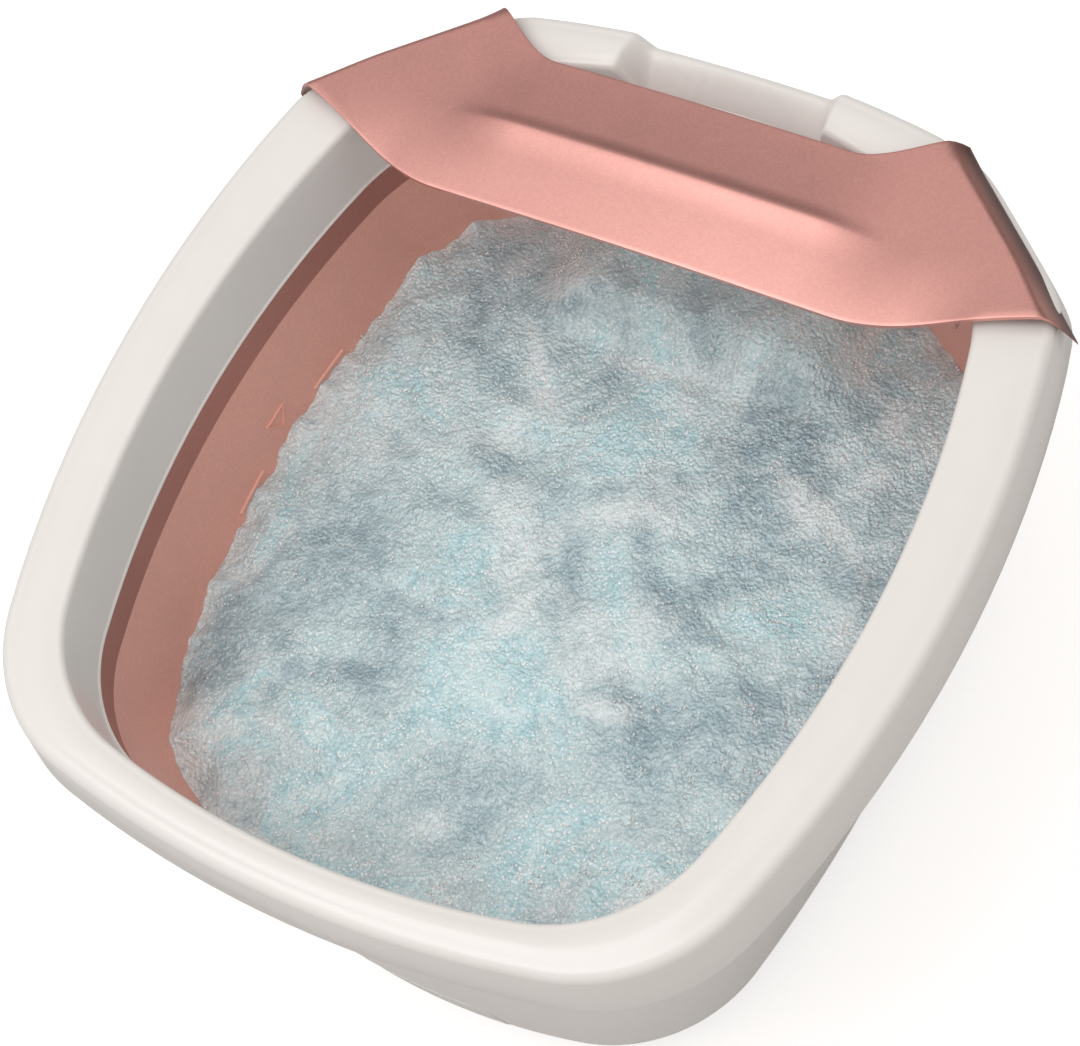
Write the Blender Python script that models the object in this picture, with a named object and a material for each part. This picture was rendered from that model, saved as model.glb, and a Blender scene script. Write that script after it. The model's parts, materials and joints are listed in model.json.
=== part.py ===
"""Foot spa bath: a moulded tub with a rim cover, a lift-off splash guard and its works under the floor.

Units are metres and +Z is up. The user sits on the -Y side, so the heel end is at -Y and the toe end,
with the splash guard and the pouring notch, is at +Y. The origin lies on the ground under the middle.
"""
import math

import bmesh
import bpy
from mathutils import Matrix, Vector

# Clearances between pieces
GAP = 0.0003
SLIDE_GAP = 0.0006
OVERRUN = 0.004

# Rim cover, seen from above, measured at the crease round its top
RIM_TOP_Z = 0.200
RIM_HALF_WIDTH = 0.1808
RIM_HALF_LENGTH = 0.1902
RIM_WIDEST_Y = 0.0076
RIM_SIDE_RADIUS = 0.467
RIM_END_RADIUS = 0.495
RIM_CORNER_RADIUS = 0.072
RIM_WALL = 0.0028
RIM_CREASE = 0.0045
RIM_CROWN = 0.0012
SKIRT_DEPTH = 0.025
SKIRT_FLARE = 0.0029

# Mouth of the tub, the inner edge of the rim cover
RIM_SIDE_WIDTH = 0.0265
RIM_END_WIDTH = 0.0169
MOUTH_HALF_WIDTH = RIM_HALF_WIDTH - RIM_SIDE_WIDTH
MOUTH_HALF_LENGTH = RIM_HALF_LENGTH - RIM_END_WIDTH
MOUTH_WIDEST_Y = -0.0027
MOUTH_SIDE_RADIUS = 0.414
MOUTH_HEEL_RADIUS = 0.396
MOUTH_HEEL_CORNER = 0.067
MOUTH_TOE_RADIUS = 0.236
MOUTH_TOE_CORNER = 0.079
LIP_ROUND = 0.003
LIP_DEPTH = 0.036
LIP_LEAN = 0.0012

# Pouring notch at the toe end
NOTCH_HALF_WIDTH = 0.038
NOTCH_SHOULDER = 0.010
NOTCH_OUTER_DEPTH = 0.0085
NOTCH_INNER_DEPTH = 0.0200
NOTCH_SAG = 0.0015

# Tub liner
LINER_WALL = 0.0025
STRIP_DEPTH = 0.014
STRIP_RECESS = 0.0005
LINER_DRAFT_DEG = 13.0
FLOOR_Z = 0.052
FLOOR_FILLET = 0.018
SHELF_Z = 0.128
SHELF_DEPTH = 0.030
SHELF_STEP = 0.003
SHELF_DRAIN = 0.0006

# Outer shell, measured where its bottom fillet starts
SHELL_WALL = 0.0028
SHELL_TUCK = 0.0020
BASE_SIDE_TAPER = 0.0558
BASE_END_TAPER = 0.0242
BASE_HALF_WIDTH = RIM_HALF_WIDTH - BASE_SIDE_TAPER
BASE_HALF_LENGTH = RIM_HALF_LENGTH - BASE_END_TAPER
BASE_SIDE_RADIUS = 0.620
BASE_END_RADIUS = 0.280
BASE_CORNER_RADIUS = 0.070
BASE_FILLET = 0.018
BASE_Z = 0.005
BASE_LIP = 0.005
GASKET_HEIGHT = 0.0015
GASKET_WIDTH = 0.0024

# Splash guard, laid out from the rim's widest place and its toe end
GUARD_THICKNESS = 0.0020
GUARD_LIFT = 0.0026
GUARD_ARCH = 0.0030
GUARD_FRONT_INSET = 0.0992
GUARD_FRONT_Y = RIM_HALF_LENGTH - GUARD_FRONT_INSET
GUARD_BACK_INSET = 0.0307
GUARD_BACK_Y = RIM_HALF_LENGTH - GUARD_BACK_INSET
GUARD_FRONT_SIDE_INSET = 0.0828
GUARD_FRONT_HALF = RIM_HALF_WIDTH - GUARD_FRONT_SIDE_INSET
GUARD_BACK_SIDE_INSET = 0.1148
GUARD_BACK_HALF = RIM_HALF_WIDTH - GUARD_BACK_SIDE_INSET
GUARD_TIP_OVERHANG = 0.0078
GUARD_TIP_INSET = 0.0692
GUARD_TIP_Y = RIM_HALF_LENGTH - GUARD_TIP_INSET
GUARD_TIP_DROP = 0.0150
GUARD_CORNER_SIDE_INSET = 0.0758
GUARD_CORNER_X = RIM_HALF_WIDTH - GUARD_CORNER_SIDE_INSET
GUARD_CORNER_INSET = 0.0102
GUARD_CORNER_Y = RIM_HALF_LENGTH - GUARD_CORNER_INSET
GUARD_FOLD = 0.010
GUARD_RIDGE_INSET = 0.0617
GUARD_RIDGE_Y = RIM_HALF_LENGTH - GUARD_RIDGE_INSET
GUARD_RIDGE_HEIGHT = 0.0050
GUARD_RIDGE_FRONT = 0.030
GUARD_RIDGE_BACK = 0.014
GUARD_RIDGE_SIDE_INSET = 0.0888
GUARD_RIDGE_HALF = RIM_HALF_WIDTH - GUARD_RIDGE_SIDE_INSET
GUARD_RIDGE_FADE = 0.022
GUARD_ROW_SHARES = (0, 0.2, 0.4, 0.55, 0.62, 0.75, 0.88, 1)
GUARD_END_STEPS = 7
HOOK_INSET = 0.0732
HOOK_Y = RIM_HALF_LENGTH - HOOK_INSET
HOOK_WIDTH = 0.010
HOOK_DEPTH = 0.014
HOOK_THICKNESS = 0.0022

# Accessory drawer in the heel end
DRAWER_HALF_WIDTH = 0.030
DRAWER_TOP_Z = 0.0460
DRAWER_BOTTOM_Z = 0.0150
DRAWER_CORNER = 0.008
DRAWER_PROUD = 0.0012
DRAWER_FRONT_WALL = 0.0030
TRAY_LENGTH = 0.092
TRAY_WALL = 0.0018
TRAY_HEIGHT = 0.022
TRAY_SIDE_GAP = 0.0024
RUNNER_THICKNESS = 0.0022
RUNNER_HEIGHT = 0.012
RUNNER_FOOT = 0.007
DRAWER_TRAVEL = 0.070

# Stored pedicure heads
HEAD_RADIUS = 0.0125
HEAD_HEIGHT = 0.0130
HEAD_PITCH = 0.030
HEAD_SOCKET = 0.0050

# Base pan, its screws and the rubber feet
PAN_THICKNESS = 0.0025
PAN_RIM_HEIGHT = 0.006
FOOT_RADIUS = 0.010
FOOT_PEG_RADIUS = 0.0030
FOOT_PEG_HEAD = 0.0044
FOOT_SIDE_SHARE = 0.5
FOOT_SIDE_SPARE = 0.0151
FOOT_END_SHARE = 0.90
FOOT_INSET = 0.0334
FOOT_Y = BASE_HALF_LENGTH * FOOT_END_SHARE - FOOT_INSET
FOOT_ROUND = 0.0012
BOSS_RADIUS = 0.0045
SCREW_RADIUS = 0.0015
SCREW_HEAD_RADIUS = 0.0035
SCREW_HEAD_HEIGHT = 0.0014
SCREW_LENGTH = 0.013
BOSS_HEEL_SIDE_INSET = 0.0328
BOSS_HEEL_INSET = 0.074
BOSS_HEEL_Y = BASE_HALF_LENGTH - BOSS_HEEL_INSET
BOSS_MID_X = 0.094
BOSS_MID_Y = 0.010
BOSS_TOE_X = 0.030
BOSS_TOE_INSET = 0.072
BOSS_TOE_Y = BASE_HALF_LENGTH - BOSS_TOE_INSET
VENT_COUNT = 5
VENT_WIDTH = 0.003
VENT_LENGTH = 0.026
VENT_PITCH = 0.0065

# Massage plates under the heels, between the middle of the floor and the bubble strips
PLATE_INNER_X = 0.026
PLATE_SIDE_INSET = 0.0908
PLATE_OUTER_X = RIM_HALF_WIDTH - PLATE_SIDE_INSET
PLATE_X = (PLATE_INNER_X + PLATE_OUTER_X) / 2
PLATE_WIDTH = PLATE_OUTER_X - PLATE_INNER_X
PLATE_FRONT_Y = -0.042
PLATE_END_SHARE = 0.80
PLATE_CORNER_SHARE = 0.15
PLATE_END_SPARE = 0.0207
PLATE_BACK_Y = PLATE_END_SPARE + PLATE_CORNER_SHARE * PLATE_OUTER_X - PLATE_END_SHARE * RIM_HALF_LENGTH
PLATE_Y = (PLATE_FRONT_Y + PLATE_BACK_Y) / 2
PLATE_LENGTH = PLATE_FRONT_Y - PLATE_BACK_Y
PLATE_THICKNESS = 0.0022
NODE_COLUMNS = 4
NODE_ROWS = 5
NODE_HEIGHT = 0.0042
NODE_FOOT_SHARE = 0.62
NODE_TOP_SHARE = 0.30

# Foot rollers
ROLLER_X = PLATE_X
ROLLER_Y = -0.006
ROLLER_MARGIN = 0.007
ROLLER_LENGTH = PLATE_WIDTH - 2 * ROLLER_MARGIN
ROLLER_RADIUS = 0.0110
ROLLER_RIDGES = 3
ROLLER_RIDGE_HEIGHT = 0.0022
AXLE_RADIUS = 0.0020
CRADLE_PLATE = 0.0022
CRADLE_EAR = 0.0030
CRADLE_WIDTH = 0.022
CRADLE_EAR_ROUND = 0.0060
ROLLER_FLOOR_GAP = 0.0012

# Bubble strips and the air duct below them
STRIP_Y = 0.0
STRIP_MARGIN = 0.0015
STRIP_SHARE = 0.7886
STRIP_LENGTH = RIM_HALF_LENGTH * STRIP_SHARE
STRIP_WIDTH = 0.010
STRIP_THICKNESS = 0.0024
STRIP_HOLES = 7
STRIP_HOLE_RADIUS = 0.0010
FEED_RADIUS = 0.0022
DUCT_WIDTH = 0.010
DUCT_HEIGHT = 0.0080
DUCT_SHARE = 0.4
DUCT_Y = STRIP_LENGTH * DUCT_SHARE

# Pedicure post and its lift-off pumice head
POST_Y = 0.030
POST_FLANGE_RADIUS = 0.018
POST_FLANGE = 0.003
POST_RADIUS = 0.0085
POST_HEIGHT = 0.012
PEG_RADIUS = 0.0048
PEG_HEIGHT = 0.0075
PUMICE_RADIUS = 0.0175
PUMICE_HEIGHT = 0.0135
PUMICE_ROUND = 0.003
PUMICE_LIFT = 0.045

# Toe button, its seal, spring and switch
BUTTON_RADIUS = 0.0095
BUTTON_PROUD = 0.0062
BUTTON_DOME = 0.0020
BUTTON_TRAVEL = 0.003
BUTTON_FLANGE = 0.0014
BUTTON_FLANGE_HEIGHT = 0.0015
BUTTON_STEM_RADIUS = 0.0024
SEAL_WIDTH = 0.0020
SEAL_HEIGHT = 0.0016
SPRING_RADIUS = 0.0052
SPRING_WIRE = 0.0005
SPRING_TURNS = 4
SPRING_STEPS = 8
SPRING_ROOM = 0.011
BRACKET_THICKNESS = 0.0020
BRACKET_HALF_WIDTH = 0.015
BRACKET_DEPTH = 0.012
SWITCH_LENGTH = 0.013
SWITCH_WIDTH = 0.0065
SWITCH_HEIGHT = 0.0065

# Heater plate and thermostat
HEATER_WIDTH = 0.110
HEATER_LENGTH = 0.046
HEATER_Y = -0.032
HEATER_THICKNESS = 0.0016
THERMOSTAT_RADIUS = 0.0085
THERMOSTAT_HEIGHT = 0.0050

# Air pump: a snail housing, its lid, wheel and motor
PUMP_X = -0.050
PUMP_Y = 0.020
SNAIL_RADIUS = 0.024
SNAIL_GROWTH = 0.007
SNAIL_HEIGHT = 0.020
SNAIL_WALL = 0.0018
SNAIL_INTAKE_RADIUS = 0.010
SNAIL_DUCT_LENGTH = 0.014
SNAIL_DUCT_WIDTH = 0.013
PUMP_LID = 0.0016
WHEEL_RADIUS = 0.0195
WHEEL_HUB_RADIUS = 0.0055
WHEEL_BLADES = 9
WHEEL_HEIGHT = 0.012
WHEEL_DISC = 0.0012
WHEEL_SWEEP_DEG = 26.0
BLADE_THICKNESS = 0.0012
PUMP_MOTOR_RADIUS = 0.0125
PUMP_MOTOR_HEIGHT = 0.0130
PUMP_SHAFT_RADIUS = 0.00125
HOSE_RADIUS = 0.0036
HOSE_BORE_SHARE = 0.72

# Shaker: a small motor in a clamp with an offset weight
SHAKER_X = 0.052
SHAKER_Y = -0.008
SHAKER_RADIUS = 0.0110
SHAKER_LENGTH = 0.030
SHAKER_CLAMP_WALL = 0.0026
SHAKER_CLAMP_LENGTH = 0.014
SHAKER_CLAMP_FOOT = 0.008
SHAKER_LIFT = 0.0030
WEIGHT_RADIUS = 0.0090
WEIGHT_HUB_RADIUS = 0.0035
WEIGHT_LENGTH = 0.007
SHAKER_SHAFT_RADIUS = 0.0012

# Control board
BOARD_X = 0.052
BOARD_INSET = 0.104
BOARD_Y = BASE_HALF_LENGTH - BOARD_INSET
BOARD_WIDTH = 0.058
BOARD_LENGTH = 0.044
BOARD_THICKNESS = 0.0016
BOARD_POST_HEIGHT = 0.008
BOARD_POST_RADIUS = 0.0028
BOARD_EDGE = 0.0045
RELAY_SIZE = 0.012
CAPACITOR_RADIUS = 0.0042
CAPACITOR_HEIGHT = 0.012

# Cord gland in the toe wall
GLAND_SHARE = 0.25
GLAND_OFFSET = 0.00875
GLAND_X = BASE_HALF_WIDTH * GLAND_SHARE + GLAND_OFFSET
GLAND_Z = 0.038
GLAND_RADIUS = 0.0064
GLAND_BORE_RADIUS = 0.0040
GLAND_FLANGE = 0.0028
GLAND_FLANGE_THICKNESS = 0.0020
GLAND_PROUD = 0.0040
GLAND_SEAT = 0.0006

# Directions
UPWARDS = Vector((0, 0, 1))
TOEWARDS = Vector((0, 1, 0))
SIDEWARDS = Vector((1, 0, 0))

# Facets
END_STEPS = 2
CORNER_STEPS = 5
SIDE_STEPS = 4
FILLET_STEPS = 3
ROUND_STEPS = 16
SMALL_STEPS = 12
FOOT_STEPS = 10
PEG_STEPS = 8
SCREW_STEPS = 6
HALF_TURN_STEPS = 8
HOSE_STEPS = 6

# Colours, roughness and metallic value of each material
WARM_WHITE = ((0.86, 0.85, 0.83), 0.18, 0.0)
ROSE_GOLD = ((0.60, 0.33, 0.28), 0.36, 0.55)
PALE_GREY = ((0.60, 0.60, 0.60), 0.45, 0.0)
DARK_GREY = ((0.10, 0.10, 0.11), 0.50, 0.0)
RUBBER = ((0.05, 0.05, 0.055), 0.80, 0.0)
SOFT_PINK = ((0.72, 0.42, 0.38), 0.50, 0.0)
STEEL = ((0.62, 0.63, 0.64), 0.30, 1.0)
ALUMINIUM = ((0.70, 0.71, 0.72), 0.42, 1.0)
PUMICE = ((0.55, 0.53, 0.50), 0.95, 0.0)
BOARD_GREEN = ((0.03, 0.20, 0.09), 0.45, 0.0)


class ArcOutline:
    """A closed outline of tangent arcs, mirrored about the Y axis, with its own parallel curves."""

    def __init__(self, half_width, widest_y, half_length, side_radius, heel, toe):
        """heel and toe are pairs of end radius and corner radius."""
        self.half_width = half_width
        self.widest_y = widest_y
        self.half_length = half_length
        self.side_radius = side_radius
        self.heel = heel
        self.toe = toe

    def parallel(self, distance):
        """The outline moved outwards by a distance."""
        heel = tuple(radius + distance for radius in self.heel)
        toe = tuple(radius + distance for radius in self.toe)
        half_width = self.half_width + distance
        half_length = self.half_length + distance
        side_radius = self.side_radius + distance
        return ArcOutline(half_width, self.widest_y, half_length, side_radius, heel, toe)

    def corner(self, end_radius, corner_radius, sign):
        """Centres of the end, side and corner arcs at one end; sign is -1 at the heel and 1 at the toe."""
        side = Vector((self.half_width - self.side_radius, self.widest_y))
        end = Vector((0, sign * (self.half_length - end_radius)))
        reach_side = self.side_radius - corner_radius
        reach_end = end_radius - corner_radius
        span = end - side
        distance = span.length
        along = (reach_side ** 2 - reach_end ** 2 + distance ** 2) / (2 * distance)
        across = math.sqrt(max(reach_side ** 2 - along ** 2, 0))
        unit = span / distance
        normal = Vector((abs(unit.y), -unit.x * math.copysign(1, unit.y)))
        return end, side, side + unit * along + normal * across

    def half(self, sign, end_stations):
        """Points from the middle of one end round to the widest place, on the +X side."""
        end_radius, corner_radius = self.toe if sign > 0 else self.heel
        end, side, corner = self.corner(end_radius, corner_radius, sign)
        to_end = corner - end
        to_side = corner - side
        start = math.atan2(to_end.x, sign * to_end.y)
        finish = math.atan2(to_side.x, sign * to_side.y)
        points = []
        for x in end_stations:
            points.append((x, end.y + sign * math.sqrt(end_radius ** 2 - x ** 2)))
        first = math.asin(end_stations[-1] / end_radius)
        for step in range(1, END_STEPS + 1):
            angle = first + (start - first) * step / END_STEPS
            points.append((end_radius * math.sin(angle), end.y + sign * end_radius * math.cos(angle)))
        for step in range(1, CORNER_STEPS + 1):
            angle = start + (finish - start) * step / CORNER_STEPS
            x = corner.x + corner_radius * math.sin(angle)
            points.append((x, corner.y + sign * corner_radius * math.cos(angle)))
        for step in range(1, SIDE_STEPS):
            angle = finish + (math.pi / 2 - finish) * step / SIDE_STEPS
            x = side.x + self.side_radius * math.sin(angle)
            points.append((x, side.y + sign * self.side_radius * math.cos(angle)))
        return points

    def points(self):
        """The whole outline, counter-clockwise from the middle of the heel end."""
        heel = self.half(-1, [0])
        toe = self.half(1, NOTCH_STATIONS)
        right = heel + [(self.half_width, self.widest_y)] + toe[::-1]
        left = [(-x, y) for x, y in reversed(right[1:-1])]
        return right + left

    def end_y(self, x, sign):
        """The Y of one end arc at a place x across it."""
        end_radius = (self.toe if sign > 0 else self.heel)[0]
        return sign * (self.half_length - end_radius + math.sqrt(end_radius ** 2 - x ** 2))

    def side_x(self, y):
        """The X of the outline's +X side at a place y along it."""
        right = [point for point in self.points() if point[0] >= 0]
        right.sort(key=lambda point: point[1])
        for (low_x, low_y), (high_x, high_y) in zip(right, right[1:]):
            if low_y <= y <= high_y and high_y > low_y:
                return low_x + (high_x - low_x) * (y - low_y) / (high_y - low_y)
        return 0

    def outside(self, x, y):
        """How far a place on the +X side lies outside the outline; negative inside it."""
        place = Vector((abs(x), y))
        nearest = math.inf
        loop = [Vector(point) for point in self.points()]
        for start, finish in zip(loop, loop[1:] + loop[:1]):
            along = finish - start
            share = min(max((place - start).dot(along) / along.length_squared, 0), 1)
            gap = place - start - along * share
            if gap.length < abs(nearest):
                nearest = gap.length if along.x * gap.y - along.y * gap.x < 0 else -gap.length
        return nearest


NOTCH_STATIONS = [
    0,
    NOTCH_HALF_WIDTH / 2,
    NOTCH_HALF_WIDTH,
    NOTCH_HALF_WIDTH + NOTCH_SHOULDER / 2,
    NOTCH_HALF_WIDTH + NOTCH_SHOULDER,
]
RIM = ArcOutline(
    RIM_HALF_WIDTH, RIM_WIDEST_Y, RIM_HALF_LENGTH, RIM_SIDE_RADIUS,
    (RIM_END_RADIUS, RIM_CORNER_RADIUS), (RIM_END_RADIUS, RIM_CORNER_RADIUS),
)
MOUTH = ArcOutline(
    MOUTH_HALF_WIDTH, MOUTH_WIDEST_Y, MOUTH_HALF_LENGTH, MOUTH_SIDE_RADIUS,
    (MOUTH_HEEL_RADIUS, MOUTH_HEEL_CORNER), (MOUTH_TOE_RADIUS, MOUTH_TOE_CORNER),
)
BASE = ArcOutline(
    BASE_HALF_WIDTH, RIM_WIDEST_Y, BASE_HALF_LENGTH, BASE_SIDE_RADIUS,
    (BASE_END_RADIUS, BASE_CORNER_RADIUS), (BASE_END_RADIUS, BASE_CORNER_RADIUS),
)

# Heights and places that follow from the sizes above
GUARD_TIP_X = RIM.side_x(GUARD_TIP_Y) + GUARD_TIP_OVERHANG
FOOT_X = BASE.side_x(FOOT_Y) * FOOT_SIDE_SHARE + FOOT_SIDE_SPARE
BOSS_HEEL_X = BASE.side_x(-BOSS_HEEL_Y) - BOSS_HEEL_SIDE_INSET
FLANGE_TOP_Z = RIM_TOP_Z - RIM_WALL - GAP
FLANGE_EDGE = RIM_WALL + 2 * GAP
GASKET_OUTSIDE = RIM_WALL + 3 * GAP
GASKET_INSIDE = GASKET_OUTSIDE + GASKET_WIDTH
GASKET_TOP_Z = FLANGE_TOP_Z - LINER_WALL - GAP
SHELL_TOP_Z = GASKET_TOP_Z - GASKET_HEIGHT - GAP
SHELL_SHOULDER_Z = RIM_TOP_Z - SKIRT_DEPTH - RIM_WALL
SHELL_FILLET_Z = BASE_Z + BASE_FILLET
LEDGE_Z = RIM_TOP_Z - LIP_DEPTH - GAP
STRIP_Z = LEDGE_Z - STRIP_DEPTH
FLOOR_UNDER_Z = FLOOR_Z - LINER_WALL
DRAFT = math.tan(math.radians(LINER_DRAFT_DEG))
PAN_Z = BASE_Z + PAN_THICKNESS + GAP
PAN_TOP_Z = PAN_Z + PAN_THICKNESS
ROLLER_Z = FLOOR_Z + GAP + CRADLE_PLATE + ROLLER_FLOOR_GAP + ROLLER_RADIUS + ROLLER_RIDGE_HEIGHT


def smooth(value):
    """Eases 0 to 1 with level ends."""
    value = min(max(value, 0), 1)
    return value * value * (3 - 2 * value)


def notch_share(x, y):
    """How deep the pouring notch is at a place, from 0 on the plain rim to 1 on its floor."""
    if y <= 0:
        return 0
    return 1 - smooth((abs(x) - NOTCH_HALF_WIDTH) / NOTCH_SHOULDER)


def ring(outline, offset, z, depth=0):
    """One row of points along a parallel of an outline, lowered by a depth in the notch."""
    row = []
    for x, y in outline.parallel(offset).points():
        drop = depth
        if depth and abs(x) < NOTCH_HALF_WIDTH:
            drop += NOTCH_SAG * (1 - (x / NOTCH_HALF_WIDTH) ** 2)
        row.append(Vector((x, y, z - drop * notch_share(x, y))))
    return row


def notch_depth(inset):
    """The notch's depth under the rim's top wall, at a distance inside the rim's crease."""
    run = RIM_HALF_LENGTH - MOUTH_HALF_LENGTH - 2 * RIM_WALL
    return NOTCH_OUTER_DEPTH + (NOTCH_INNER_DEPTH - NOTCH_OUTER_DEPTH) * (inset - RIM_WALL) / run


def middle_ring(first, second, lift):
    """A row halfway between two rows, raised by a crown."""
    return [(a + b) / 2 + Vector((0, 0, lift)) for a, b in zip(first, second)]


def make_material(name, finish):
    """A Principled material from a colour, roughness and metallic value."""
    colour, roughness, metallic = finish
    material = bpy.data.materials.new(name)
    material.use_nodes = True
    shader = material.node_tree.nodes["Principled BSDF"]
    shader.inputs["Base Color"].default_value = (*colour, 1)
    shader.inputs["Roughness"].default_value = roughness
    shader.inputs["Metallic"].default_value = metallic
    return material


def add_object(name, mesh_source, finish, parent=None):
    """Turns a bmesh into an object with its own material; faces point outwards."""
    bmesh.ops.remove_doubles(mesh_source, verts=mesh_source.verts, dist=GAP / 100)
    bmesh.ops.recalc_face_normals(mesh_source, faces=mesh_source.faces)
    mesh = bpy.data.meshes.new(name)
    mesh_source.to_mesh(mesh)
    mesh_source.free()
    mesh.shade_smooth()
    mesh.set_sharp_from_angle(angle=math.radians(35))
    body = bpy.data.objects.new(name, mesh)
    bpy.context.scene.collection.objects.link(body)
    if finish:
        mesh.materials.append(make_material(name, finish))
    if parent:
        body.parent = parent
        body.matrix_parent_inverse = Matrix.Translation(-parent.location)
    return body


def make_pivot(name, place):
    """An empty that stands on a joint's axis."""
    pivot = bpy.data.objects.new(name, None)
    pivot.location = place
    pivot.empty_display_size = FOOT_RADIUS
    bpy.context.scene.collection.objects.link(pivot)
    return pivot


def bridge_rows(mesh, rows, closed):
    """Joins rows of points with faces; closed joins the last row to the first, else ends are capped."""
    levels = [[mesh.verts.new(point) for point in row] for row in rows]
    pairs = list(zip(levels, levels[1:]))
    if closed:
        pairs.append((levels[-1], levels[0]))
    for lower, upper in pairs:
        for index in range(len(lower)):
            after = (index + 1) % len(lower)
            mesh.faces.new((lower[index], lower[after], upper[after], upper[index]))
    if not closed:
        mesh.faces.new(levels[0])
        mesh.faces.new(levels[-1])


def lofted(name, rows, finish, closed=False, parent=None):
    """A closed body through rows of points."""
    mesh = bmesh.new()
    bridge_rows(mesh, rows, closed)
    return add_object(name, mesh, finish, parent)


def polygon_rows(outline, low, high):
    """Two level rows of a flat outline."""
    return [[Vector((x, y, low)) for x, y in outline], [Vector((x, y, high)) for x, y in outline]]


def rectangle(x, y, width, length):
    """Corners of a level rectangle round a centre."""
    left, right = x - width / 2, x + width / 2
    front, back = y - length / 2, y + length / 2
    return [(left, front), (right, front), (right, back), (left, back)]


def round_rectangle(x, y, width, length, radius, steps=3):
    """A level rectangle with rounded corners."""
    points = []
    corners = ((1, -1, 270), (1, 1, 0), (-1, 1, 90), (-1, -1, 180))
    for side_x, side_y, start in corners:
        centre_x = x + side_x * (width / 2 - radius)
        centre_y = y + side_y * (length / 2 - radius)
        for step in range(steps + 1):
            angle = math.radians(start + 90 * step / steps)
            points.append((centre_x + radius * math.cos(angle), centre_y + radius * math.sin(angle)))
    return points


def circle(x, y, radius, steps=SMALL_STEPS):
    """A level circle."""
    turns = [2 * math.pi * step / steps for step in range(steps)]
    return [(x + radius * math.cos(turn), y + radius * math.sin(turn)) for turn in turns]


def prism(name, outline, low, high, finish, parent=None):
    """An upright body between two heights."""
    return lofted(name, polygon_rows(outline, low, high), finish, parent=parent)


def turned(name, profile, place, finish, axis=UPWARDS, steps=ROUND_STEPS, parent=None):
    """A turned body along an axis, from radius and height pairs; a radius of zero closes an end."""
    mesh = bmesh.new()
    rows = []
    for radius, height in profile:
        if radius == 0:
            rows.append([mesh.verts.new((0, 0, height))])
            continue
        rows.append([mesh.verts.new((px, py, height)) for px, py in circle(0, 0, radius, steps)])
    pairs = list(zip(rows, rows[1:]))
    if profile[0][0] > 0:
        pairs.append((rows[-1], rows[0]))
    for lower, upper in pairs:
        for index in range(steps):
            mesh.faces.new(turned_face(lower, upper, index))
    turn = UPWARDS.rotation_difference(axis).to_matrix().to_4x4()
    bmesh.ops.transform(mesh, matrix=Matrix.Translation(place) @ turn, verts=mesh.verts)
    return add_object(name, mesh, finish, parent)


def turned_face(lower, upper, index):
    """The corners of one face between two rows; a row of one point is the end of a turned body."""
    after = index + 1
    if len(lower) == 1:
        return lower[0], upper[after % len(upper)], upper[index]
    if len(upper) == 1:
        return lower[index], lower[after % len(lower)], upper[0]
    after %= len(lower)
    return lower[index], lower[after], upper[after], upper[index]


def hide_tool(tool):
    """Marks a body as a cutter or an adder that isn't a piece of the product."""
    tool.hide_render = True
    tool.display_type = "WIRE"


def combine(body, tool, operation):
    """Joins or cuts a body with a tool body."""
    hide_tool(tool)
    modifier = body.modifiers.new(tool.name, "BOOLEAN")
    modifier.operation = operation
    modifier.solver = "EXACT"
    modifier.object = tool
    return body


def cut(body, tool):
    """Cuts a tool body out of a body."""
    return combine(body, tool, "DIFFERENCE")


def unite(body, tool):
    """Adds a tool body to a body."""
    return combine(body, tool, "UNION")


def several(name, outlines, low, high):
    """One tool with an upright body for each outline."""
    mesh = bmesh.new()
    for outline in outlines:
        bridge_rows(mesh, polygon_rows(outline, low, high), False)
    return add_object(name, mesh, None)


def liner_offset(z):
    """How far the liner's water side lies inside the mouth at a height below the strip."""
    return -LIP_LEAN - DRAFT * (STRIP_Z - z)


def floor_outline():
    """The edge of the tub's flat floor, where the fillet ends."""
    start = math.radians(LINER_DRAFT_DEG)
    tangent_z = FLOOR_Z + FLOOR_FILLET * (1 - math.sin(start))
    return MOUTH.parallel(liner_offset(tangent_z) - FLOOR_FILLET * math.cos(start))


def strip_x():
    """The distance of each bubble strip from the middle, just inside the floor's edge."""
    reach = abs(STRIP_Y) + STRIP_LENGTH / 2
    edge = min(floor_outline().side_x(-reach), floor_outline().side_x(reach))
    return edge - STRIP_MARGIN - STRIP_WIDTH / 2


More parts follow.
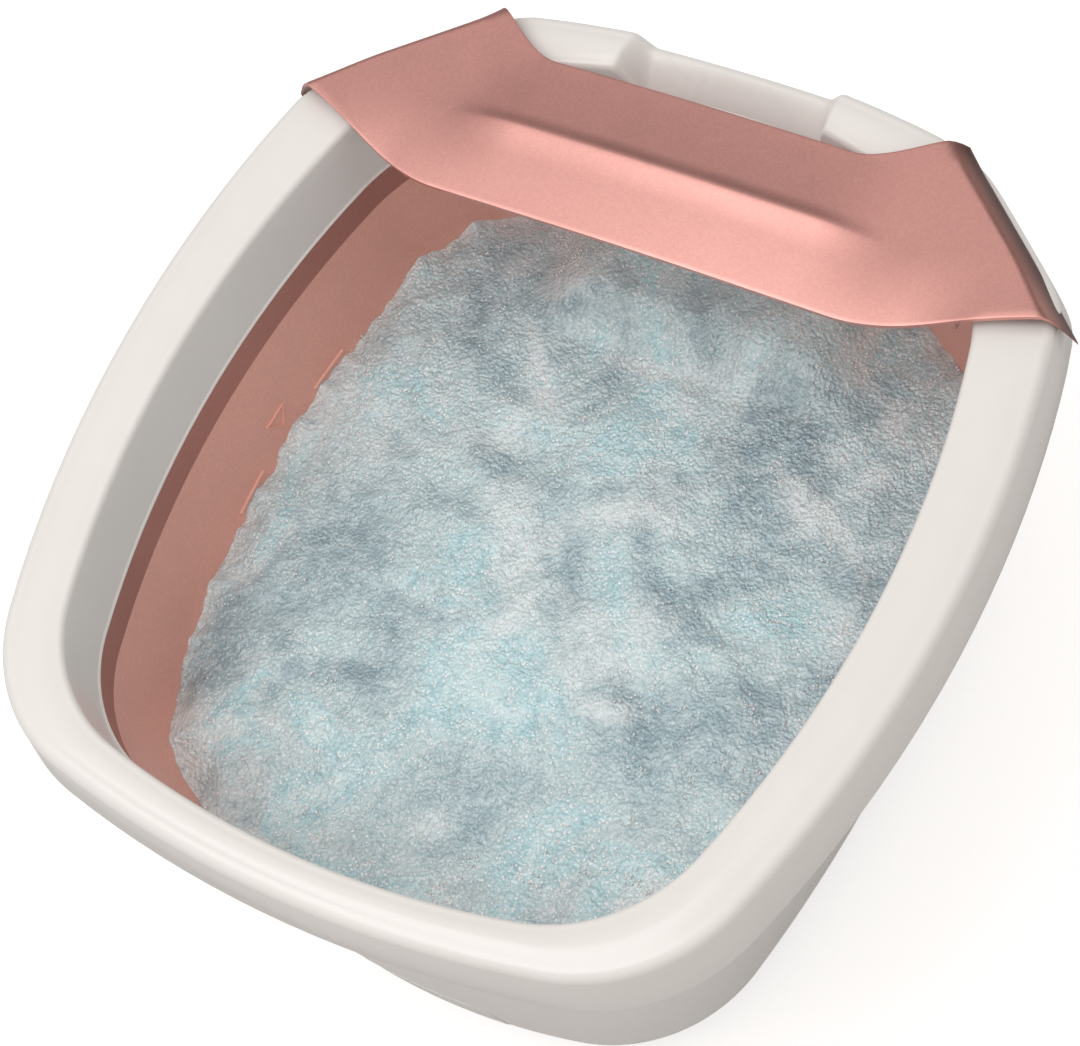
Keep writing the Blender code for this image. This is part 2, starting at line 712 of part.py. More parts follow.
def make_rim_cover():
    """The white cover: skirt, crowned top, inner lip, and the pouring notch at the toe end."""
    outer, inner = NOTCH_OUTER_DEPTH, NOTCH_INNER_DEPTH
    top_outer = ring(RIM, -RIM_CREASE, RIM_TOP_Z, outer)
    top_inner = ring(MOUTH, LIP_ROUND, RIM_TOP_Z, inner)
    bevel = RIM_CREASE * 0.3
    round_over = LIP_ROUND * 0.3
    rows = [
        ring(RIM, SKIRT_FLARE, RIM_TOP_Z - SKIRT_DEPTH),
        ring(RIM, SKIRT_FLARE * RIM_CREASE / SKIRT_DEPTH, RIM_TOP_Z - RIM_CREASE, outer),
        ring(RIM, -bevel, RIM_TOP_Z - bevel, outer),
        top_outer,
        middle_ring(top_outer, top_inner, RIM_CROWN),
        top_inner,
        ring(MOUTH, round_over, RIM_TOP_Z - round_over, inner),
        ring(MOUTH, 0, RIM_TOP_Z - LIP_ROUND, inner),
        ring(MOUTH, -LIP_LEAN, RIM_TOP_Z - LIP_DEPTH),
        ring(MOUTH, RIM_WALL - LIP_LEAN, RIM_TOP_Z - LIP_DEPTH),
        ring(MOUTH, RIM_WALL, RIM_TOP_Z - RIM_WALL, inner),
        ring(RIM, -RIM_WALL, RIM_TOP_Z - RIM_WALL, outer),
        ring(RIM, SKIRT_FLARE - RIM_WALL, RIM_TOP_Z - SKIRT_DEPTH),
    ]
    return lofted("rim_cover", rows, WARM_WHITE, closed=True)


def shelf_share(x, y):
    """How far the toe shelf stands out of the liner's wall at a place, from 0 to 1."""
    return notch_share(x, y)


def shelf_ring(offset, z, side_step=0, drain=0):
    """A row of the liner from the shelf's edge down, pushed inwards at the toe end."""
    row = []
    for x, y in MOUTH.parallel(offset).points():
        share = shelf_share(x, y)
        push = SHELF_DEPTH * share
        row.append(Vector((x, y - push, z - side_step * (1 - share) - drain * share)))
    return row


def liner_fillet(offset, radius, centre_z):
    """Rows of the fillet between the liner's wall and its floor."""
    start = math.radians(LINER_DRAFT_DEG)
    rows = []
    for step in range(FILLET_STEPS + 1):
        angle = start + (math.pi / 2 - start) * step / FILLET_STEPS
        inward = radius * (math.cos(start) - math.cos(angle))
        rows.append(shelf_ring(offset - inward, centre_z - radius * math.sin(angle)))
    return rows


def make_tub_liner():
    """The rose-gold bowl: flange, upright strip, drafted wall, toe shelf, fillet and floor."""
    behind_lip = RIM_WALL + GAP
    flange_run = RIM_HALF_LENGTH - MOUTH_HALF_LENGTH - behind_lip
    outer = notch_depth(FLANGE_EDGE)
    inner = notch_depth(flange_run)
    centre_z = FLOOR_Z + FLOOR_FILLET
    tangent_z = centre_z - FLOOR_FILLET * math.sin(math.radians(LINER_DRAFT_DEG))
    strip_face = STRIP_RECESS - LIP_LEAN
    water_side = [
        ring(RIM, -FLANGE_EDGE, FLANGE_TOP_Z, outer),
        ring(MOUTH, behind_lip, FLANGE_TOP_Z, inner),
        ring(MOUTH, behind_lip, LEDGE_Z),
        ring(MOUTH, strip_face, LEDGE_Z),
        ring(MOUTH, -LIP_LEAN, STRIP_Z),
        ring(MOUTH, liner_offset(SHELF_Z), SHELF_Z),
        shelf_ring(liner_offset(SHELF_Z - SHELF_STEP), SHELF_Z, SHELF_STEP, SHELF_DRAIN),
        shelf_ring(
            liner_offset(SHELF_Z - 2 * SHELF_STEP) - SHELF_DRAIN, SHELF_Z - SHELF_STEP, SHELF_STEP,
        ),
    ]
    water_side += liner_fillet(liner_offset(tangent_z), FLOOR_FILLET, centre_z)
    under = LINER_WALL
    shelf_under_z = SHELF_Z - under
    dry_side = [
        ring(RIM, -FLANGE_EDGE, FLANGE_TOP_Z - under, outer),
        ring(RIM, -GASKET_INSIDE - GAP, FLANGE_TOP_Z - under, notch_depth(GASKET_INSIDE + GAP)),
        ring(MOUTH, behind_lip + under, FLANGE_TOP_Z - under, notch_depth(flange_run - under)),
        ring(MOUTH, behind_lip + under, LEDGE_Z - under),
        ring(MOUTH, strip_face + under, LEDGE_Z - 2 * under),
        ring(MOUTH, under - LIP_LEAN, STRIP_Z),
        ring(MOUTH, liner_offset(shelf_under_z) + under, shelf_under_z),
        shelf_ring(
            liner_offset(shelf_under_z - SHELF_STEP) + under, shelf_under_z, SHELF_STEP, SHELF_DRAIN,
        ),
        shelf_ring(
            liner_offset(shelf_under_z - 2 * SHELF_STEP) + under, shelf_under_z - SHELF_STEP, SHELF_STEP,
        ),
    ]
    dry_side += liner_fillet(liner_offset(tangent_z) + under, FLOOR_FILLET + under, centre_z)
    liner = lofted("tub_liner", water_side[::-1] + dry_side, ROSE_GOLD)
    add_liner_details(liner)
    return liner


def boss_places():
    """Where the six screws hold the pan to the liner."""
    places = []
    for side in (-1, 1):
        places.append((side * BOSS_HEEL_X, -BOSS_HEEL_Y))
        places.append((side * BOSS_MID_X, BOSS_MID_Y))
        places.append((side * BOSS_TOE_X, BOSS_TOE_Y))
    return places


def add_liner_details(liner):
    """Hangs the screw bosses under the floor and opens the button bore and the air feed holes."""
    boss_top = FLOOR_UNDER_Z + LINER_WALL / 2
    bosses = [circle(x, y, BOSS_RADIUS, PEG_STEPS) for x, y in boss_places()]
    unite(liner, several("liner_bosses", bosses, PAN_TOP_Z + GAP, boss_top))
    pilots = [circle(x, y, SCREW_RADIUS + GAP, PEG_STEPS) for x, y in boss_places()]
    pilot_top = PAN_Z + SCREW_LENGTH + OVERRUN
    cut(liner, several("liner_pilots", pilots, PAN_Z, pilot_top))
    bore = [circle(0, button_y(), BUTTON_RADIUS + GAP, ROUND_STEPS)]
    cut(liner, several("liner_button_bore", bore, SHELF_Z - 2 * LINER_WALL, SHELF_Z + OVERRUN))
    feeds = [circle(side * strip_x(), DUCT_Y, FEED_RADIUS, PEG_STEPS) for side in (-1, 1)]
    cut(liner, several("liner_feeds", feeds, FLOOR_UNDER_Z - OVERRUN, FLOOR_Z + OVERRUN))


def shell_fillet(inset, radius):
    """Rows of the shell's bottom fillet, from the wall down."""
    rows = []
    for step in range(1, FILLET_STEPS + 1):
        angle = math.pi / 2 * step / FILLET_STEPS
        inward = inset + radius * (1 - math.cos(angle))
        rows.append(ring(BASE, -inward, SHELL_FILLET_Z - radius * math.sin(angle)))
    return rows


def make_outer_shell():
    """The white tub wall under the rim, with its bottom lip, drawer opening and cord hole."""
    top_inset = GASKET_OUTSIDE
    wall = SHELL_WALL
    outside = [
        ring(RIM, -top_inset, SHELL_TOP_Z, notch_depth(top_inset)),
        ring(RIM, -SHELL_TUCK, SHELL_SHOULDER_Z),
        ring(BASE, 0, SHELL_FILLET_Z),
    ]
    outside += shell_fillet(0, BASE_FILLET)
    outside.append(ring(BASE, -BASE_FILLET - BASE_LIP, BASE_Z))
    inside = [
        ring(RIM, -top_inset - wall, SHELL_TOP_Z, notch_depth(top_inset + wall)),
        ring(RIM, -SHELL_TUCK - wall, SHELL_SHOULDER_Z),
        ring(BASE, -wall, SHELL_FILLET_Z),
    ]
    inside += shell_fillet(wall, BASE_FILLET - PAN_THICKNESS)
    inside.append(ring(BASE, -BASE_FILLET - BASE_LIP, BASE_Z + PAN_THICKNESS))
    shell = lofted("outer_shell", outside + inside[::-1], WARM_WHITE, closed=True)
    cut(shell, drawer_panel("shell_drawer_opening", SLIDE_GAP, 3 * OVERRUN, 3 * OVERRUN, None))
    radius, reach = GLAND_RADIUS + GAP, SHELL_WALL + OVERRUN
    hole = [(0, -reach), (radius, -reach), (radius, reach), (0, reach)]
    cut(shell, turned("shell_gland_hole", hole, gland_place(), None, axis=gland_axis(), steps=SMALL_STEPS))
    return shell


def make_gasket():
    """The soft ring between the shell's top edge and the liner's flange."""
    outside, inside = GASKET_OUTSIDE, GASKET_INSIDE
    rows = [
        ring(RIM, -outside, GASKET_TOP_Z - GASKET_HEIGHT, notch_depth(outside)),
        ring(RIM, -outside, GASKET_TOP_Z, notch_depth(outside) + GAP),
        ring(RIM, -inside, GASKET_TOP_Z, notch_depth(inside) + GAP),
        ring(RIM, -inside, GASKET_TOP_Z - GASKET_HEIGHT, notch_depth(inside)),
    ]
    return lofted("shell_gasket", rows, RUBBER, closed=True)


def shell_wall_y(x, z, sign):
    """The Y of the shell's outer face at one end, at a place across it and a height."""
    upper = RIM.parallel(-SHELL_TUCK).end_y(x, sign)
    lower = BASE.end_y(x, sign)
    if z >= SHELL_FILLET_Z:
        share = (z - SHELL_FILLET_Z) / (SHELL_SHOULDER_Z - SHELL_FILLET_Z)
        return lower + (upper - lower) * share
    drop = min((SHELL_FILLET_Z - z) / BASE_FILLET, 1)
    return BASE.parallel(-BASE_FILLET * (1 - math.sqrt(1 - drop ** 2))).end_y(x, sign)


def gland_place():
    """The middle of the cord gland on the outer face of the toe wall."""
    return Vector((GLAND_X, shell_wall_y(GLAND_X, GLAND_Z, 1), GLAND_Z))


def gland_axis():
    """The outward direction of the toe wall at the cord gland."""
    step = GLAND_RADIUS
    slope_x = shell_wall_y(GLAND_X + step, GLAND_Z, 1) - shell_wall_y(GLAND_X - step, GLAND_Z, 1)
    slope_z = shell_wall_y(GLAND_X, GLAND_Z + step, 1) - shell_wall_y(GLAND_X, GLAND_Z - step, 1)
    return Vector((-slope_x, 2 * step, -slope_z)).normalized()


def panel_back_y():
    """The flat back of the drawer's panel, a wall's thickness behind its lowest corners."""
    return shell_wall_y(DRAWER_HALF_WIDTH, DRAWER_BOTTOM_Z, -1) + DRAWER_FRONT_WALL


def drawer_panel(name, margin, proud, depth, finish, parent=None):
    """A panel that follows the heel wall in front, with rounded top corners and a flat back."""
    low = DRAWER_BOTTOM_Z - margin
    high = DRAWER_TOP_Z + margin
    radius = DRAWER_CORNER + margin
    half_width = DRAWER_HALF_WIDTH + margin
    heights = [low, (low + high - radius) / 2, high - radius]
    for step in range(1, FILLET_STEPS + 1):
        heights.append(high - radius + radius * math.sin(math.pi / 2 * step / FILLET_STEPS))
    rows = []
    for z in heights:
        above = max(z - (high - radius), 0)
        reach = half_width - radius + math.sqrt(max(radius ** 2 - above ** 2, 0))
        across = [reach * share for share in (-1, -0.5, 0, 0.5, 1)]
        front = [Vector((x, shell_wall_y(x, z, -1) - proud, z)) for x in across]
        back = [Vector((x, panel_back_y() + depth, z)) for x in reversed(across)]
        rows.append(front + back)
    return lofted(name, rows, finish, parent=parent)


def tray_sizes():
    """Half width, front, back, bottom and top of the drawer's tray."""
    half_width = DRAWER_HALF_WIDTH - TRAY_SIDE_GAP
    front = panel_back_y() - DRAWER_FRONT_WALL / 3
    bottom = DRAWER_BOTTOM_Z + SLIDE_GAP
    return half_width, front, front + TRAY_LENGTH, bottom, bottom + TRAY_HEIGHT


def make_drawer(parent):
    """The drawer: a curved front panel with an open tray behind it."""
    half_width, front, back, bottom, top = tray_sizes()
    length = back - front
    middle = (front + back) / 2
    drawer = drawer_panel("drawer_tray", 0, DRAWER_PROUD, 0, WARM_WHITE, parent)
    box = rectangle(0, middle, 2 * half_width, length)
    hollow = rectangle(0, middle, 2 * (half_width - TRAY_WALL), length - 2 * TRAY_WALL)
    rows = polygon_rows(box, bottom, top) + polygon_rows(hollow, bottom + TRAY_WALL, top)[::-1]
    tray = lofted("drawer_box", rows, None)
    unite(drawer, tray)
    return drawer


def make_runners():
    """Two angle rails on the pan that guide the tray."""
    half_width, front, back, bottom, _top = tray_sizes()
    inner = half_width + SLIDE_GAP
    start = -pan_outline().half_length + PAN_THICKNESS + OVERRUN
    for side, name in ((-1, "drawer_runner_left"), (1, "drawer_runner_right")):
        low = PAN_TOP_Z + GAP
        rail_top = bottom + RUNNER_HEIGHT
        foot_top = low + RUNNER_THICKNESS
        seat = bottom - GAP
        outer = inner + RUNNER_THICKNESS
        under = inner - RUNNER_THICKNESS
        profile = [
            (inner, low), (inner + RUNNER_FOOT, low), (inner + RUNNER_FOOT, foot_top), (outer, foot_top),
            (outer, rail_top), (inner, rail_top), (inner, seat), (under, seat), (under, low),
        ]
        rows = [[Vector((side * x, y, z)) for x, z in profile] for y in (start, back)]
        lofted(name, rows, PALE_GREY)


def make_stored_heads(parent):
    """Two spare pedicure heads that lie in the drawer."""
    _half_width, front, _back, bottom, _top = tray_sizes()
    base = bottom + TRAY_WALL + GAP
    first = front + TRAY_WALL + HEAD_RADIUS + OVERRUN
    socket = HEAD_SOCKET
    brush = [
        (0, socket), (PEG_RADIUS, socket), (PEG_RADIUS, 0), (HEAD_RADIUS, 0),
        (HEAD_RADIUS, HEAD_HEIGHT / 2), (HEAD_RADIUS * 0.9, HEAD_HEIGHT / 2),
        (HEAD_RADIUS * 0.94, HEAD_HEIGHT), (0, HEAD_HEIGHT),
    ]
    turned("stored_brush_head", brush, (0, first, base), SOFT_PINK, parent=parent, steps=ROUND_STEPS)
    ball = [(0, socket), (PEG_RADIUS, socket), (PEG_RADIUS, 0), (HEAD_RADIUS, 0)]
    ball.append((HEAD_RADIUS, HEAD_HEIGHT / 3))
    for step in range(1, FILLET_STEPS + 1):
        angle = math.pi / 2 * step / (FILLET_STEPS + 1)
        rise = HEAD_HEIGHT * (1 + 2 * math.sin(angle)) / 3
        ball.append((HEAD_RADIUS * math.cos(angle), rise))
    ball.append((0, HEAD_HEIGHT))
    turned("stored_ball_head", ball, (0, first + HEAD_PITCH, base), WARM_WHITE, parent=parent)


def pan_outline():
    """The outline of the base pan, inside the shell's bottom fillet."""
    return BASE.parallel(-BASE_FILLET - PAN_THICKNESS)


def board_post_places():
    """Where the four board posts stand."""
    reach_x = BOARD_WIDTH / 2 - BOARD_EDGE
    reach_y = BOARD_LENGTH / 2 - BOARD_EDGE
    return [(BOARD_X + sx * reach_x, BOARD_Y + sy * reach_y) for sx in (-1, 1) for sy in (-1, 1)]


def foot_places():
    """Where the four rubber feet sit, with their names."""
    places = []
    for end, y in (("heel", -FOOT_Y), ("toe", FOOT_Y)):
        for side, x in (("left", -FOOT_X), ("right", FOOT_X)):
            places.append((f"rubber_foot_{end}_{side}", x, y))
    return places


def make_base_pan():
    """The bottom plate with its board posts, air slots, foot holes and screw holes."""
    outline = pan_outline()
    rows = [ring(outline, 0, PAN_Z), ring(outline, 0, PAN_TOP_Z)]
    pan = lofted("base_pan", rows, PALE_GREY)
    posts = [circle(x, y, BOARD_POST_RADIUS, PEG_STEPS) for x, y in board_post_places()]
    unite(pan, several("pan_posts", posts, PAN_TOP_Z - PAN_THICKNESS / 2, PAN_TOP_Z + BOARD_POST_HEIGHT))
    low, high = PAN_Z - OVERRUN, PAN_TOP_Z + OVERRUN
    holes = [circle(x, y, SCREW_RADIUS + GAP, PEG_STEPS) for x, y in boss_places()]
    holes += [circle(x, y, FOOT_PEG_RADIUS + GAP, PEG_STEPS) for _name, x, y in foot_places()]
    for index in range(VENT_COUNT):
        shift = (index - (VENT_COUNT - 1) / 2) * VENT_PITCH
        holes.append(rectangle(PUMP_X + shift, PUMP_Y, VENT_WIDTH, VENT_LENGTH))
    cut(pan, several("pan_holes", holes, low, high))
    return pan


def make_feet():
    """Four rubber feet, each with a peg that snaps through the pan."""
    seat = PAN_Z - GAP
    for name, x, y in foot_places():
        profile = [
            (0, 0), (FOOT_RADIUS - FOOT_ROUND, 0), (FOOT_RADIUS, FOOT_ROUND), (FOOT_RADIUS, seat),
            (FOOT_PEG_RADIUS, seat), (FOOT_PEG_RADIUS, PAN_TOP_Z + GAP), (FOOT_PEG_HEAD, PAN_TOP_Z + GAP),
            (FOOT_PEG_RADIUS, PAN_TOP_Z + FOOT_PEG_RADIUS), (0, PAN_TOP_Z + FOOT_PEG_RADIUS),
        ]
        turned(name, profile, (x, y, 0), RUBBER, steps=FOOT_STEPS)


def make_screws():
    """Six screws through the pan into the liner's bosses."""
    seat = PAN_Z - GAP
    for index, (x, y) in enumerate(boss_places()):
        profile = [
            (0, seat - SCREW_HEAD_HEIGHT), (SCREW_HEAD_RADIUS * 0.8, seat - SCREW_HEAD_HEIGHT),
            (SCREW_HEAD_RADIUS, seat - SCREW_HEAD_HEIGHT / 2), (SCREW_HEAD_RADIUS, seat),
            (SCREW_RADIUS, seat), (SCREW_RADIUS, seat + SCREW_LENGTH),
            (0, seat + SCREW_LENGTH + SCREW_RADIUS),
        ]
        turned(f"pan_screw_{index + 1}", profile, (x, y, 0), STEEL, steps=SCREW_STEPS)


def guard_edge_share(x, start, end):
    """How far a guard edge has swept from its straight middle to its corner."""
    return smooth((abs(x) - start) / (end - start))


def guard_front_y(x):
    """The front edge of the guard: straight, then swept to its tips."""
    share = guard_edge_share(x, GUARD_FRONT_HALF - GUARD_FOLD, GUARD_TIP_X + GUARD_FOLD)
    full = guard_edge_share(GUARD_TIP_X, GUARD_FRONT_HALF - GUARD_FOLD, GUARD_TIP_X + GUARD_FOLD)
    return GUARD_FRONT_Y + (GUARD_TIP_Y - GUARD_FRONT_Y) * share / full


def guard_back_y(x):
    """The back edge of the guard: straight, flared to its corners, then cut off to the tips."""
    reach = abs(x)
    if reach <= GUARD_CORNER_X:
        share = guard_edge_share(x, GUARD_BACK_HALF, GUARD_CORNER_X + GUARD_FOLD)
        full = guard_edge_share(GUARD_CORNER_X, GUARD_BACK_HALF, GUARD_CORNER_X + GUARD_FOLD)
        return GUARD_BACK_Y + (GUARD_CORNER_Y - GUARD_BACK_Y) * share / full
    share = (reach - GUARD_CORNER_X) / (GUARD_TIP_X - GUARD_CORNER_X)
    return GUARD_CORNER_Y + (GUARD_TIP_Y - GUARD_CORNER_Y) * share


def guard_end_distance(x, y):
    """How far a place lies inside the guard's slanted end cut."""
    along = Vector((GUARD_TIP_X - GUARD_CORNER_X, GUARD_TIP_Y - GUARD_CORNER_Y)).normalized()
    offset = Vector((abs(x) - GUARD_CORNER_X, y - GUARD_CORNER_Y))
    return offset.x * along.y - offset.y * along.x


def guard_lift(x, y):
    """The guard's height over its seat: it bends down to the rim at its ends and front corners."""
    end_bend = 1 - min(max(guard_end_distance(x, y) / GUARD_FOLD, 0), 1)
    over_rim = smooth((abs(x) - MOUTH_HALF_WIDTH + 2 * GUARD_FOLD) / GUARD_FOLD)
    front_bend = (1 - min(max((y - guard_front_y(x)) / GUARD_FOLD, 0), 1)) * over_rim
    return GUARD_LIFT * (1 - end_bend ** 2) * (1 - front_bend ** 2)


def guard_flap_drop(x, y):
    """How far the guard's tips fold down outside the rim."""
    tip = RIM.outside(GUARD_TIP_X, GUARD_TIP_Y)
    beyond = max(RIM.outside(x, y) / tip, 0)
    return GUARD_TIP_DROP * beyond ** 1.25


def guard_ridge(x, y):
    """The height of the pinched crest that runs across the guard."""
    fade = 1 - smooth((abs(x) - GUARD_RIDGE_HALF + GUARD_RIDGE_FADE) / GUARD_RIDGE_FADE)
    reach = GUARD_RIDGE_FRONT if y < GUARD_RIDGE_Y else GUARD_RIDGE_BACK
    near = max(1 - abs(y - GUARD_RIDGE_Y) / reach, 0)
    return GUARD_RIDGE_HEIGHT * fade * near ** 2


def guard_top_z(x, y):
    """The height of the guard's upper face."""
    seat = RIM_TOP_Z + RIM_CROWN + GAP + GUARD_THICKNESS
    arch = GUARD_ARCH * (1 - smooth(abs(x) / MOUTH_HALF_WIDTH))
    return seat + arch + guard_lift(x, y) + guard_ridge(x, y) - guard_flap_drop(x, y)


def guard_columns():
    """Places across the guard where its edges turn, closer near the ends."""
    middle = (GUARD_BACK_HALF + GUARD_RIDGE_HALF) / 2
    right = [0, GUARD_BACK_HALF / 2, GUARD_BACK_HALF, middle, GUARD_RIDGE_HALF]
    for step in range(GUARD_END_STEPS + 1):
        right.append(GUARD_CORNER_X + (GUARD_TIP_X - GUARD_CORNER_X) * step / GUARD_END_STEPS)
    return [-x for x in reversed(right[1:])] + right


def guard_row_places(x):
    """Places along the guard at one column, from its front edge to its back edge."""
    front, back = guard_front_y(x), guard_back_y(x)
    return [front + (back - front) * share for share in GUARD_ROW_SHARES]


def make_splash_guard(parent):
    """The rose-gold sheet over the toes: crest, swept edges, end flaps and two locating hooks."""
    mesh = bmesh.new()
    columns = guard_columns()
    upper, lower = [], []
    for x in columns:
        places = guard_row_places(x)
        if x in (columns[0], columns[-1]):
            places = [(places[0] + places[-1]) / 2]
        upper.append([mesh.verts.new((x, y, guard_top_z(x, y))) for y in places])
        lower.append([mesh.verts.new((x, y, guard_top_z(x, y) - GUARD_THICKNESS)) for y in places])
    for sheet in (upper, lower):
        for first, second in zip(sheet, sheet[1:]):
            span = max(len(first), len(second)) - 1
            for index in range(span):
                if len(first) == 1:
                    mesh.faces.new((first[0], second[index], second[index + 1]))
                elif len(second) == 1:
                    mesh.faces.new((first[index], first[index + 1], second[0]))
                else:
                    mesh.faces.new((first[index], first[index + 1], second[index + 1], second[index]))
    for edge in (0, -1):
        for index in range(len(columns) - 1):
            loop = (upper[index][edge], upper[index + 1][edge], lower[index + 1][edge], lower[index][edge])
            mesh.faces.new(loop)
    guard = add_object("splash_guard", mesh, ROSE_GOLD, parent)
    unite(guard, guard_hooks())
    return guard


def guard_hooks():
    """Two tabs under the guard that drop inside the rim's lip and locate it."""
    far = HOOK_Y + HOOK_WIDTH / 2
    reach = MOUTH.side_x(far) - LIP_LEAN - SLIDE_GAP
    outlines = []
    for side in (-1, 1):
        centre = side * (reach - HOOK_THICKNESS / 2)
        outlines.append(rectangle(centre, HOOK_Y, HOOK_THICKNESS, HOOK_WIDTH))
    top = guard_top_z(reach, HOOK_Y) - GUARD_THICKNESS / 2
    return several("guard_hooks", outlines, RIM_TOP_Z - HOOK_DEPTH, top)


def make_massage_plate(name, side):
    """A heel plate with rows of blunt massage nodes."""
    low = FLOOR_Z + GAP
    top = low + PLATE_THICKNESS
    left = side * PLATE_X - PLATE_WIDTH / 2
    front = PLATE_Y - PLATE_LENGTH / 2
    cell_x, cell_y = PLATE_WIDTH / NODE_COLUMNS, PLATE_LENGTH / NODE_ROWS
    mesh = bmesh.new()
    grid = []
    for row in range(NODE_ROWS + 1):
        y = front + cell_y * row
        places = [left + cell_x * column for column in range(NODE_COLUMNS + 1)]
        grid.append([mesh.verts.new((x, y, top)) for x in places])
    cells = []
    for near, far in zip(grid, grid[1:]):
        for column in range(NODE_COLUMNS):
            cells.append(mesh.faces.new((near[column], near[column + 1], far[column + 1], far[column])))
    base = bmesh.ops.extrude_face_region(mesh, geom=cells)
    lowered = [item for item in base["geom"] if isinstance(item, bmesh.types.BMVert)]
    for vertex in lowered:
        vertex.co.z = low
    bmesh.ops.recalc_face_normals(mesh, faces=mesh.faces)
    for cell in [face for face in cells if face.is_valid]:
        raise_node(mesh, cell, min(cell_x, cell_y))
    return add_object(name, mesh, SOFT_PINK)


def raise_node(mesh, cell, size):
    """Pinches one cell of a plate up into a blunt node."""
    foot = size * (1 - NODE_FOOT_SHARE) / 2
    shoulder = size * (NODE_FOOT_SHARE - NODE_TOP_SHARE) / 2
    for thickness, depth in ((foot, 0), (shoulder, NODE_HEIGHT)):
        bmesh.ops.inset_individual(mesh, faces=[cell], thickness=thickness, depth=depth)


def roller_ends():
    """Half the roller's length and half the span inside the cradle's ears."""
    half = ROLLER_LENGTH / 2
    return half, half + SLIDE_GAP


def make_roller(side, word, parent):
    """One ridged roller on a steel pin in a two-eared cradle."""
    half, inside = roller_ends()
    place = Vector((side * ROLLER_X, ROLLER_Y, ROLLER_Z))
    bore = AXLE_RADIUS + GAP
    profile = [(bore, -half), (ROLLER_RADIUS * 0.8, -half)]
    pitch = ROLLER_LENGTH / ROLLER_RIDGES
    for ridge in range(ROLLER_RIDGES):
        start = -half + pitch * ridge
        profile.append((ROLLER_RADIUS, start + pitch * 0.15))
        profile.append((ROLLER_RADIUS + ROLLER_RIDGE_HEIGHT, start + pitch * 0.4))
        profile.append((ROLLER_RADIUS + ROLLER_RIDGE_HEIGHT, start + pitch * 0.6))
        profile.append((ROLLER_RADIUS, start + pitch * 0.85))
    profile += [(ROLLER_RADIUS * 0.8, half), (bore, half)]
    turned(f"{word}_roller", profile, place, WARM_WHITE, axis=SIDEWARDS, steps=SMALL_STEPS, parent=parent)
    pin = inside + CRADLE_EAR + GAP
    pin_profile = [(0, -pin), (AXLE_RADIUS, -pin), (AXLE_RADIUS, pin), (0, pin)]
    turned(f"{word}_roller_pin", pin_profile, place, STEEL, axis=SIDEWARDS, steps=SMALL_STEPS)
    make_cradle(side, word, inside)


def make_cradle(side, word, inside):
    """The cradle that holds a roller's pin: a floor plate with two rounded ears."""
    low = FLOOR_Z + GAP
    centre_x = side * ROLLER_X
    half_width = CRADLE_WIDTH / 2
    outside = inside + CRADLE_EAR
    plate = prism(
        f"{word}_roller_cradle", rectangle(centre_x, ROLLER_Y, 2 * outside, CRADLE_WIDTH),
        low, low + CRADLE_PLATE, WARM_WHITE,
    )
    ear = [(half_width, low + CRADLE_PLATE / 2)]
    for step in range(FILLET_STEPS * 2 + 1):
        angle = math.pi * step / (FILLET_STEPS * 2)
        ear.append((CRADLE_EAR_ROUND * math.cos(angle), ROLLER_Z + CRADLE_EAR_ROUND * math.sin(angle)))
    ear.append((-half_width, low + CRADLE_PLATE / 2))
    mesh = bmesh.new()
    for start in (-outside, inside):
        places = (centre_x + start, centre_x + start + CRADLE_EAR)
        rows = [[Vector((x, ROLLER_Y + y, z)) for y, z in ear] for x in places]
        bridge_rows(mesh, rows, False)
    unite(plate, add_object(f"{word}_cradle_ears", mesh, None))
    reach = outside + OVERRUN
    radius = AXLE_RADIUS + GAP / 2
    hole = [(0, -reach), (radius, -reach), (radius, reach), (0, reach)]
    place = (centre_x, ROLLER_Y, ROLLER_Z)
    cut(plate, turned(f"{word}_cradle_bore", hole, place, None, axis=SIDEWARDS, steps=SMALL_STEPS))


def make_bubble_strip(side, word):
    """A slim cover along the floor with a row of air holes."""
    low = FLOOR_Z + GAP
    radius = STRIP_WIDTH * 0.45
    outline = round_rectangle(side * strip_x(), STRIP_Y, STRIP_WIDTH, STRIP_LENGTH, radius, steps=2)
    strip = prism(f"bubble_strip_{word}", outline, low, low + STRIP_THICKNESS, WARM_WHITE)
    pitch = STRIP_LENGTH / STRIP_HOLES
    holes = []
    for index in range(STRIP_HOLES):
        y = STRIP_Y + (index - (STRIP_HOLES - 1) / 2) * pitch
        holes.append(circle(side * strip_x(), y, STRIP_HOLE_RADIUS, SCREW_STEPS))
    cut(strip, several(f"strip_holes_{word}", holes, low - OVERRUN, low + STRIP_THICKNESS + OVERRUN))


def make_air_duct():
    """The duct under the floor that feeds both bubble strips, open to their feed holes."""
    top = FLOOR_UNDER_Z - GAP
    reach = strip_x() + DUCT_WIDTH / 2
    outline = rectangle(0, DUCT_Y, 2 * reach, DUCT_WIDTH)
    duct = prism("air_duct", outline, top - DUCT_HEIGHT, top, PALE_GREY)
    wall = DUCT_WIDTH * 0.18
    channel = [rectangle(0, DUCT_Y, 2 * (reach - wall), DUCT_WIDTH - 2 * wall)]
    cut(duct, several("duct_channel", channel, top - DUCT_HEIGHT + wall, top + OVERRUN))
    bore = HOSE_RADIUS * HOSE_BORE_SHARE
    hole = [(0, 0), (bore, 0), (bore, wall + OVERRUN), (0, wall + OVERRUN)]
    place = (hose_x(), DUCT_Y + DUCT_WIDTH / 2 - wall - OVERRUN / 2, duct_port_z())
    cut(duct, turned("duct_port", hole, place, None, axis=TOEWARDS, steps=PEG_STEPS))


def duct_port_z():
    """The height of the duct's hose port."""
    return FLOOR_UNDER_Z - GAP - DUCT_HEIGHT / 2


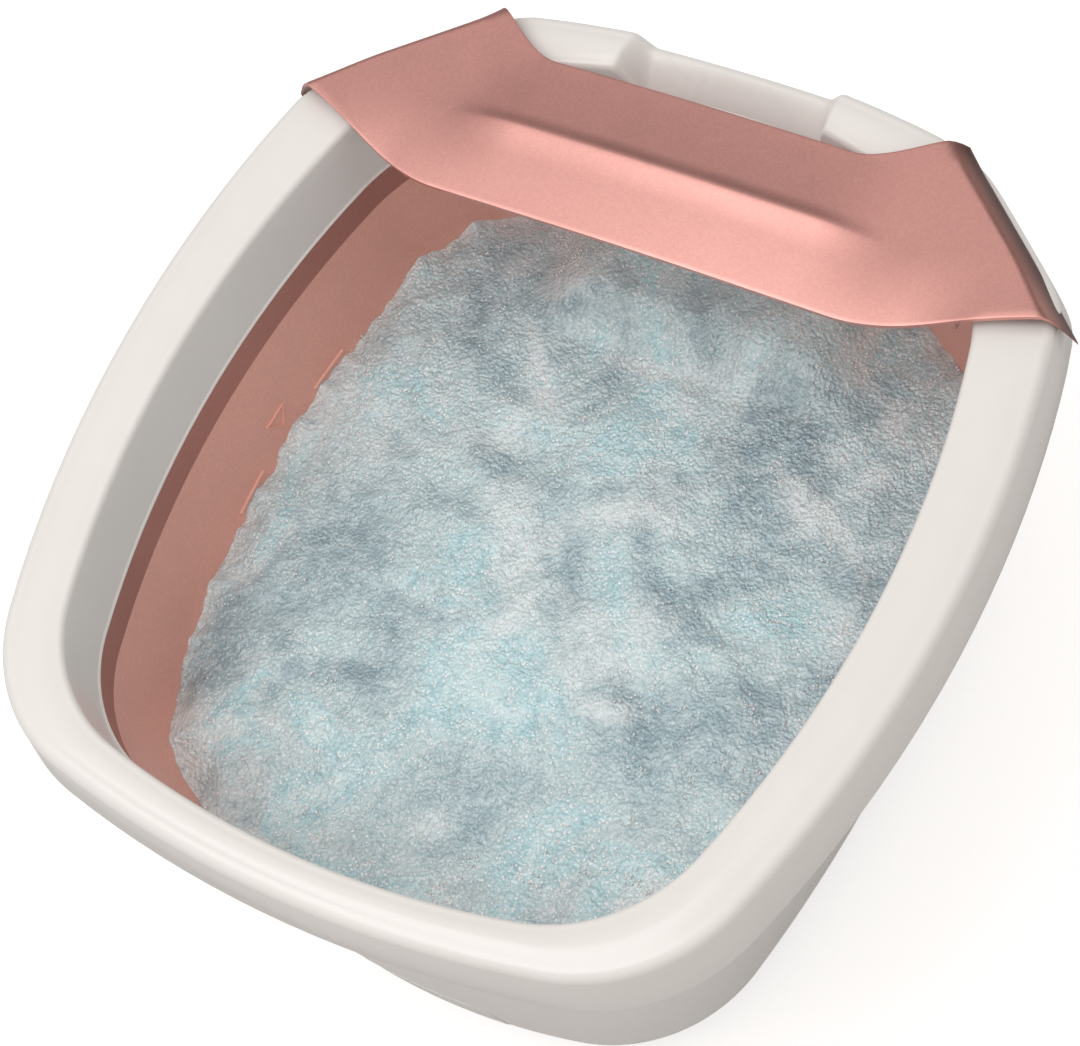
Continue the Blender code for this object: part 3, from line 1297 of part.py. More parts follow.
def hose_x():
    """The hose leaves the snail's outlet and enters the duct at this X."""
    return PUMP_X - SNAIL_RADIUS - SNAIL_GROWTH + SNAIL_DUCT_WIDTH / 2


def snail_with_duct(inset):
    """The spiral closed by the outlet duct, which points to the toe end."""
    spiral = []
    steps = 16
    for step in range(steps + 1):
        share = step / steps
        angle = math.radians(115 - 295 * share)
        radius = SNAIL_RADIUS + SNAIL_GROWTH * share - inset
        spiral.append((PUMP_X + radius * math.cos(angle), PUMP_Y + radius * math.sin(angle)))
    end_x = spiral[-1][0]
    far_y = duct_end_y() - inset
    return spiral + [(end_x, far_y), (end_x + SNAIL_DUCT_WIDTH - 2 * inset, far_y)]


def duct_end_y():
    """The Y of the snail's outlet face."""
    return PUMP_Y + SNAIL_RADIUS + SNAIL_DUCT_LENGTH


def make_air_pump(parent):
    """The air pump: snail housing, lid, bladed wheel and motor."""
    low = PAN_TOP_Z + GAP
    top = low + SNAIL_HEIGHT
    outer, inner = snail_with_duct(0), snail_with_duct(SNAIL_WALL)
    rows = polygon_rows(outer, low, top) + polygon_rows(inner, low + SNAIL_WALL, top)[::-1]
    snail = lofted("pump_housing", rows, DARK_GREY)
    intake = [circle(PUMP_X, PUMP_Y, SNAIL_INTAKE_RADIUS, SMALL_STEPS)]
    cut(snail, several("pump_intake", intake, low - OVERRUN, low + SNAIL_WALL + OVERRUN))
    bore = HOSE_RADIUS * HOSE_BORE_SHARE
    hole = [(0, 0), (bore, 0), (bore, SNAIL_WALL + OVERRUN), (0, SNAIL_WALL + OVERRUN)]
    place = (hose_x(), duct_end_y() - SNAIL_WALL - OVERRUN / 2, low + SNAIL_HEIGHT / 2)
    cut(snail, turned("pump_outlet", hole, place, None, axis=TOEWARDS, steps=PEG_STEPS))
    lid_low = top + GAP
    lid = prism("pump_lid", outer, lid_low, lid_low + PUMP_LID, DARK_GREY)
    shaft_hole = [circle(PUMP_X, PUMP_Y, 2 * PUMP_SHAFT_RADIUS, PEG_STEPS)]
    cut(lid, several("lid_shaft_hole", shaft_hole, lid_low - OVERRUN, lid_low + PUMP_LID + OVERRUN))
    make_pump_wheel(low, parent)
    make_pump_motor(lid_low + PUMP_LID + GAP, low)


def wheel_low(low):
    """The height of the pump wheel's underside."""
    return low + SNAIL_WALL + (SNAIL_HEIGHT - SNAIL_WALL - WHEEL_HEIGHT) / 2


def make_pump_wheel(low, parent):
    """The bladed wheel: swept blades round a hub, under a disc."""
    outline = []
    pitch = 360 / WHEEL_BLADES
    half_hub = math.degrees(BLADE_THICKNESS / WHEEL_HUB_RADIUS) / 2
    half_tip = math.degrees(BLADE_THICKNESS / WHEEL_RADIUS) / 2
    for blade in range(WHEEL_BLADES):
        start = pitch * blade
        for radius, degrees in (
            (WHEEL_HUB_RADIUS, start - half_hub), (WHEEL_RADIUS, start + WHEEL_SWEEP_DEG - half_tip),
            (WHEEL_RADIUS, start + WHEEL_SWEEP_DEG + half_tip), (WHEEL_HUB_RADIUS, start + half_hub),
        ):
            angle = math.radians(degrees)
            outline.append((PUMP_X + radius * math.cos(angle), PUMP_Y + radius * math.sin(angle)))
    bottom = wheel_low(low)
    wheel = prism("pump_wheel", outline, bottom, bottom + WHEEL_HEIGHT - WHEEL_DISC / 2, PALE_GREY, parent)
    disc = [circle(PUMP_X, PUMP_Y, WHEEL_RADIUS + BLADE_THICKNESS / 2, ROUND_STEPS)]
    unite(wheel, several("wheel_disc", disc, bottom + WHEEL_HEIGHT - WHEEL_DISC, bottom + WHEEL_HEIGHT))
    bore = [circle(PUMP_X, PUMP_Y, PUMP_SHAFT_RADIUS + GAP / 2, PEG_STEPS)]
    cut(wheel, several("wheel_bore", bore, bottom - OVERRUN, bottom + WHEEL_HEIGHT + OVERRUN))


def make_pump_motor(seat, low):
    """The pump's motor on the lid, with its shaft down through the wheel."""
    shaft_end = wheel_low(low) - GAP
    radius = PUMP_MOTOR_RADIUS
    top = seat + PUMP_MOTOR_HEIGHT
    profile = [
        (0, shaft_end), (PUMP_SHAFT_RADIUS, shaft_end), (PUMP_SHAFT_RADIUS, seat), (radius, seat),
        (radius, top - PUMP_SHAFT_RADIUS), (radius - PUMP_SHAFT_RADIUS, top), (0, top),
    ]
    turned("pump_motor", profile, (PUMP_X, PUMP_Y, 0), STEEL, steps=SMALL_STEPS)


def make_air_hose():
    """The short hose that turns from the pump's outlet up and back into the duct."""
    low_z = PAN_TOP_Z + GAP + SNAIL_HEIGHT / 2
    high_z = duct_port_z()
    bend = (high_z - low_z) / 2
    start_y = duct_end_y() + GAP
    end_y = DUCT_Y + DUCT_WIDTH / 2 + GAP
    turn_y = max(start_y, end_y) + HOSE_RADIUS
    points = [Vector((hose_x(), start_y, low_z))]
    for step in range(HALF_TURN_STEPS + 1):
        angle = math.pi * step / HALF_TURN_STEPS - math.pi / 2
        y = turn_y + bend * math.cos(angle)
        points.append(Vector((hose_x(), y, low_z + bend + bend * math.sin(angle))))
    points.append(Vector((hose_x(), end_y, high_z)))
    rows = {1: [], HOSE_BORE_SHARE: []}
    for index, point in enumerate(points):
        before = points[max(index - 1, 0)]
        after = points[min(index + 1, len(points) - 1)]
        along = (after - before).normalized()
        across = Vector((1, 0, 0))
        up = across.cross(along)
        for share, row in rows.items():
            radius = HOSE_RADIUS * share
            row.append([point + across * x + up * y for x, y in circle(0, 0, radius, HOSE_STEPS)])
    return lofted("air_hose", rows[1] + rows[HOSE_BORE_SHARE][::-1], PALE_GREY, closed=True)


def make_shaker(parent):
    """The shaker: motor, clamp and an offset weight on its shaft."""
    axis_z = PAN_TOP_Z + GAP + SHAKER_CLAMP_WALL + SHAKER_LIFT + SHAKER_RADIUS
    half = SHAKER_LENGTH / 2
    shaft = WEIGHT_LENGTH + 4 * SLIDE_GAP
    profile = [
        (0, -half - shaft), (SHAKER_SHAFT_RADIUS, -half - shaft), (SHAKER_SHAFT_RADIUS, -half),
        (SHAKER_RADIUS, -half), (SHAKER_RADIUS, half), (0, half),
    ]
    place = (SHAKER_X, SHAKER_Y, axis_z)
    turned("shaker_motor", profile, place, STEEL, axis=TOEWARDS, steps=SMALL_STEPS)
    make_shaker_clamp(axis_z)
    make_shaker_weight(axis_z, parent)


def make_shaker_clamp(axis_z):
    """The saddle that carries the shaker's motor on the pan."""
    inner = SHAKER_RADIUS + GAP
    outer = inner + SHAKER_CLAMP_WALL
    low = PAN_TOP_Z + GAP
    foot = outer + SHAKER_CLAMP_FOOT
    profile = [(foot, low), (foot, low + SHAKER_CLAMP_WALL), (outer, low + SHAKER_CLAMP_WALL)]
    for step in range(HALF_TURN_STEPS + 1):
        angle = math.pi * step / HALF_TURN_STEPS
        profile.append((outer * math.cos(angle), axis_z + outer * math.sin(angle)))
    profile += [(-outer, low + SHAKER_CLAMP_WALL), (-foot, low + SHAKER_CLAMP_WALL), (-foot, low)]
    half = SHAKER_CLAMP_LENGTH / 2
    rows = [[Vector((SHAKER_X + x, y, z)) for x, z in profile] for y in (SHAKER_Y - half, SHAKER_Y + half)]
    clamp = lofted("shaker_clamp", rows, PALE_GREY)
    reach = half + OVERRUN
    hole = [(0, -reach), (inner, -reach), (inner, reach), (0, reach)]
    place = (SHAKER_X, SHAKER_Y, axis_z)
    cut(clamp, turned("clamp_bore", hole, place, None, axis=TOEWARDS, steps=SMALL_STEPS))


def make_shaker_weight(axis_z, parent):
    """The offset weight, which hangs with its heavy side down."""
    profile = []
    for step in range(HALF_TURN_STEPS + 1):
        angle = math.pi + math.pi * step / HALF_TURN_STEPS
        profile.append((WEIGHT_RADIUS * math.cos(angle), axis_z + WEIGHT_RADIUS * math.sin(angle)))
    for step in range(1, 4):
        angle = math.pi * step / 4
        profile.append((WEIGHT_HUB_RADIUS * math.cos(angle), axis_z + WEIGHT_HUB_RADIUS * math.sin(angle)))
    back = SHAKER_Y - SHAKER_LENGTH / 2 - 2 * SLIDE_GAP
    rows = [[Vector((SHAKER_X + x, y, z)) for x, z in profile] for y in (back - WEIGHT_LENGTH, back)]
    weight = lofted("shaker_weight", rows, STEEL, parent=parent)
    radius = SHAKER_SHAFT_RADIUS + GAP / 2
    reach = WEIGHT_LENGTH / 2 + OVERRUN
    hole = [(0, -reach), (radius, -reach), (radius, reach), (0, reach)]
    place = (SHAKER_X, back - WEIGHT_LENGTH / 2, axis_z)
    cut(weight, turned("weight_bore", hole, place, None, axis=TOEWARDS, steps=PEG_STEPS))


def shaker_axis():
    """A point on the shaker weight's axis."""
    return Vector((SHAKER_X, SHAKER_Y, PAN_TOP_Z + GAP + SHAKER_CLAMP_WALL + SHAKER_LIFT + SHAKER_RADIUS))


def make_control_board():
    """The control board on its posts, with a relay, a connector and a capacitor."""
    low = PAN_TOP_Z + BOARD_POST_HEIGHT + GAP
    top = low + BOARD_THICKNESS
    outline = rectangle(BOARD_X, BOARD_Y, BOARD_WIDTH, BOARD_LENGTH)
    board = prism("control_board", outline, low, top, BOARD_GREEN)
    seat = top - BOARD_THICKNESS / 2
    relay = [rectangle(BOARD_X - BOARD_WIDTH / 5, BOARD_Y, RELAY_SIZE, RELAY_SIZE * 1.4)]
    unite(board, several("board_relay", relay, seat, top + RELAY_SIZE))
    plug = [rectangle(BOARD_X, BOARD_Y - BOARD_LENGTH / 3, RELAY_SIZE * 1.6, RELAY_SIZE / 2)]
    unite(board, several("board_connector", plug, seat, top + RELAY_SIZE / 2))
    can = [circle(BOARD_X + BOARD_WIDTH / 4, BOARD_Y + BOARD_LENGTH / 6, CAPACITOR_RADIUS, SMALL_STEPS)]
    unite(board, several("board_capacitor", can, seat, top + CAPACITOR_HEIGHT))


def make_heater():
    """The heater plate against the floor's underside and the thermostat below it."""
    top = FLOOR_UNDER_Z - GAP
    low = top - HEATER_THICKNESS
    outline = round_rectangle(0, HEATER_Y, HEATER_WIDTH, HEATER_LENGTH, HEATER_LENGTH / 6)
    prism("heater_plate", outline, low, top, ALUMINIUM)
    seat = low - GAP
    base = seat - THERMOSTAT_HEIGHT
    profile = [
        (0, base), (THERMOSTAT_RADIUS * 0.7, base), (THERMOSTAT_RADIUS, seat - THERMOSTAT_HEIGHT / 2),
        (THERMOSTAT_RADIUS, seat), (0, seat),
    ]
    turned("thermostat", profile, (0, HEATER_Y, 0), DARK_GREY, steps=SMALL_STEPS)


def make_pedicure_post(parent):
    """The post between the feet and the pumice head that lifts off it."""
    low = FLOOR_Z + GAP
    shoulder = low + POST_HEIGHT
    place = (0, POST_Y, 0)
    post = [
        (0, low), (POST_FLANGE_RADIUS, low), (POST_FLANGE_RADIUS, low + POST_FLANGE / 2),
        (POST_FLANGE_RADIUS - POST_FLANGE, low + POST_FLANGE), (POST_RADIUS, low + 2 * POST_FLANGE),
        (POST_RADIUS, shoulder), (PEG_RADIUS, shoulder), (PEG_RADIUS, shoulder + PEG_HEIGHT),
        (0, shoulder + PEG_HEIGHT),
    ]
    turned("pedicure_post", post, place, WARM_WHITE)
    seat = shoulder + GAP
    socket = PEG_RADIUS + GAP
    top = seat + PUMICE_HEIGHT
    head = [
        (0, seat + PEG_HEIGHT + GAP), (socket, seat + PEG_HEIGHT + GAP), (socket, seat),
        (PUMICE_RADIUS - PUMICE_ROUND, seat), (PUMICE_RADIUS, seat + PUMICE_ROUND),
        (PUMICE_RADIUS, top - PUMICE_ROUND), (PUMICE_RADIUS - PUMICE_ROUND, top), (0, top),
    ]
    turned("pumice_head", head, place, PUMICE, parent=parent)


def button_y():
    """The button stands in the middle of the toe shelf."""
    wall = MOUTH.parallel(liner_offset(SHELF_Z)).end_y(0, 1)
    return wall - SHELF_DEPTH / 2


def button_sizes():
    """Heights of the button's top, flange, and the bracket plate below its spring."""
    top = SHELF_Z + BUTTON_PROUD
    flange_top = SHELF_Z - SHELF_DRAIN - LINER_WALL - 2 * GAP
    flange_low = flange_top - BUTTON_FLANGE_HEIGHT
    plate_top = flange_low - SPRING_ROOM
    return top, flange_top, flange_low, plate_top


def make_button(parent):
    """The toe button with its flange and stem."""
    top, flange_top, flange_low, plate_top = button_sizes()
    wide = BUTTON_RADIUS + BUTTON_FLANGE
    stem_end = plate_top + BUTTON_TRAVEL / 2
    profile = [
        (0, stem_end), (BUTTON_STEM_RADIUS, stem_end), (BUTTON_STEM_RADIUS, flange_low),
        (wide, flange_low), (wide, flange_top), (BUTTON_RADIUS, flange_top),
        (BUTTON_RADIUS, top - BUTTON_DOME),
        (BUTTON_RADIUS * 0.75, top - BUTTON_DOME * 0.4), (0, top),
    ]
    turned("toe_button", profile, (0, button_y(), 0), SOFT_PINK, parent=parent)
    seal_in = BUTTON_RADIUS + GAP
    base = SHELF_Z + GAP
    seal = [
        (seal_in, base), (seal_in + SEAL_WIDTH, base), (seal_in + SEAL_WIDTH, base + SEAL_HEIGHT / 2),
        (seal_in + SEAL_WIDTH / 2, base + SEAL_HEIGHT), (seal_in, base + SEAL_HEIGHT),
    ]
    turned("button_seal", seal, (0, button_y(), 0), RUBBER)


def make_button_works():
    """The bracket under the toe shelf, with the button's spring on it and the switch below."""
    _top, _flange_top, flange_low, plate_top = button_sizes()
    hang = SHELF_Z - SHELF_DRAIN - LINER_WALL - 2 * GAP
    thick = BRACKET_THICKNESS
    half = BRACKET_HALF_WIDTH
    profile = [
        (-half, hang), (-half, plate_top - thick), (half, plate_top - thick), (half, hang),
        (half - thick, hang), (half - thick, plate_top), (thick - half, plate_top), (thick - half, hang),
    ]
    places = (button_y() - BRACKET_DEPTH / 2, button_y() + BRACKET_DEPTH / 2)
    rows = [[Vector((x, y, z)) for x, z in profile] for y in places]
    bracket = lofted("switch_bracket", rows, STEEL)
    hole = [circle(0, button_y(), BUTTON_STEM_RADIUS + SLIDE_GAP, PEG_STEPS)]
    cut(bracket, several("bracket_hole", hole, plate_top - thick - OVERRUN, plate_top + OVERRUN))
    switch_top = plate_top - thick - GAP
    outline = rectangle(0, button_y(), SWITCH_LENGTH, SWITCH_WIDTH)
    prism("micro_switch", outline, switch_top - SWITCH_HEIGHT, switch_top, DARK_GREY)
    make_button_spring(plate_top + GAP, flange_low - GAP)


def make_button_spring(low, high):
    """The coil between the bracket and the button's flange."""
    curve = bpy.data.curves.new("button_spring", "CURVE")
    curve.dimensions = "3D"
    curve.bevel_depth = SPRING_WIRE
    curve.bevel_resolution = 1
    curve.use_fill_caps = True
    spline = curve.splines.new("POLY")
    count = SPRING_TURNS * SPRING_STEPS
    spline.points.add(count)
    start, rise = low + SPRING_WIRE, high - low - 2 * SPRING_WIRE
    for index in range(count + 1):
        angle = 2 * math.pi * index / SPRING_STEPS
        x, y = SPRING_RADIUS * math.cos(angle), SPRING_RADIUS * math.sin(angle)
        spline.points[index].co = (x, button_y() + y, start + rise * index / count, 1)
    spring = bpy.data.objects.new("button_spring", curve)
    bpy.context.scene.collection.objects.link(spring)
    curve.materials.append(make_material("button_spring", STEEL))


def make_cord_gland():
    """The bush in the toe wall that a mains cord passes through."""
    inside = -SHELL_WALL - GLAND_SEAT
    outside = GLAND_SEAT
    wide = GLAND_RADIUS + GLAND_FLANGE
    profile = [
        (GLAND_BORE_RADIUS, inside - GLAND_FLANGE_THICKNESS), (wide, inside - GLAND_FLANGE_THICKNESS),
        (wide, inside), (GLAND_RADIUS, inside), (GLAND_RADIUS, outside), (wide, outside),
        (wide, outside + GLAND_FLANGE_THICKNESS), (GLAND_RADIUS, outside + GLAND_PROUD),
        (GLAND_BORE_RADIUS, outside + GLAND_PROUD),
    ]
    turned("cord_gland", profile, gland_place(), RUBBER, axis=gland_axis(), steps=SMALL_STEPS)


def build():
    """Clears the scene and builds every piece."""
    for old in list(bpy.data.objects):
        bpy.data.objects.remove(old)
    make_rim_cover()
    make_tub_liner()
    make_outer_shell()
    make_gasket()
    make_base_pan()
    make_feet()
    make_screws()
    guard_pivot = make_pivot("guard_axis", (0, GUARD_RIDGE_Y, RIM_TOP_Z))
    make_splash_guard(guard_pivot)
    drawer_pivot = make_pivot("drawer_axis", (0, -BASE_HALF_LENGTH, DRAWER_BOTTOM_Z))
    make_drawer(drawer_pivot)
    make_stored_heads(drawer_pivot)
    make_runners()
    for side, word in ((-1, "left"), (1, "right")):
        make_massage_plate(f"{word}_massage_plate", side)
        roller_pivot = make_pivot(f"{word}_roller_axis", (side * ROLLER_X, ROLLER_Y, ROLLER_Z))
        make_roller(side, word, roller_pivot)
        make_bubble_strip(side, word)
    pumice_pivot = make_pivot("pumice_axis", (0, POST_Y, FLOOR_Z))
    make_pedicure_post(pumice_pivot)
    button_pivot = make_pivot("button_axis", (0, button_y(), SHELF_Z))
    make_button(button_pivot)
    make_button_works()
    make_heater()
    make_air_duct()
    wheel_pivot = make_pivot("wheel_axis", (PUMP_X, PUMP_Y, PAN_TOP_Z))
    make_air_pump(wheel_pivot)
    make_air_hose()
    make_shaker(make_pivot("weight_axis", shaker_axis()))
    make_control_board()
    make_cord_gland()


build()
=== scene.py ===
"""Looks of the foot spa bath: smooth mouldings, finishes, water, studio and camera.

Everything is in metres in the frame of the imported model: +Z is up, the heel end is at -Y and the toe
end, with the splash guard and the pouring notch, is at +Y.
"""
import bisect
import json
import logging
import math
from collections.abc import Iterable, Sequence
from dataclasses import dataclass, field, replace
from enum import Enum
from functools import cached_property

import bmesh
import bpy
from mathutils import Matrix, Vector, noise


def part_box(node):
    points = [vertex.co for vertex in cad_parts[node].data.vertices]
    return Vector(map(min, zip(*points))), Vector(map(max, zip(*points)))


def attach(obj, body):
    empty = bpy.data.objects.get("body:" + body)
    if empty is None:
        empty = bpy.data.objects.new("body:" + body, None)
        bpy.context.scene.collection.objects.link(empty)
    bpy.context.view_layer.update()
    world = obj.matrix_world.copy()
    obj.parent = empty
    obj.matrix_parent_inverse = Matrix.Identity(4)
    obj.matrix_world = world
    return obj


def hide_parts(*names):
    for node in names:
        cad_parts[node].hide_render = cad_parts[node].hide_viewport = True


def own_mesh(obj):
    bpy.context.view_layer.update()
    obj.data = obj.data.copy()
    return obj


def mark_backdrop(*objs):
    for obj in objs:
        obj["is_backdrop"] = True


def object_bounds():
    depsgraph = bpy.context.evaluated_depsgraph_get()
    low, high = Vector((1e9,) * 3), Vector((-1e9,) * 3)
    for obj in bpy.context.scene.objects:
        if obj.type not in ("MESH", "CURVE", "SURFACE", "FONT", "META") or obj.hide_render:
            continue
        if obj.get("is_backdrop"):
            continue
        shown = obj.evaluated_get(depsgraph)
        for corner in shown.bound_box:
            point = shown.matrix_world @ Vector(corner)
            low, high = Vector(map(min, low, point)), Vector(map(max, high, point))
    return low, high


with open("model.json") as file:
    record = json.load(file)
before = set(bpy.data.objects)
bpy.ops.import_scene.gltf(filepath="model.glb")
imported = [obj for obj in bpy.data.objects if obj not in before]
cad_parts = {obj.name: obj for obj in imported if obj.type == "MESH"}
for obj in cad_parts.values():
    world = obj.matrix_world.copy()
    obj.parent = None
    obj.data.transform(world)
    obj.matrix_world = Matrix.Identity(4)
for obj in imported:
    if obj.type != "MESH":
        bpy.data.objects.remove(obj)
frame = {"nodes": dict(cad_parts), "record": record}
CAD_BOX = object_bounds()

LOG = logging.getLogger("foot_spa_bath")

Pair = tuple[float, float]
Triple = tuple[float, float, float]
Colour = Triple
Rgba = tuple[float, float, float, float]
Row = list[Vector]
Profile = list[Pair]
Tree = bpy.types.NodeTree
Node = bpy.types.Node
Socket = bpy.types.NodeSocket
Shape = bmesh.types.BMesh
Piece = bpy.types.Object

UP = Vector((0, 0, 1))
SIDEWARDS = Vector((1, 0, 0))
SHARP_ANGLE = math.radians(35)
FLAT_ANGLE = math.radians(0.6)
SLIGHT_BEND = 0.01
MERGE = 0.00002
SEAM_MERGE = 0.00001
FINE_SOFTNESS = 0.0004


class Slot(Enum):
    """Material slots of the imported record."""

    WHITE = "white_plastic"
    GOLD = "rose_gold_plastic"
    GREY = "grey_plastic"
    DARK = "dark_plastic"
    RUBBER = "rubber"
    PINK = "soft_pink_plastic"
    STEEL = "steel"
    ALUMINIUM = "aluminium_plate"
    PUMICE = "pumice"
    BOARD = "board"


class End(Enum):
    """The two ends of the bath along Y."""

    HEEL = -1
    TOE = 1


class Caps(Enum):
    """How a loft between rows of points is closed."""

    LOOP = "last row joins the first"
    ENDS = "a face on the first and the last row"


# Node trees


class NodeBench:
    """Adds nodes to one tree and joins them."""

    def __init__(self, tree: Tree) -> None:
        """Keeps the tree.

        Args:
            tree: The shader or geometry tree to work on.
        """
        self.tree = tree

    def add(self, kind: str, values: dict[str | int, object] | None = None,
            **settings: object) -> Node:
        """Adds one node.

        Args:
            kind: The node's type name in Blender.
            values: Input socket name or index to its value, or to an output socket to join it to.
            settings: Properties of the node itself.

        Returns:
            The new node.
        """
        node = self.tree.nodes.new(kind)
        for name, value in settings.items():
            setattr(node, name, value)
        for socket, value in (values or {}).items():
            if isinstance(value, Socket):
                self.link(value, node.inputs[socket])
            else:
                node.inputs[socket].default_value = value
        return node

    def maths(self, operation: str, first: object, second: object, clamp: bool = False) -> Socket:
        """Adds a maths node and returns its output."""
        node = self.add("ShaderNodeMath", {0: first, 1: second}, operation=operation, use_clamp=clamp)
        return node.outputs[0]

    def times(self, first: object, second: object, clamp: bool = False) -> Socket:
        """Multiplies two values."""
        return self.maths("MULTIPLY", first, second, clamp)

    def plus(self, first: object, second: object, clamp: bool = False) -> Socket:
        """Adds two values."""
        return self.maths("ADD", first, second, clamp)

    def link(self, value: Socket, target: Socket) -> None:
        """Joins an output to an input."""
        self.tree.links.new(value, target)

    def give(self, value: Socket) -> Tree:
        """Puts a value out of the group and returns the group's tree."""
        self.add("NodeGroupOutput", {"Value": value})
        return self.tree

    def place(self) -> Socket:
        """The object coordinates, which stay with the piece."""
        return self.add("ShaderNodeTexCoord").outputs["Object"]

    def attribute(self, name: str) -> Socket:
        """The value that the mesh holds under a name."""
        return self.add("ShaderNodeAttribute", attribute_name=name).outputs["Fac"]

    def noise(self, place: Socket, scale: object, detail: float = 2.0, rough: float = 0.5,
              warp: float = 0.0) -> Socket:
        """A noise texture's value at a place.

        Args:
            place: Where the noise is read.
            scale: How fine it is.
            detail: Its layers.
            rough: The share of its finer layers.
            warp: How far it is drawn out of shape.

        Returns:
            Values round one half.
        """
        values = {"Vector": place, "Scale": scale, "Detail": detail, "Roughness": rough, "Distortion": warp}
        return self.add("ShaderNodeTexNoise", values).outputs["Fac"]

    def cells(self, place: Socket, scale: object) -> bpy.types.NodeOutputs:
        """A cell texture's outputs at a place."""
        return self.add("ShaderNodeTexVoronoi", {"Vector": place, "Scale": scale}).outputs

    def spread(self, value: Socket, low: float, high: float, start: float = 0.0,
               finish: float = 1.0) -> Socket:
        """Maps a value from low..high to start..finish, clamped."""
        values = {"Value": value, "From Min": low, "From Max": high, "To Min": start, "To Max": finish}
        return self.add("ShaderNodeMapRange", values).outputs["Result"]

    def bump(self, height: Socket, strength: float, distance: float) -> Socket:
        """The normals of a bumped surface."""
        values = {"Height": height, "Strength": strength, "Distance": distance}
        return self.add("ShaderNodeBump", values).outputs["Normal"]

    def blend(self, factor: object, first: object, second: object, mode: str = "MIX") -> Socket:
        """Mixes two colours and returns the result.

        Args:
            factor: The second colour's share.
            first: The first colour.
            second: The second colour.
            mode: Blender's name for the way of mixing.

        Returns:
            The mixed colour.
        """
        values = {0: factor, 6: first, 7: second}
        return self.add("ShaderNodeMix", values, data_type="RGBA", blend_type=mode).outputs[2]


def rgba(colour: Colour) -> Rgba:
    """A colour with full alpha."""
    return (*colour, 1.0)


def new_group(name: str, **inputs: float) -> tuple[NodeBench, bpy.types.NodeOutputs]:
    """Starts a shader group with float inputs and one float output.

    Args:
        name: The group's name.
        inputs: Defaults of the inputs, by name.

    Returns:
        The bench to build on and the values that the group is given.
    """
    tree = bpy.data.node_groups.new(name, "ShaderNodeTree")
    for label, value in inputs.items():
        socket = tree.interface.new_socket(label, in_out="INPUT", socket_type="NodeSocketFloat")
        socket.default_value = value
    tree.interface.new_socket("Value", in_out="OUTPUT", socket_type="NodeSocketFloat")
    bench = NodeBench(tree)
    return bench, bench.add("NodeGroupInput").outputs


class Effects:
    """The shared shader groups, each built once when a finish first asks for it."""

    _groups: dict[str, Tree] = {}

    @classmethod
    def get(cls, name: str) -> Tree:
        """The shader group of that name.

        Args:
            name: The effect's name.

        Returns:
            Its tree.
        """
        if name not in cls._groups:
            cls._groups[name] = getattr(cls, f"_build_{name}")()
        return cls._groups[name]

    @staticmethod
    def _build_mottle() -> Tree:
        """Slow and fast variation of a moulded surface as one mask.

        Returns:
            The group.
        """
        bench, given = new_group("mottle", Scale=8.0, Contrast=0.5)
        place = bench.place()
        finer, fast_share = 9.0, 0.35
        slow = bench.noise(place, given["Scale"], detail=3.0)
        fast = bench.noise(place, bench.times(given["Scale"], finer))
        both = bench.plus(slow, bench.times(fast, fast_share))
        centred = bench.maths("SUBTRACT", both, (1 + fast_share) / 2)
        raised = bench.times(centred, bench.times(given["Contrast"], 4.0))
        return bench.give(bench.plus(raised, 0.5, clamp=True))

    @staticmethod
    def _build_grain() -> Tree:
        """Fine moulded texture: soft cells over a light ripple.

        Returns:
            The group.
        """
        bench, given = new_group("grain", Scale=900.0, Ripple=60.0)
        place = bench.place()
        cell_share = 0.25
        cells = bench.times(bench.cells(place, given["Scale"])["Distance"], cell_share)
        return bench.give(bench.plus(cells, bench.noise(place, given["Ripple"])))

    @staticmethod
    def _build_flake() -> Tree:
        """Metal flakes in a lacquer: cells that differ in lightness.

        Returns:
            The group.
        """
        bench, given = new_group("flake", Scale=1800.0)
        cells = bench.cells(bench.place(), given["Scale"])["Color"]
        return bench.give(bench.add("ShaderNodeSeparateColor", {"Color": cells}).outputs[0])

    @staticmethod
    def _build_edge_wear_and_highlight() -> Tree:
        """Rubbed edges that are also painted edge highlights: the piece's own edge mask broken up by noise.

        Returns:
            The group.
        """
        bench, given = new_group("edge_wear_and_highlight", Amount=0.5, Scale=140.0)
        breaks = bench.noise(bench.place(), given["Scale"], detail=4.0)
        rubbed_and_lit = bench.times(bench.attribute("edge"), bench.spread(breaks, 0.35, 0.65, 0.4, 1.0))
        return bench.give(bench.times(rubbed_and_lit, given["Amount"], clamp=True))

    @staticmethod
    def _build_dust() -> Tree:
        """Faint dust and water marks in patches.

        Returns:
            The group.
        """
        bench, given = new_group("dust", Amount=0.3, Scale=25.0)
        place = bench.place()
        drop_scale, drop_share = 420.0, 0.5
        area = bench.spread(bench.noise(place, given["Scale"], detail=6.0), 0.5, 0.7)
        drops = bench.spread(bench.cells(place, drop_scale)["Distance"], 0.05, 0.12, 1.0, 0.0)
        both = bench.plus(area, bench.times(drops, drop_share))
        return bench.give(bench.times(both, given["Amount"], clamp=True))

    @staticmethod
    def _build_brushed() -> Tree:
        """Fine lines along one direction, for drawn and turned metal.

        Returns:
            The group.
        """
        bench, given = new_group("brushed", Scale=300.0, Stretch=0.03)
        place = bench.place()
        squeeze = bench.add("ShaderNodeCombineXYZ", {0: 1.0, 1: 1.0, 2: given["Stretch"]})
        long = bench.add("ShaderNodeVectorMath", {0: place, 1: squeeze.outputs[0]}, operation="MULTIPLY")
        return bench.give(bench.noise(long.outputs[0], given["Scale"]))


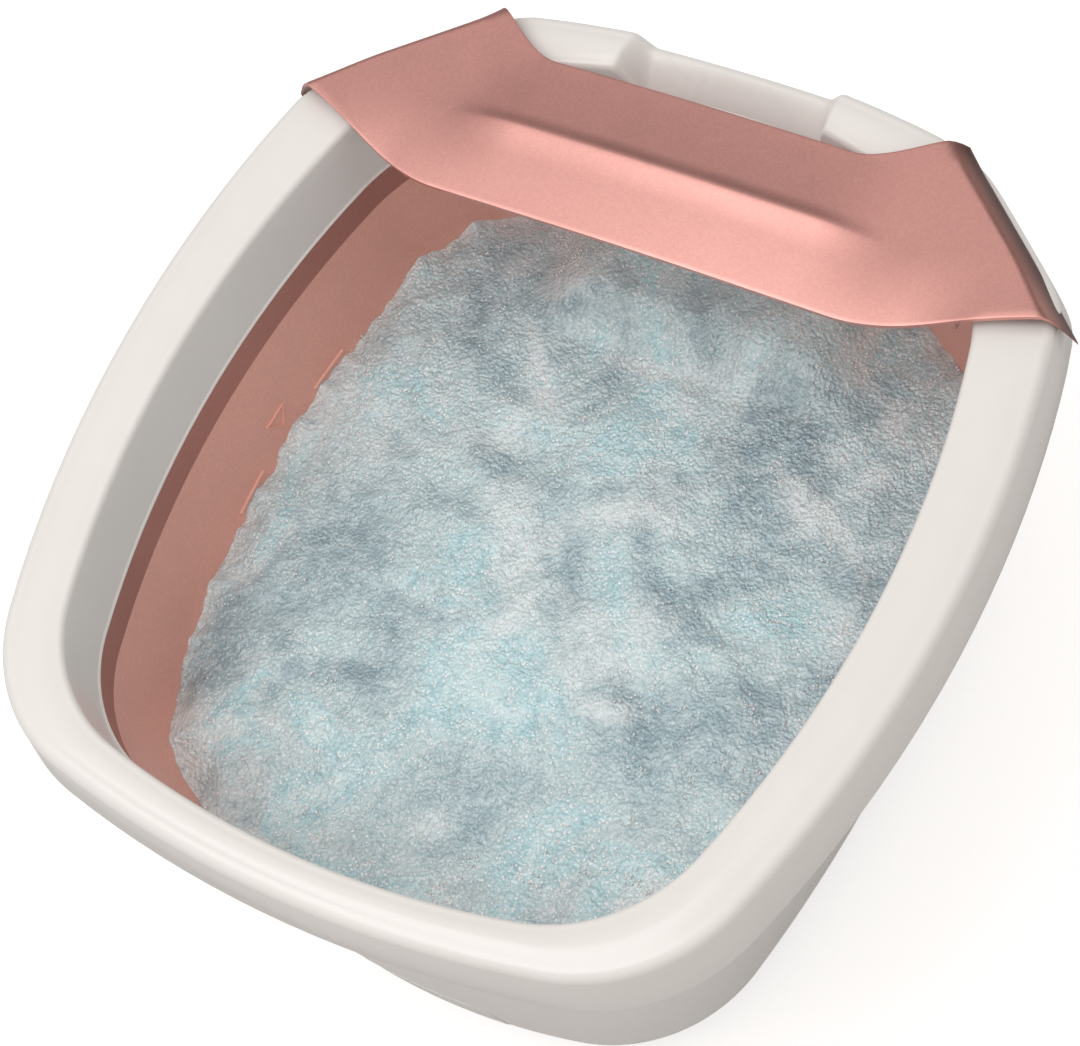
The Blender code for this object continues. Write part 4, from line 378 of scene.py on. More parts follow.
@dataclass(frozen=True)
class Finish:
    """A surface finish that turns into one Blender material."""

    name: str
    slot: Slot | None
    colour: Colour
    roughness: float
    metallic: float = 0.0
    coat: float = 0.0
    mottle: float = 0.05
    mottle_scale: float = 8.0
    grain_scale: float = 900.0
    grain_depth: float = 0.00004
    ripple_scale: float = 45.0
    wear_and_highlight: float = 0.15
    dust: float = 0.15
    mottle_contrast: float = 0.6
    worn_and_highlight_lightness: float = 1.35
    dust_cover: float = 0.35
    dust_dulling: float = 0.18
    dust_colour: Colour = (0.62, 0.60, 0.57)
    gloss_change: float = 0.12
    coat_roughness: float = 0.08
    relief_strength: float = 0.6

    def material(self) -> bpy.types.Material:
        """The finish's material, built on first use.

        Returns:
            The material.
        """
        found = bpy.data.materials.get(self.name)
        if found:
            return found
        made = bpy.data.materials.new(self.name)
        made.use_nodes = True
        self.dress(NodeBench(made.node_tree), made.node_tree.nodes["Principled BSDF"])
        return made

    def group(self, bench: NodeBench, effect: str, **values: float) -> Socket:
        """Places a shared effect in the material with this finish's values.

        Args:
            bench: The material's tree.
            effect: The effect's name.
            values: Its inputs by name.

        Returns:
            What the group puts out.
        """
        node = bench.add("ShaderNodeGroup", node_tree=Effects.get(effect))
        for label, value in values.items():
            node.inputs[label.capitalize()].default_value = value
        return node.outputs["Value"]

    def shade(self, factor: float) -> Rgba:
        """The finish's colour made lighter or darker."""
        return rgba(tuple(min(channel * factor, 1.0) for channel in self.colour))

    def dress(self, bench: NodeBench, shader: Node) -> None:
        """Builds colour variation, lighter rubbed edges that double as painted highlights, dust, grain and
        gloss.

        Args:
            bench: The material's tree.
            shader: Its Principled shader.
        """
        mottle = self.group(bench, "mottle", scale=self.mottle_scale, contrast=self.mottle_contrast)
        wear_and_highlight = self.group(bench, "edge_wear_and_highlight", amount=self.wear_and_highlight)
        dust = self.group(bench, "dust", amount=self.dust)
        base = bench.blend(mottle, self.shade(1 - self.mottle), self.shade(1 + self.mottle))
        base = self.tint(bench, base)
        # Rubbed edges made lighter: partly real rubbing, partly a painted highlight along the edges.
        base = bench.blend(wear_and_highlight, base, self.shade(self.worn_and_highlight_lightness))
        base = bench.blend(bench.times(dust, self.dust_cover), base, rgba(self.dust_colour))
        bench.link(base, shader.inputs["Base Color"])
        glossy, dull = self.roughness * (1 - self.gloss_change), self.roughness * (1 + self.gloss_change)
        rough = bench.spread(mottle, 0.0, 1.0, glossy, dull)
        rough = bench.plus(rough, bench.times(dust, self.dust_dulling), clamp=True)
        bench.link(rough, shader.inputs["Roughness"])
        shader.inputs["Metallic"].default_value = self.metallic
        shader.inputs["Coat Weight"].default_value = self.coat
        shader.inputs["Coat Roughness"].default_value = self.coat_roughness
        normal = bench.bump(self.relief(bench), self.relief_strength, self.grain_depth)
        bench.link(normal, shader.inputs["Normal"])

    def tint(self, bench: NodeBench, base: Socket) -> Socket:
        """Lets a finish work over the base colour; the plain finish leaves it."""
        return base

    def relief(self, bench: NodeBench) -> Socket:
        """The height that the bump reads."""
        return self.group(bench, "grain", scale=self.grain_scale, ripple=self.ripple_scale)


@dataclass(frozen=True)
class FlakeFinish(Finish):
    """A lacquer with metal flakes."""

    flake_scale: float = 1500.0
    flake: float = 0.10
    # How dark the painted shade on the guard's folded ends makes the lacquer.
    painted_fold_darkness: float = 0.16

    def tint(self, bench: NodeBench, base: Socket) -> Socket:
        """Lightens and darkens the base flake by flake, and darkens it with painted shade where the mesh
        marks the folded ends.

        Args:
            bench: The material's tree.
            base: The colour so far.

        Returns:
            The colour.
        """
        # Painted shade: darker lacquer on the folded ends of the guard.
        base = bench.blend(bench.attribute("painted_fold_shade"), base, self.shade(self.painted_fold_darkness))
        cells = self.group(bench, "flake", scale=self.flake_scale)
        tone = bench.spread(cells, 0.0, 1.0, 1 - self.flake, 1 + self.flake)
        grey = bench.add("ShaderNodeCombineColor", {0: tone, 1: tone, 2: tone}).outputs[0]
        return bench.blend(1.0, base, grey, mode="MULTIPLY")


@dataclass(frozen=True)
class MetalFinish(Finish):
    """Bare metal with drawn or turned lines."""

    line_scale: float = 260.0

    def relief(self, bench: NodeBench) -> Socket:
        """Fine lines in place of moulded grain."""
        return self.group(bench, "brushed", scale=self.line_scale)


@dataclass(frozen=True)
class StoneFinish(Finish):
    """Porous stone: pits in a rough surface."""

    pit_scale: float = 520.0
    rough_scale: float = 1500.0
    rough_share: float = 0.6

    def relief(self, bench: NodeBench) -> Socket:
        """Cells cut into a rough surface.

        Args:
            bench: The material's tree.

        Returns:
            The height.
        """
        place = bench.place()
        deep = bench.spread(bench.cells(place, self.pit_scale)["Distance"], 0.1, 0.45)
        fine = bench.noise(place, self.rough_scale, detail=5.0)
        return bench.plus(deep, bench.times(fine, self.rough_share))


WHITE = Finish("white_gloss_moulding", Slot.WHITE, (0.86, 0.84, 0.81), 0.25, coat=0.22, mottle=0.015,
               dust=0.015, grain_depth=0.00003, ripple_scale=24.0)
BODY_WHITE = replace(WHITE, name="white_body_moulding", colour=(0.86, 0.845, 0.82), roughness=0.34,
                     coat=0.12, dust=0.02)
ROSE = FlakeFinish("rose_gold_lacquer", Slot.GOLD, (0.72, 0.375, 0.335), 0.46, metallic=0.9, coat=0.1,
                   mottle=0.03, dust=0.03, wear_and_highlight=0.35, grain_depth=0.00002, ripple_scale=20.0, flake=0.05)
ROSE_LINER = FlakeFinish("rose_gold_basin", Slot.GOLD, (0.93, 0.485, 0.40), 0.42, metallic=0.3,
                         mottle=0.04, dust=0.05, wear_and_highlight=0.3, grain_depth=0.00003, flake=0.05)
# A darker copy of the liner's finish, painted as the shade under the rim's lip.
ROSE_STRIP_PAINTED_SHADE = replace(ROSE_LINER, name="rose_gold_painted_shade", colour=(0.52, 0.21, 0.165), roughness=0.38,
                     metallic=0.45, wear_and_highlight=0.2)
GREY = Finish("grey_matt_moulding", Slot.GREY, (0.52, 0.52, 0.51), 0.5, mottle=0.04, grain_depth=0.00008)
DARK = Finish("dark_matt_moulding", Slot.DARK, (0.07, 0.07, 0.075), 0.55, mottle=0.08, grain_depth=0.00008)
RUBBER = Finish("soft_rubber", Slot.RUBBER, (0.045, 0.045, 0.05), 0.75, mottle=0.15, dust=0.4,
                grain_depth=0.0001)
PINK = Finish("blush_moulding", Slot.PINK, (0.66, 0.36, 0.31), 0.42, mottle=0.04, grain_depth=0.00006)
STEEL = MetalFinish("drawn_steel", Slot.STEEL, (0.60, 0.61, 0.62), 0.30, metallic=1.0, mottle=0.06)
ALUMINIUM = MetalFinish("rolled_aluminium", Slot.ALUMINIUM, (0.72, 0.73, 0.74), 0.38, metallic=1.0,
                        mottle=0.05)
PUMICE = StoneFinish("pumice_stone", Slot.PUMICE, (0.42, 0.40, 0.37), 0.95, mottle=0.18, mottle_scale=60.0,
                     grain_depth=0.0006, dust=0.3)
BOARD = Finish("board_laminate", Slot.BOARD, (0.02, 0.16, 0.07), 0.35, coat=0.4, mottle=0.1,
               mottle_scale=40.0)
SLOT_FINISHES = (WHITE, ROSE, GREY, DARK, RUBBER, PINK, STEEL, ALUMINIUM, PUMICE, BOARD)
FINISH_OF_SLOT = {finish.slot: finish for finish in SLOT_FINISHES}


# Outlines and lofts

CUT_WAY = Vector((0.647, 0.762))
CUT_SHARPNESS = 400.0
CUT_BLEND = 0.010


@dataclass(frozen=True)
class Outline:
    """A closed outline of tangent arcs, mirrored about the Y axis."""

    half_width: float
    widest_y: float
    half_length: float
    side_radius: float
    heel: Pair
    toe: Pair
    toe_stations: tuple[float, ...] = (0.0,)
    cut: float = math.inf
    end_steps: int = 9
    corner_steps: int = 24
    side_steps: int = 10

    def parallel(self, distance: float) -> "Outline":
        """The outline moved outwards by a distance.

        Args:
            distance: How far; inwards if negative.

        Returns:
            The parallel outline.
        """
        heel = (self.heel[0] + distance, self.heel[1] + distance)
        toe = (self.toe[0] + distance, self.toe[1] + distance)
        return Outline(self.half_width + distance, self.widest_y, self.half_length + distance,
                       self.side_radius + distance, heel, toe, self.toe_stations, self.cut + distance,
                       self.end_steps, self.corner_steps, self.side_steps)

    def cut_back(self, x: float, y: float) -> Pair:
        """Draws a place at a toe corner back to the straight cut under the guard's end.

        Args:
            x: The place across.
            y: The place along.

        Returns:
            The place, drawn back.
        """
        if y <= 0 or math.isinf(self.cut):
            return x, y
        beyond = abs(x) * CUT_WAY.x + y * CUT_WAY.y - self.cut
        pull = math.log1p(math.exp(beyond * CUT_SHARPNESS)) / CUT_SHARPNESS
        return x - math.copysign(pull * CUT_WAY.x, x), y - pull * CUT_WAY.y

    def cut_share(self, x: float, y: float) -> float:
        """How near a place is to the cut at the toe corners, from 0 to 1 on it.

        Args:
            x: The place across.
            y: The place along.

        Returns:
            The share.
        """
        if y <= 0 or math.isinf(self.cut):
            return 0
        return smooth(1 - (self.cut - abs(x) * CUT_WAY.x - y * CUT_WAY.y) / CUT_BLEND)

    def _corner(self, end_radius: float, corner_radius: float, end: End) -> tuple[Vector, Vector, Vector]:
        """Centres of the end, side and corner arcs at one end.

        Args:
            end_radius: Radius of the end's arc.
            corner_radius: Radius of the corner's arc.
            end: The end of the bath.

        Returns:
            The three centres.
        """
        side = Vector((self.half_width - self.side_radius, self.widest_y))
        tip = Vector((0, end.value * (self.half_length - end_radius)))
        reach_side = self.side_radius - corner_radius
        reach_end = end_radius - corner_radius
        span = tip - side
        along = (reach_side ** 2 - reach_end ** 2 + span.length_squared) / (2 * span.length)
        across = math.sqrt(max(reach_side ** 2 - along ** 2, 0))
        unit = span.normalized()
        normal = Vector((abs(unit.y), -unit.x * math.copysign(1, unit.y)))
        return tip, side, side + unit * along + normal * across

    def _half(self, end: End) -> list[Pair]:
        """Points from the middle of one end round to the widest place, on the +X side.

        Args:
            end: The end of the bath.

        Returns:
            The points, without the widest place.
        """
        end_radius, corner_radius = self.toe if end is End.TOE else self.heel
        stations = self.toe_stations if end is End.TOE else (0.0,)
        sign = end.value
        tip, side, corner = self._corner(end_radius, corner_radius, end)
        to_end, to_side = corner - tip, corner - side
        start = math.atan2(to_end.x, sign * to_end.y)
        finish = math.atan2(to_side.x, sign * to_side.y)
        points = [(x, tip.y + sign * math.sqrt(end_radius ** 2 - x ** 2)) for x in stations]
        first = math.asin(stations[-1] / end_radius)
        arcs = (
            (tip, end_radius, first, start, self.end_steps, 1),
            (corner, corner_radius, start, finish, self.corner_steps, 1),
            (side, self.side_radius, finish, math.pi / 2, self.side_steps, 0),
        )
        for centre, radius, begin, stop, steps, last in arcs:
            for step in range(1, steps + last):
                angle = begin + (stop - begin) * step / steps
                x, y = radius * math.sin(angle), sign * radius * math.cos(angle)
                points.append((centre.x + x, centre.y + y))
        return points

    def points(self) -> list[Pair]:
        """The whole outline, counter-clockwise from the middle of the heel end.

        Returns:
            Its points.
        """
        right = self._half(End.HEEL) + [(self.half_width, self.widest_y)] + self._half(End.TOE)[::-1]
        right = [self.cut_back(x, y) for x, y in right]
        left = [(-x, y) for x, y in reversed(right[1:-1])]
        return right + left

    def end_y(self, x: float, end: End) -> float:
        """The Y of one end arc at a place x across it."""
        radius = (self.toe if end is End.TOE else self.heel)[0]
        return end.value * (self.half_length - radius + math.sqrt(radius ** 2 - x ** 2))


@dataclass(frozen=True)
class RadialLimit:
    """The reach of a star-shaped outline from its middle, by direction."""

    angles: tuple[float, ...]
    reaches: tuple[float, ...]

    @classmethod
    def of(cls, outline: Outline) -> "RadialLimit":
        """Measures an outline once."""
        polar = sorted((math.atan2(y, x), math.hypot(x, y)) for x, y in outline.points())
        return cls(tuple(angle for angle, _ in polar), tuple(reach for _, reach in polar))

    def reach(self, x: float, y: float) -> float:
        """The distance from the middle to the outline in the direction of a place.

        Args:
            x: The place across.
            y: The place along.

        Returns:
            The distance.
        """
        angle = math.atan2(y, x)
        after = bisect.bisect(self.angles, angle) % len(self.angles)
        before = after - 1
        span = (self.angles[after] - self.angles[before]) % (2 * math.pi)
        share = ((angle - self.angles[before]) % (2 * math.pi)) / span if span else 0
        return self.reaches[before] + (self.reaches[after] - self.reaches[before]) * share


def smooth(value: float) -> float:
    """Eases 0 to 1 with level ends."""
    value = min(max(value, 0), 1)
    return value * value * (3 - 2 * value)


def arc(offset: float, z: float, radii: Pair, start: float, finish: float,
        steps: int) -> Profile:
    """Points of an elliptical arc in a profile.

    Args:
        offset: The centre's offset.
        z: The centre's height.
        radii: Radius along the offset and along the height.
        start: First angle in degrees, from the offset axis.
        finish: Last angle in degrees.
        steps: Number of chords.

    Returns:
        Offset and height pairs.
    """
    turns = [math.radians(start + (finish - start) * step / steps) for step in range(steps + 1)]
    return [(offset + radii[0] * math.cos(turn), z + radii[1] * math.sin(turn)) for turn in turns]


def loft(rows: Sequence[Row], caps: Caps) -> Shape:
    """A mesh through rows of points.

    Args:
        rows: Closed rows with the same number of points.
        caps: Whether the last row joins the first or each end gets a face.

    Returns:
        The mesh, with its faces turned outwards.
    """
    mesh = bmesh.new()
    levels = [[mesh.verts.new(point) for point in row] for row in rows]
    pairs = list(zip(levels, levels[1:]))
    if caps is Caps.LOOP:
        pairs.append((levels[-1], levels[0]))
    for lower, upper in pairs:
        for index in range(len(lower)):
            after = (index + 1) % len(lower)
            mesh.faces.new((lower[index], lower[after], upper[after], upper[index]))
    if caps is Caps.ENDS:
        mesh.faces.new(levels[0])
        mesh.faces.new(levels[-1])
    bmesh.ops.recalc_face_normals(mesh, faces=mesh.faces)
    return mesh


def rounded_profile(corners: Sequence[Triple], steps: int = 5) -> Profile:
    """Rounds the corners of a profile.

    Args:
        corners: Radius, height and corner radius of each corner.
        steps: Chords in each rounded corner.

    Returns:
        Radius and height pairs.
    """
    points: Profile = []
    for index, (radius, height, fillet) in enumerate(corners):
        here = Vector((radius, height))
        before = Vector(corners[index - 1][:2]) - here
        after = Vector(corners[(index + 1) % len(corners)][:2]) - here
        inner = 0 < index < len(corners) - 1
        if fillet <= 0 or not inner or before.angle(after) > math.pi - 2 * SLIGHT_BEND:
            points.append((radius, height))
            continue
        reach = fillet / math.tan(before.angle(after) / 2)
        first, last = here + before.normalized() * reach, here + after.normalized() * reach
        for step in range(steps + 1):
            share = step / steps
            place = first * (1 - share) ** 2 + here * (2 * share * (1 - share)) + last * share ** 2
            points.append((place.x, place.y))
    return points


def turned(profile: Profile, place: Sequence[float], axis: Vector = UP, steps: int = 48) -> Shape:
    """A turned body.

    Args:
        profile: Radius and height pairs; a radius of zero closes an end.
        place: The origin of the profile's heights.
        axis: The direction of its heights.
        steps: Facets round the axis.

    Returns:
        The mesh in place.
    """
    mesh = bmesh.new()
    verts = [mesh.verts.new((radius, 0, height)) for radius, height in profile]
    for first, second in zip(verts, verts[1:]):
        mesh.edges.new((first, second))
    if profile[0][0] > 0:
        mesh.edges.new((verts[-1], verts[0]))
    bmesh.ops.spin(mesh, geom=[*mesh.verts, *mesh.edges], cent=(0, 0, 0), axis=UP, angle=2 * math.pi,
                   steps=steps, use_merge=True)
    bmesh.ops.remove_doubles(mesh, verts=mesh.verts, dist=SEAM_MERGE)
    bmesh.ops.recalc_face_normals(mesh, faces=mesh.faces)
    turn = UP.rotation_difference(axis).to_matrix().to_4x4()
    bmesh.ops.transform(mesh, matrix=Matrix.Translation(place) @ turn, verts=mesh.verts)
    return mesh


def drill(radius: float, reach: float, place: Sequence[float], axis: Vector = UP) -> Piece:
    """A round tool that reaches both ways from a place, to carve a hole with.

    Args:
        radius: Its radius.
        reach: How far it reaches.
        place: Its middle.
        axis: Its direction.

    Returns:
        The tool.
    """
    profile = [(0, -reach), (radius, -reach), (radius, reach), (0, reach)]
    return loose_object("drill", turned(profile, place, axis))


def box_mesh(low: Sequence[float], high: Sequence[float]) -> Shape:
    """A box between two corners, as the start of a bevelled piece.

    Args:
        low: The lowest corner.
        high: The highest corner.

    Returns:
        The mesh.
    """
    mesh = bmesh.new()
    bmesh.ops.create_cube(mesh, size=1)
    size = [b - a for a, b in zip(low, high)]
    middle = [(a + b) / 2 for a, b in zip(low, high)]
    matrix = Matrix.Translation(middle) @ Matrix.Diagonal((*size, 1))
    bmesh.ops.transform(mesh, matrix=matrix, verts=mesh.verts)
    return mesh


def merged(parts: Iterable[Shape]) -> Shape:
    """Several meshes as one.

    Args:
        parts: The meshes, which are used up.

    Returns:
        The whole.
    """
    whole = bmesh.new()
    for part in parts:
        data = bpy.data.meshes.new("part")
        part.to_mesh(data)
        part.free()
        whole.from_mesh(data)
        bpy.data.meshes.remove(data)
    return whole


# Pieces


def loose_object(name: str, mesh: Shape) -> Piece:
    """A new object from a bmesh, linked to the scene.

    Args:
        name: The object's name.
        mesh: Its mesh, which is used up.

    Returns:
        The object.
    """
    data = bpy.data.meshes.new(name)
    mesh.to_mesh(data)
    mesh.free()
    piece = bpy.data.objects.new(name, data)
    bpy.context.scene.collection.objects.link(piece)
    return piece


def settle(piece: Piece) -> None:
    """Turns a piece's modifiers into plain mesh.

    Args:
        piece: The object.
    """
    bpy.context.view_layer.update()
    graph = bpy.context.evaluated_depsgraph_get()
    data = bpy.data.meshes.new_from_object(piece.evaluated_get(graph))
    piece.modifiers.clear()
    piece.data = data


def mark_edges(data: bpy.types.Mesh, reach: float = 0.0022) -> None:
    """Stores how sharply the surface bends outwards at each point, from 0 to 1, for rubbed edges and
    painted edge highlights.

    Args:
        data: The finished mesh.
        reach: The edge radius at which the mask is full.
    """
    work = bmesh.new()
    work.from_mesh(data)
    values = [0.0] * len(work.verts)
    for edge in work.edges:
        if len(edge.link_faces) != 2:
            continue
        bend = edge.calc_face_angle_signed(0)
        if bend <= SLIGHT_BEND:
            continue
        first, second = edge.link_faces
        span = (first.calc_center_median() - second.calc_center_median()).length
        share = min(reach * bend / max(span, reach / 10), 1)
        for vertex in edge.verts:
            values[vertex.index] = max(values[vertex.index], share)
    work.free()
    mask = data.attributes.new("edge", "FLOAT", "POINT")
    mask.data.foreach_set("value", values)


def finish_piece(piece: Piece, finish: Finish, body: str, nodes: Sequence[str] = (),
                 slot: Slot | None = None) -> Piece:
    """Gives a piece its shading, finish and body, and hides the CAD nodes that it stands for.

    Args:
        piece: The object, in place.
        finish: Its finish.
        body: The CAD body that it rides on.
        nodes: CAD nodes that it stands for.
        slot: The record's slot, where it isn't the finish's own; not used.

    Returns:
        The piece.
    """
    settle(piece)
    data = piece.data
    data.materials.clear()
    data.materials.append(finish.material())
    data.shade_smooth()
    data.set_sharp_from_angle(angle=SHARP_ANGLE)
    mark_edges(data)
    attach(piece, body)
    if nodes:
        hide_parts(*nodes)
    LOG.info("%s rides on %s, %d faces", piece.name, body, len(data.polygons))
    return piece


def soften(piece: Piece, width: float, segments: int = 2, angle: float = SHARP_ANGLE) -> None:
    """Adds a bevel to the sharp edges of a piece.

    Args:
        piece: The piece, before it is finished.
        width: The bevel's width.
        segments: Faces across the bevel.
        angle: The bend past which an edge is sharp.
    """
    bevel = piece.modifiers.new("soft_edges", "BEVEL")
    bevel.width = width
    bevel.segments = segments
    bevel.limit_method = "ANGLE"
    bevel.angle_limit = angle
    bevel.use_clamp_overlap = True


def carve(piece: Piece, tool: Piece) -> None:
    """Cuts a tool out of a piece and removes the tool.

    Args:
        piece: The object that is cut.
        tool: What is cut out of it.
    """
    modifier = piece.modifiers.new("cut", "BOOLEAN")
    modifier.operation = "DIFFERENCE"
    modifier.solver = "EXACT"
    modifier.object = tool
    settle(piece)
    bpy.data.objects.remove(tool)


def node_copy(node: str, name: str) -> Piece:
    """A merged copy of a CAD node with its flat faces joined up.

    Args:
        node: The CAD node.
        name: The copy's name.

    Returns:
        The copy.
    """
    mesh = bmesh.new()
    mesh.from_mesh(frame["nodes"][node].data)
    bmesh.ops.remove_doubles(mesh, verts=mesh.verts, dist=MERGE)
    bmesh.ops.dissolve_limit(mesh, angle_limit=FLAT_ANGLE, verts=mesh.verts, edges=mesh.edges)
    return loose_object(name, mesh)


def turned_piece(name: str, corners: Sequence[Triple], place: Sequence[float],
                 finish: Finish, body: str, nodes: Sequence[str], axis: Vector = UP) -> Piece:
    """A finished turned piece.

    Args:
        name: The piece's name.
        corners: Radius, height and corner radius of its profile's corners.
        place: The origin of the profile's heights.
        finish: Its finish.
        body: The CAD body that it rides on.
        nodes: CAD nodes that it stands for.
        axis: The direction of its heights.

    Returns:
        The piece.
    """
    piece = loose_object(name, turned(rounded_profile(corners), place, axis))
    return finish_piece(piece, finish, body, nodes)


def dressed_node(node: str, finish: Finish, body: str, width: float = FINE_SOFTNESS,
                 segments: int = 2) -> Piece:
    """A finished copy of a CAD node with softened edges.

    Args:
        node: The CAD node.
        finish: Its finish.
        body: The CAD body that it rides on.
        width: The width of its bevels.
        segments: Faces across a bevel.

    Returns:
        The piece.
    """
    piece = node_copy(node, f"{node}_finished")
    soften(piece, width, segments)
    return finish_piece(piece, finish, body, [node])


def body_of_node(node: str) -> str:
    """The body that a CAD node belongs to."""
    bodies = frame["record"]["behaviour"]["bodies"]
    return next(body for body, nodes in bodies.items() if node in nodes)


# Geometry Nodes


class GeometryTree:
    """A Geometry Nodes tree with named inputs that ends in one plain mesh."""

    def __init__(self, name: str, inputs: dict[str, tuple[str, object]]) -> None:
        """Starts the tree.

        Args:
            name: The tree's name.
            inputs: Input name to its socket type and default.
        """
        tree = bpy.data.node_groups.new(name, "GeometryNodeTree")
        tree.interface.new_socket("Geometry", in_out="INPUT", socket_type="NodeSocketGeometry")
        for label, (kind, value) in inputs.items():
            socket = tree.interface.new_socket(label, in_out="INPUT", socket_type=kind)
            if value is not None:
                socket.default_value = value
        tree.interface.new_socket("Geometry", in_out="OUTPUT", socket_type="NodeSocketGeometry")
        self.bench = NodeBench(tree)
        self.given = self.bench.add("NodeGroupInput")

    def close(self, geometry: Socket, shade: bool = True) -> None:
        """Realises the instances, sets shading and material, and ends the tree.

        Args:
            geometry: What the tree has made.
            shade: Whether it is shaded smooth.
        """
        bench = self.bench
        real = bench.add("GeometryNodeRealizeInstances", {"Geometry": geometry}).outputs["Geometry"]
        if shade:
            real = bench.add("GeometryNodeSetShadeSmooth", {"Geometry": real}).outputs["Geometry"]
        values = {"Geometry": real, "Material": self.given.outputs["Material"]}
        done = bench.add("GeometryNodeSetMaterial", values).outputs["Geometry"]
        bench.add("NodeGroupOutput", {"Geometry": done})

    def run(self, name: str, start: Shape, **values: object) -> Piece:
        """Runs the tree on a mesh.

        Args:
            name: The new piece's name.
            start: The mesh that the tree reads.
            values: Input values by name, with underscores for spaces.

        Returns:
            The piece with a plain mesh.
        """
        piece = loose_object(name, start)
        modifier = piece.modifiers.new("tree", "NODES")
        modifier.node_group = self.bench.tree
        wanted = {label.replace("_", " ").lower(): value for label, value in values.items()}
        for item in self.bench.tree.interface.items_tree:
            if item.in_out == "INPUT" and item.name.lower() in wanted:
                modifier[item.identifier] = wanted[item.name.lower()]
        settle(piece)
        return piece


class InstanceTree(GeometryTree):
    """Sets a shape on each point of a mesh, turned to the point's direction, at random sizes."""

    def __init__(self) -> None:
        """Builds the tree."""
        super().__init__("shape_on_points", {
            "Shape": ("NodeSocketObject", None),
            "Smallest": ("NodeSocketFloat", 1.0),
            "Largest": ("NodeSocketFloat", 1.0),
            "Seed": ("NodeSocketInt", 1),
            "Material": ("NodeSocketMaterial", None),
        })
        bench, given = self.bench, self.given.outputs
        shape = bench.add("GeometryNodeObjectInfo", {"Object": given["Shape"]})
        facing = bench.add("GeometryNodeInputNamedAttribute", {"Name": "facing"}, data_type="FLOAT_VECTOR")
        turn = bench.add("FunctionNodeAlignRotationToVector", {"Vector": facing.outputs["Attribute"]},
                         axis="Z")
        size = bench.add("FunctionNodeRandomValue", data_type="FLOAT")
        for label, socket in (("Min", "Smallest"), ("Max", "Largest"), ("Seed", "Seed")):
            target = next(item for item in size.inputs if item.name == label and item.enabled)
            bench.link(given[socket], target)
        amount = next(item for item in size.outputs if item.enabled)
        placed = bench.add("GeometryNodeInstanceOnPoints", {
            "Points": given["Geometry"], "Instance": shape.outputs["Geometry"],
            "Rotation": turn.outputs["Rotation"], "Scale": amount,
        })
        self.close(placed.outputs["Instances"], shade=False)

    def place(self, name: str, shape: Shape, spots: Sequence[tuple[Sequence[float], Vector]],
              finish: Finish, seed: int = 1, sizes: Pair = (1.0, 1.0)) -> Piece:
        """Sets one shape on many spots.

        Args:
            name: The new piece's name.
            shape: The repeated shape, standing on +Z.
            spots: Place and direction of each copy.
            finish: The finish of the copies.
            seed: Seed of the random sizes.
            sizes: Smallest and largest scale.

        Returns:
            The piece.
        """
        source = loose_object(f"{name}_shape", shape)
        points = bmesh.new()
        layer = points.verts.layers.float_vector.new("facing")
        for place, facing in spots:
            points.verts.new(place)[layer] = facing
        piece = self.run(name, points, shape=source, smallest=sizes[0], largest=sizes[1], seed=seed,
                         material=finish.material())
        bpy.data.objects.remove(source)
        return piece


class SweepTree(GeometryTree):
    """Draws a round or oval section along a path of edges."""

    def __init__(self) -> None:
        """Builds the tree."""
        super().__init__("section_along_path", {
            "Radius": ("NodeSocketFloat", 0.001),
            "Facets": ("NodeSocketInt", 12),
            "Material": ("NodeSocketMaterial", None),
        })
        bench, given = self.bench, self.given.outputs
        path = bench.add("GeometryNodeMeshToCurve", {"Mesh": given["Geometry"]})
        section = bench.add("GeometryNodeCurvePrimitiveCircle",
                            {"Resolution": given["Facets"], "Radius": given["Radius"]})
        tube = bench.add("GeometryNodeCurveToMesh", {
            "Curve": path.outputs["Curve"], "Profile Curve": section.outputs["Curve"], "Fill Caps": True,
        })
        self.close(tube.outputs["Mesh"])

    def draw(self, name: str, path: Sequence[Vector], radius: float, finish: Finish, closed: bool = False,
             facets: int = 12) -> Piece:
        """Draws one tube.

        Args:
            name: The new piece's name.
            path: Points of its centre line.
            radius: The section's radius.
            finish: The tube's finish.
            closed: Whether the path is a loop.
            facets: Facets round the section.

        Returns:
            The piece.
        """
        line = bmesh.new()
        verts = [line.verts.new(point) for point in path]
        for first, second in zip(verts, verts[1:]):
            line.edges.new((first, second))
        if closed:
            line.edges.new((verts[-1], verts[0]))
        return self.run(name, line, radius=radius, facets=facets, material=finish.material())


# Sub-assemblies of the bath


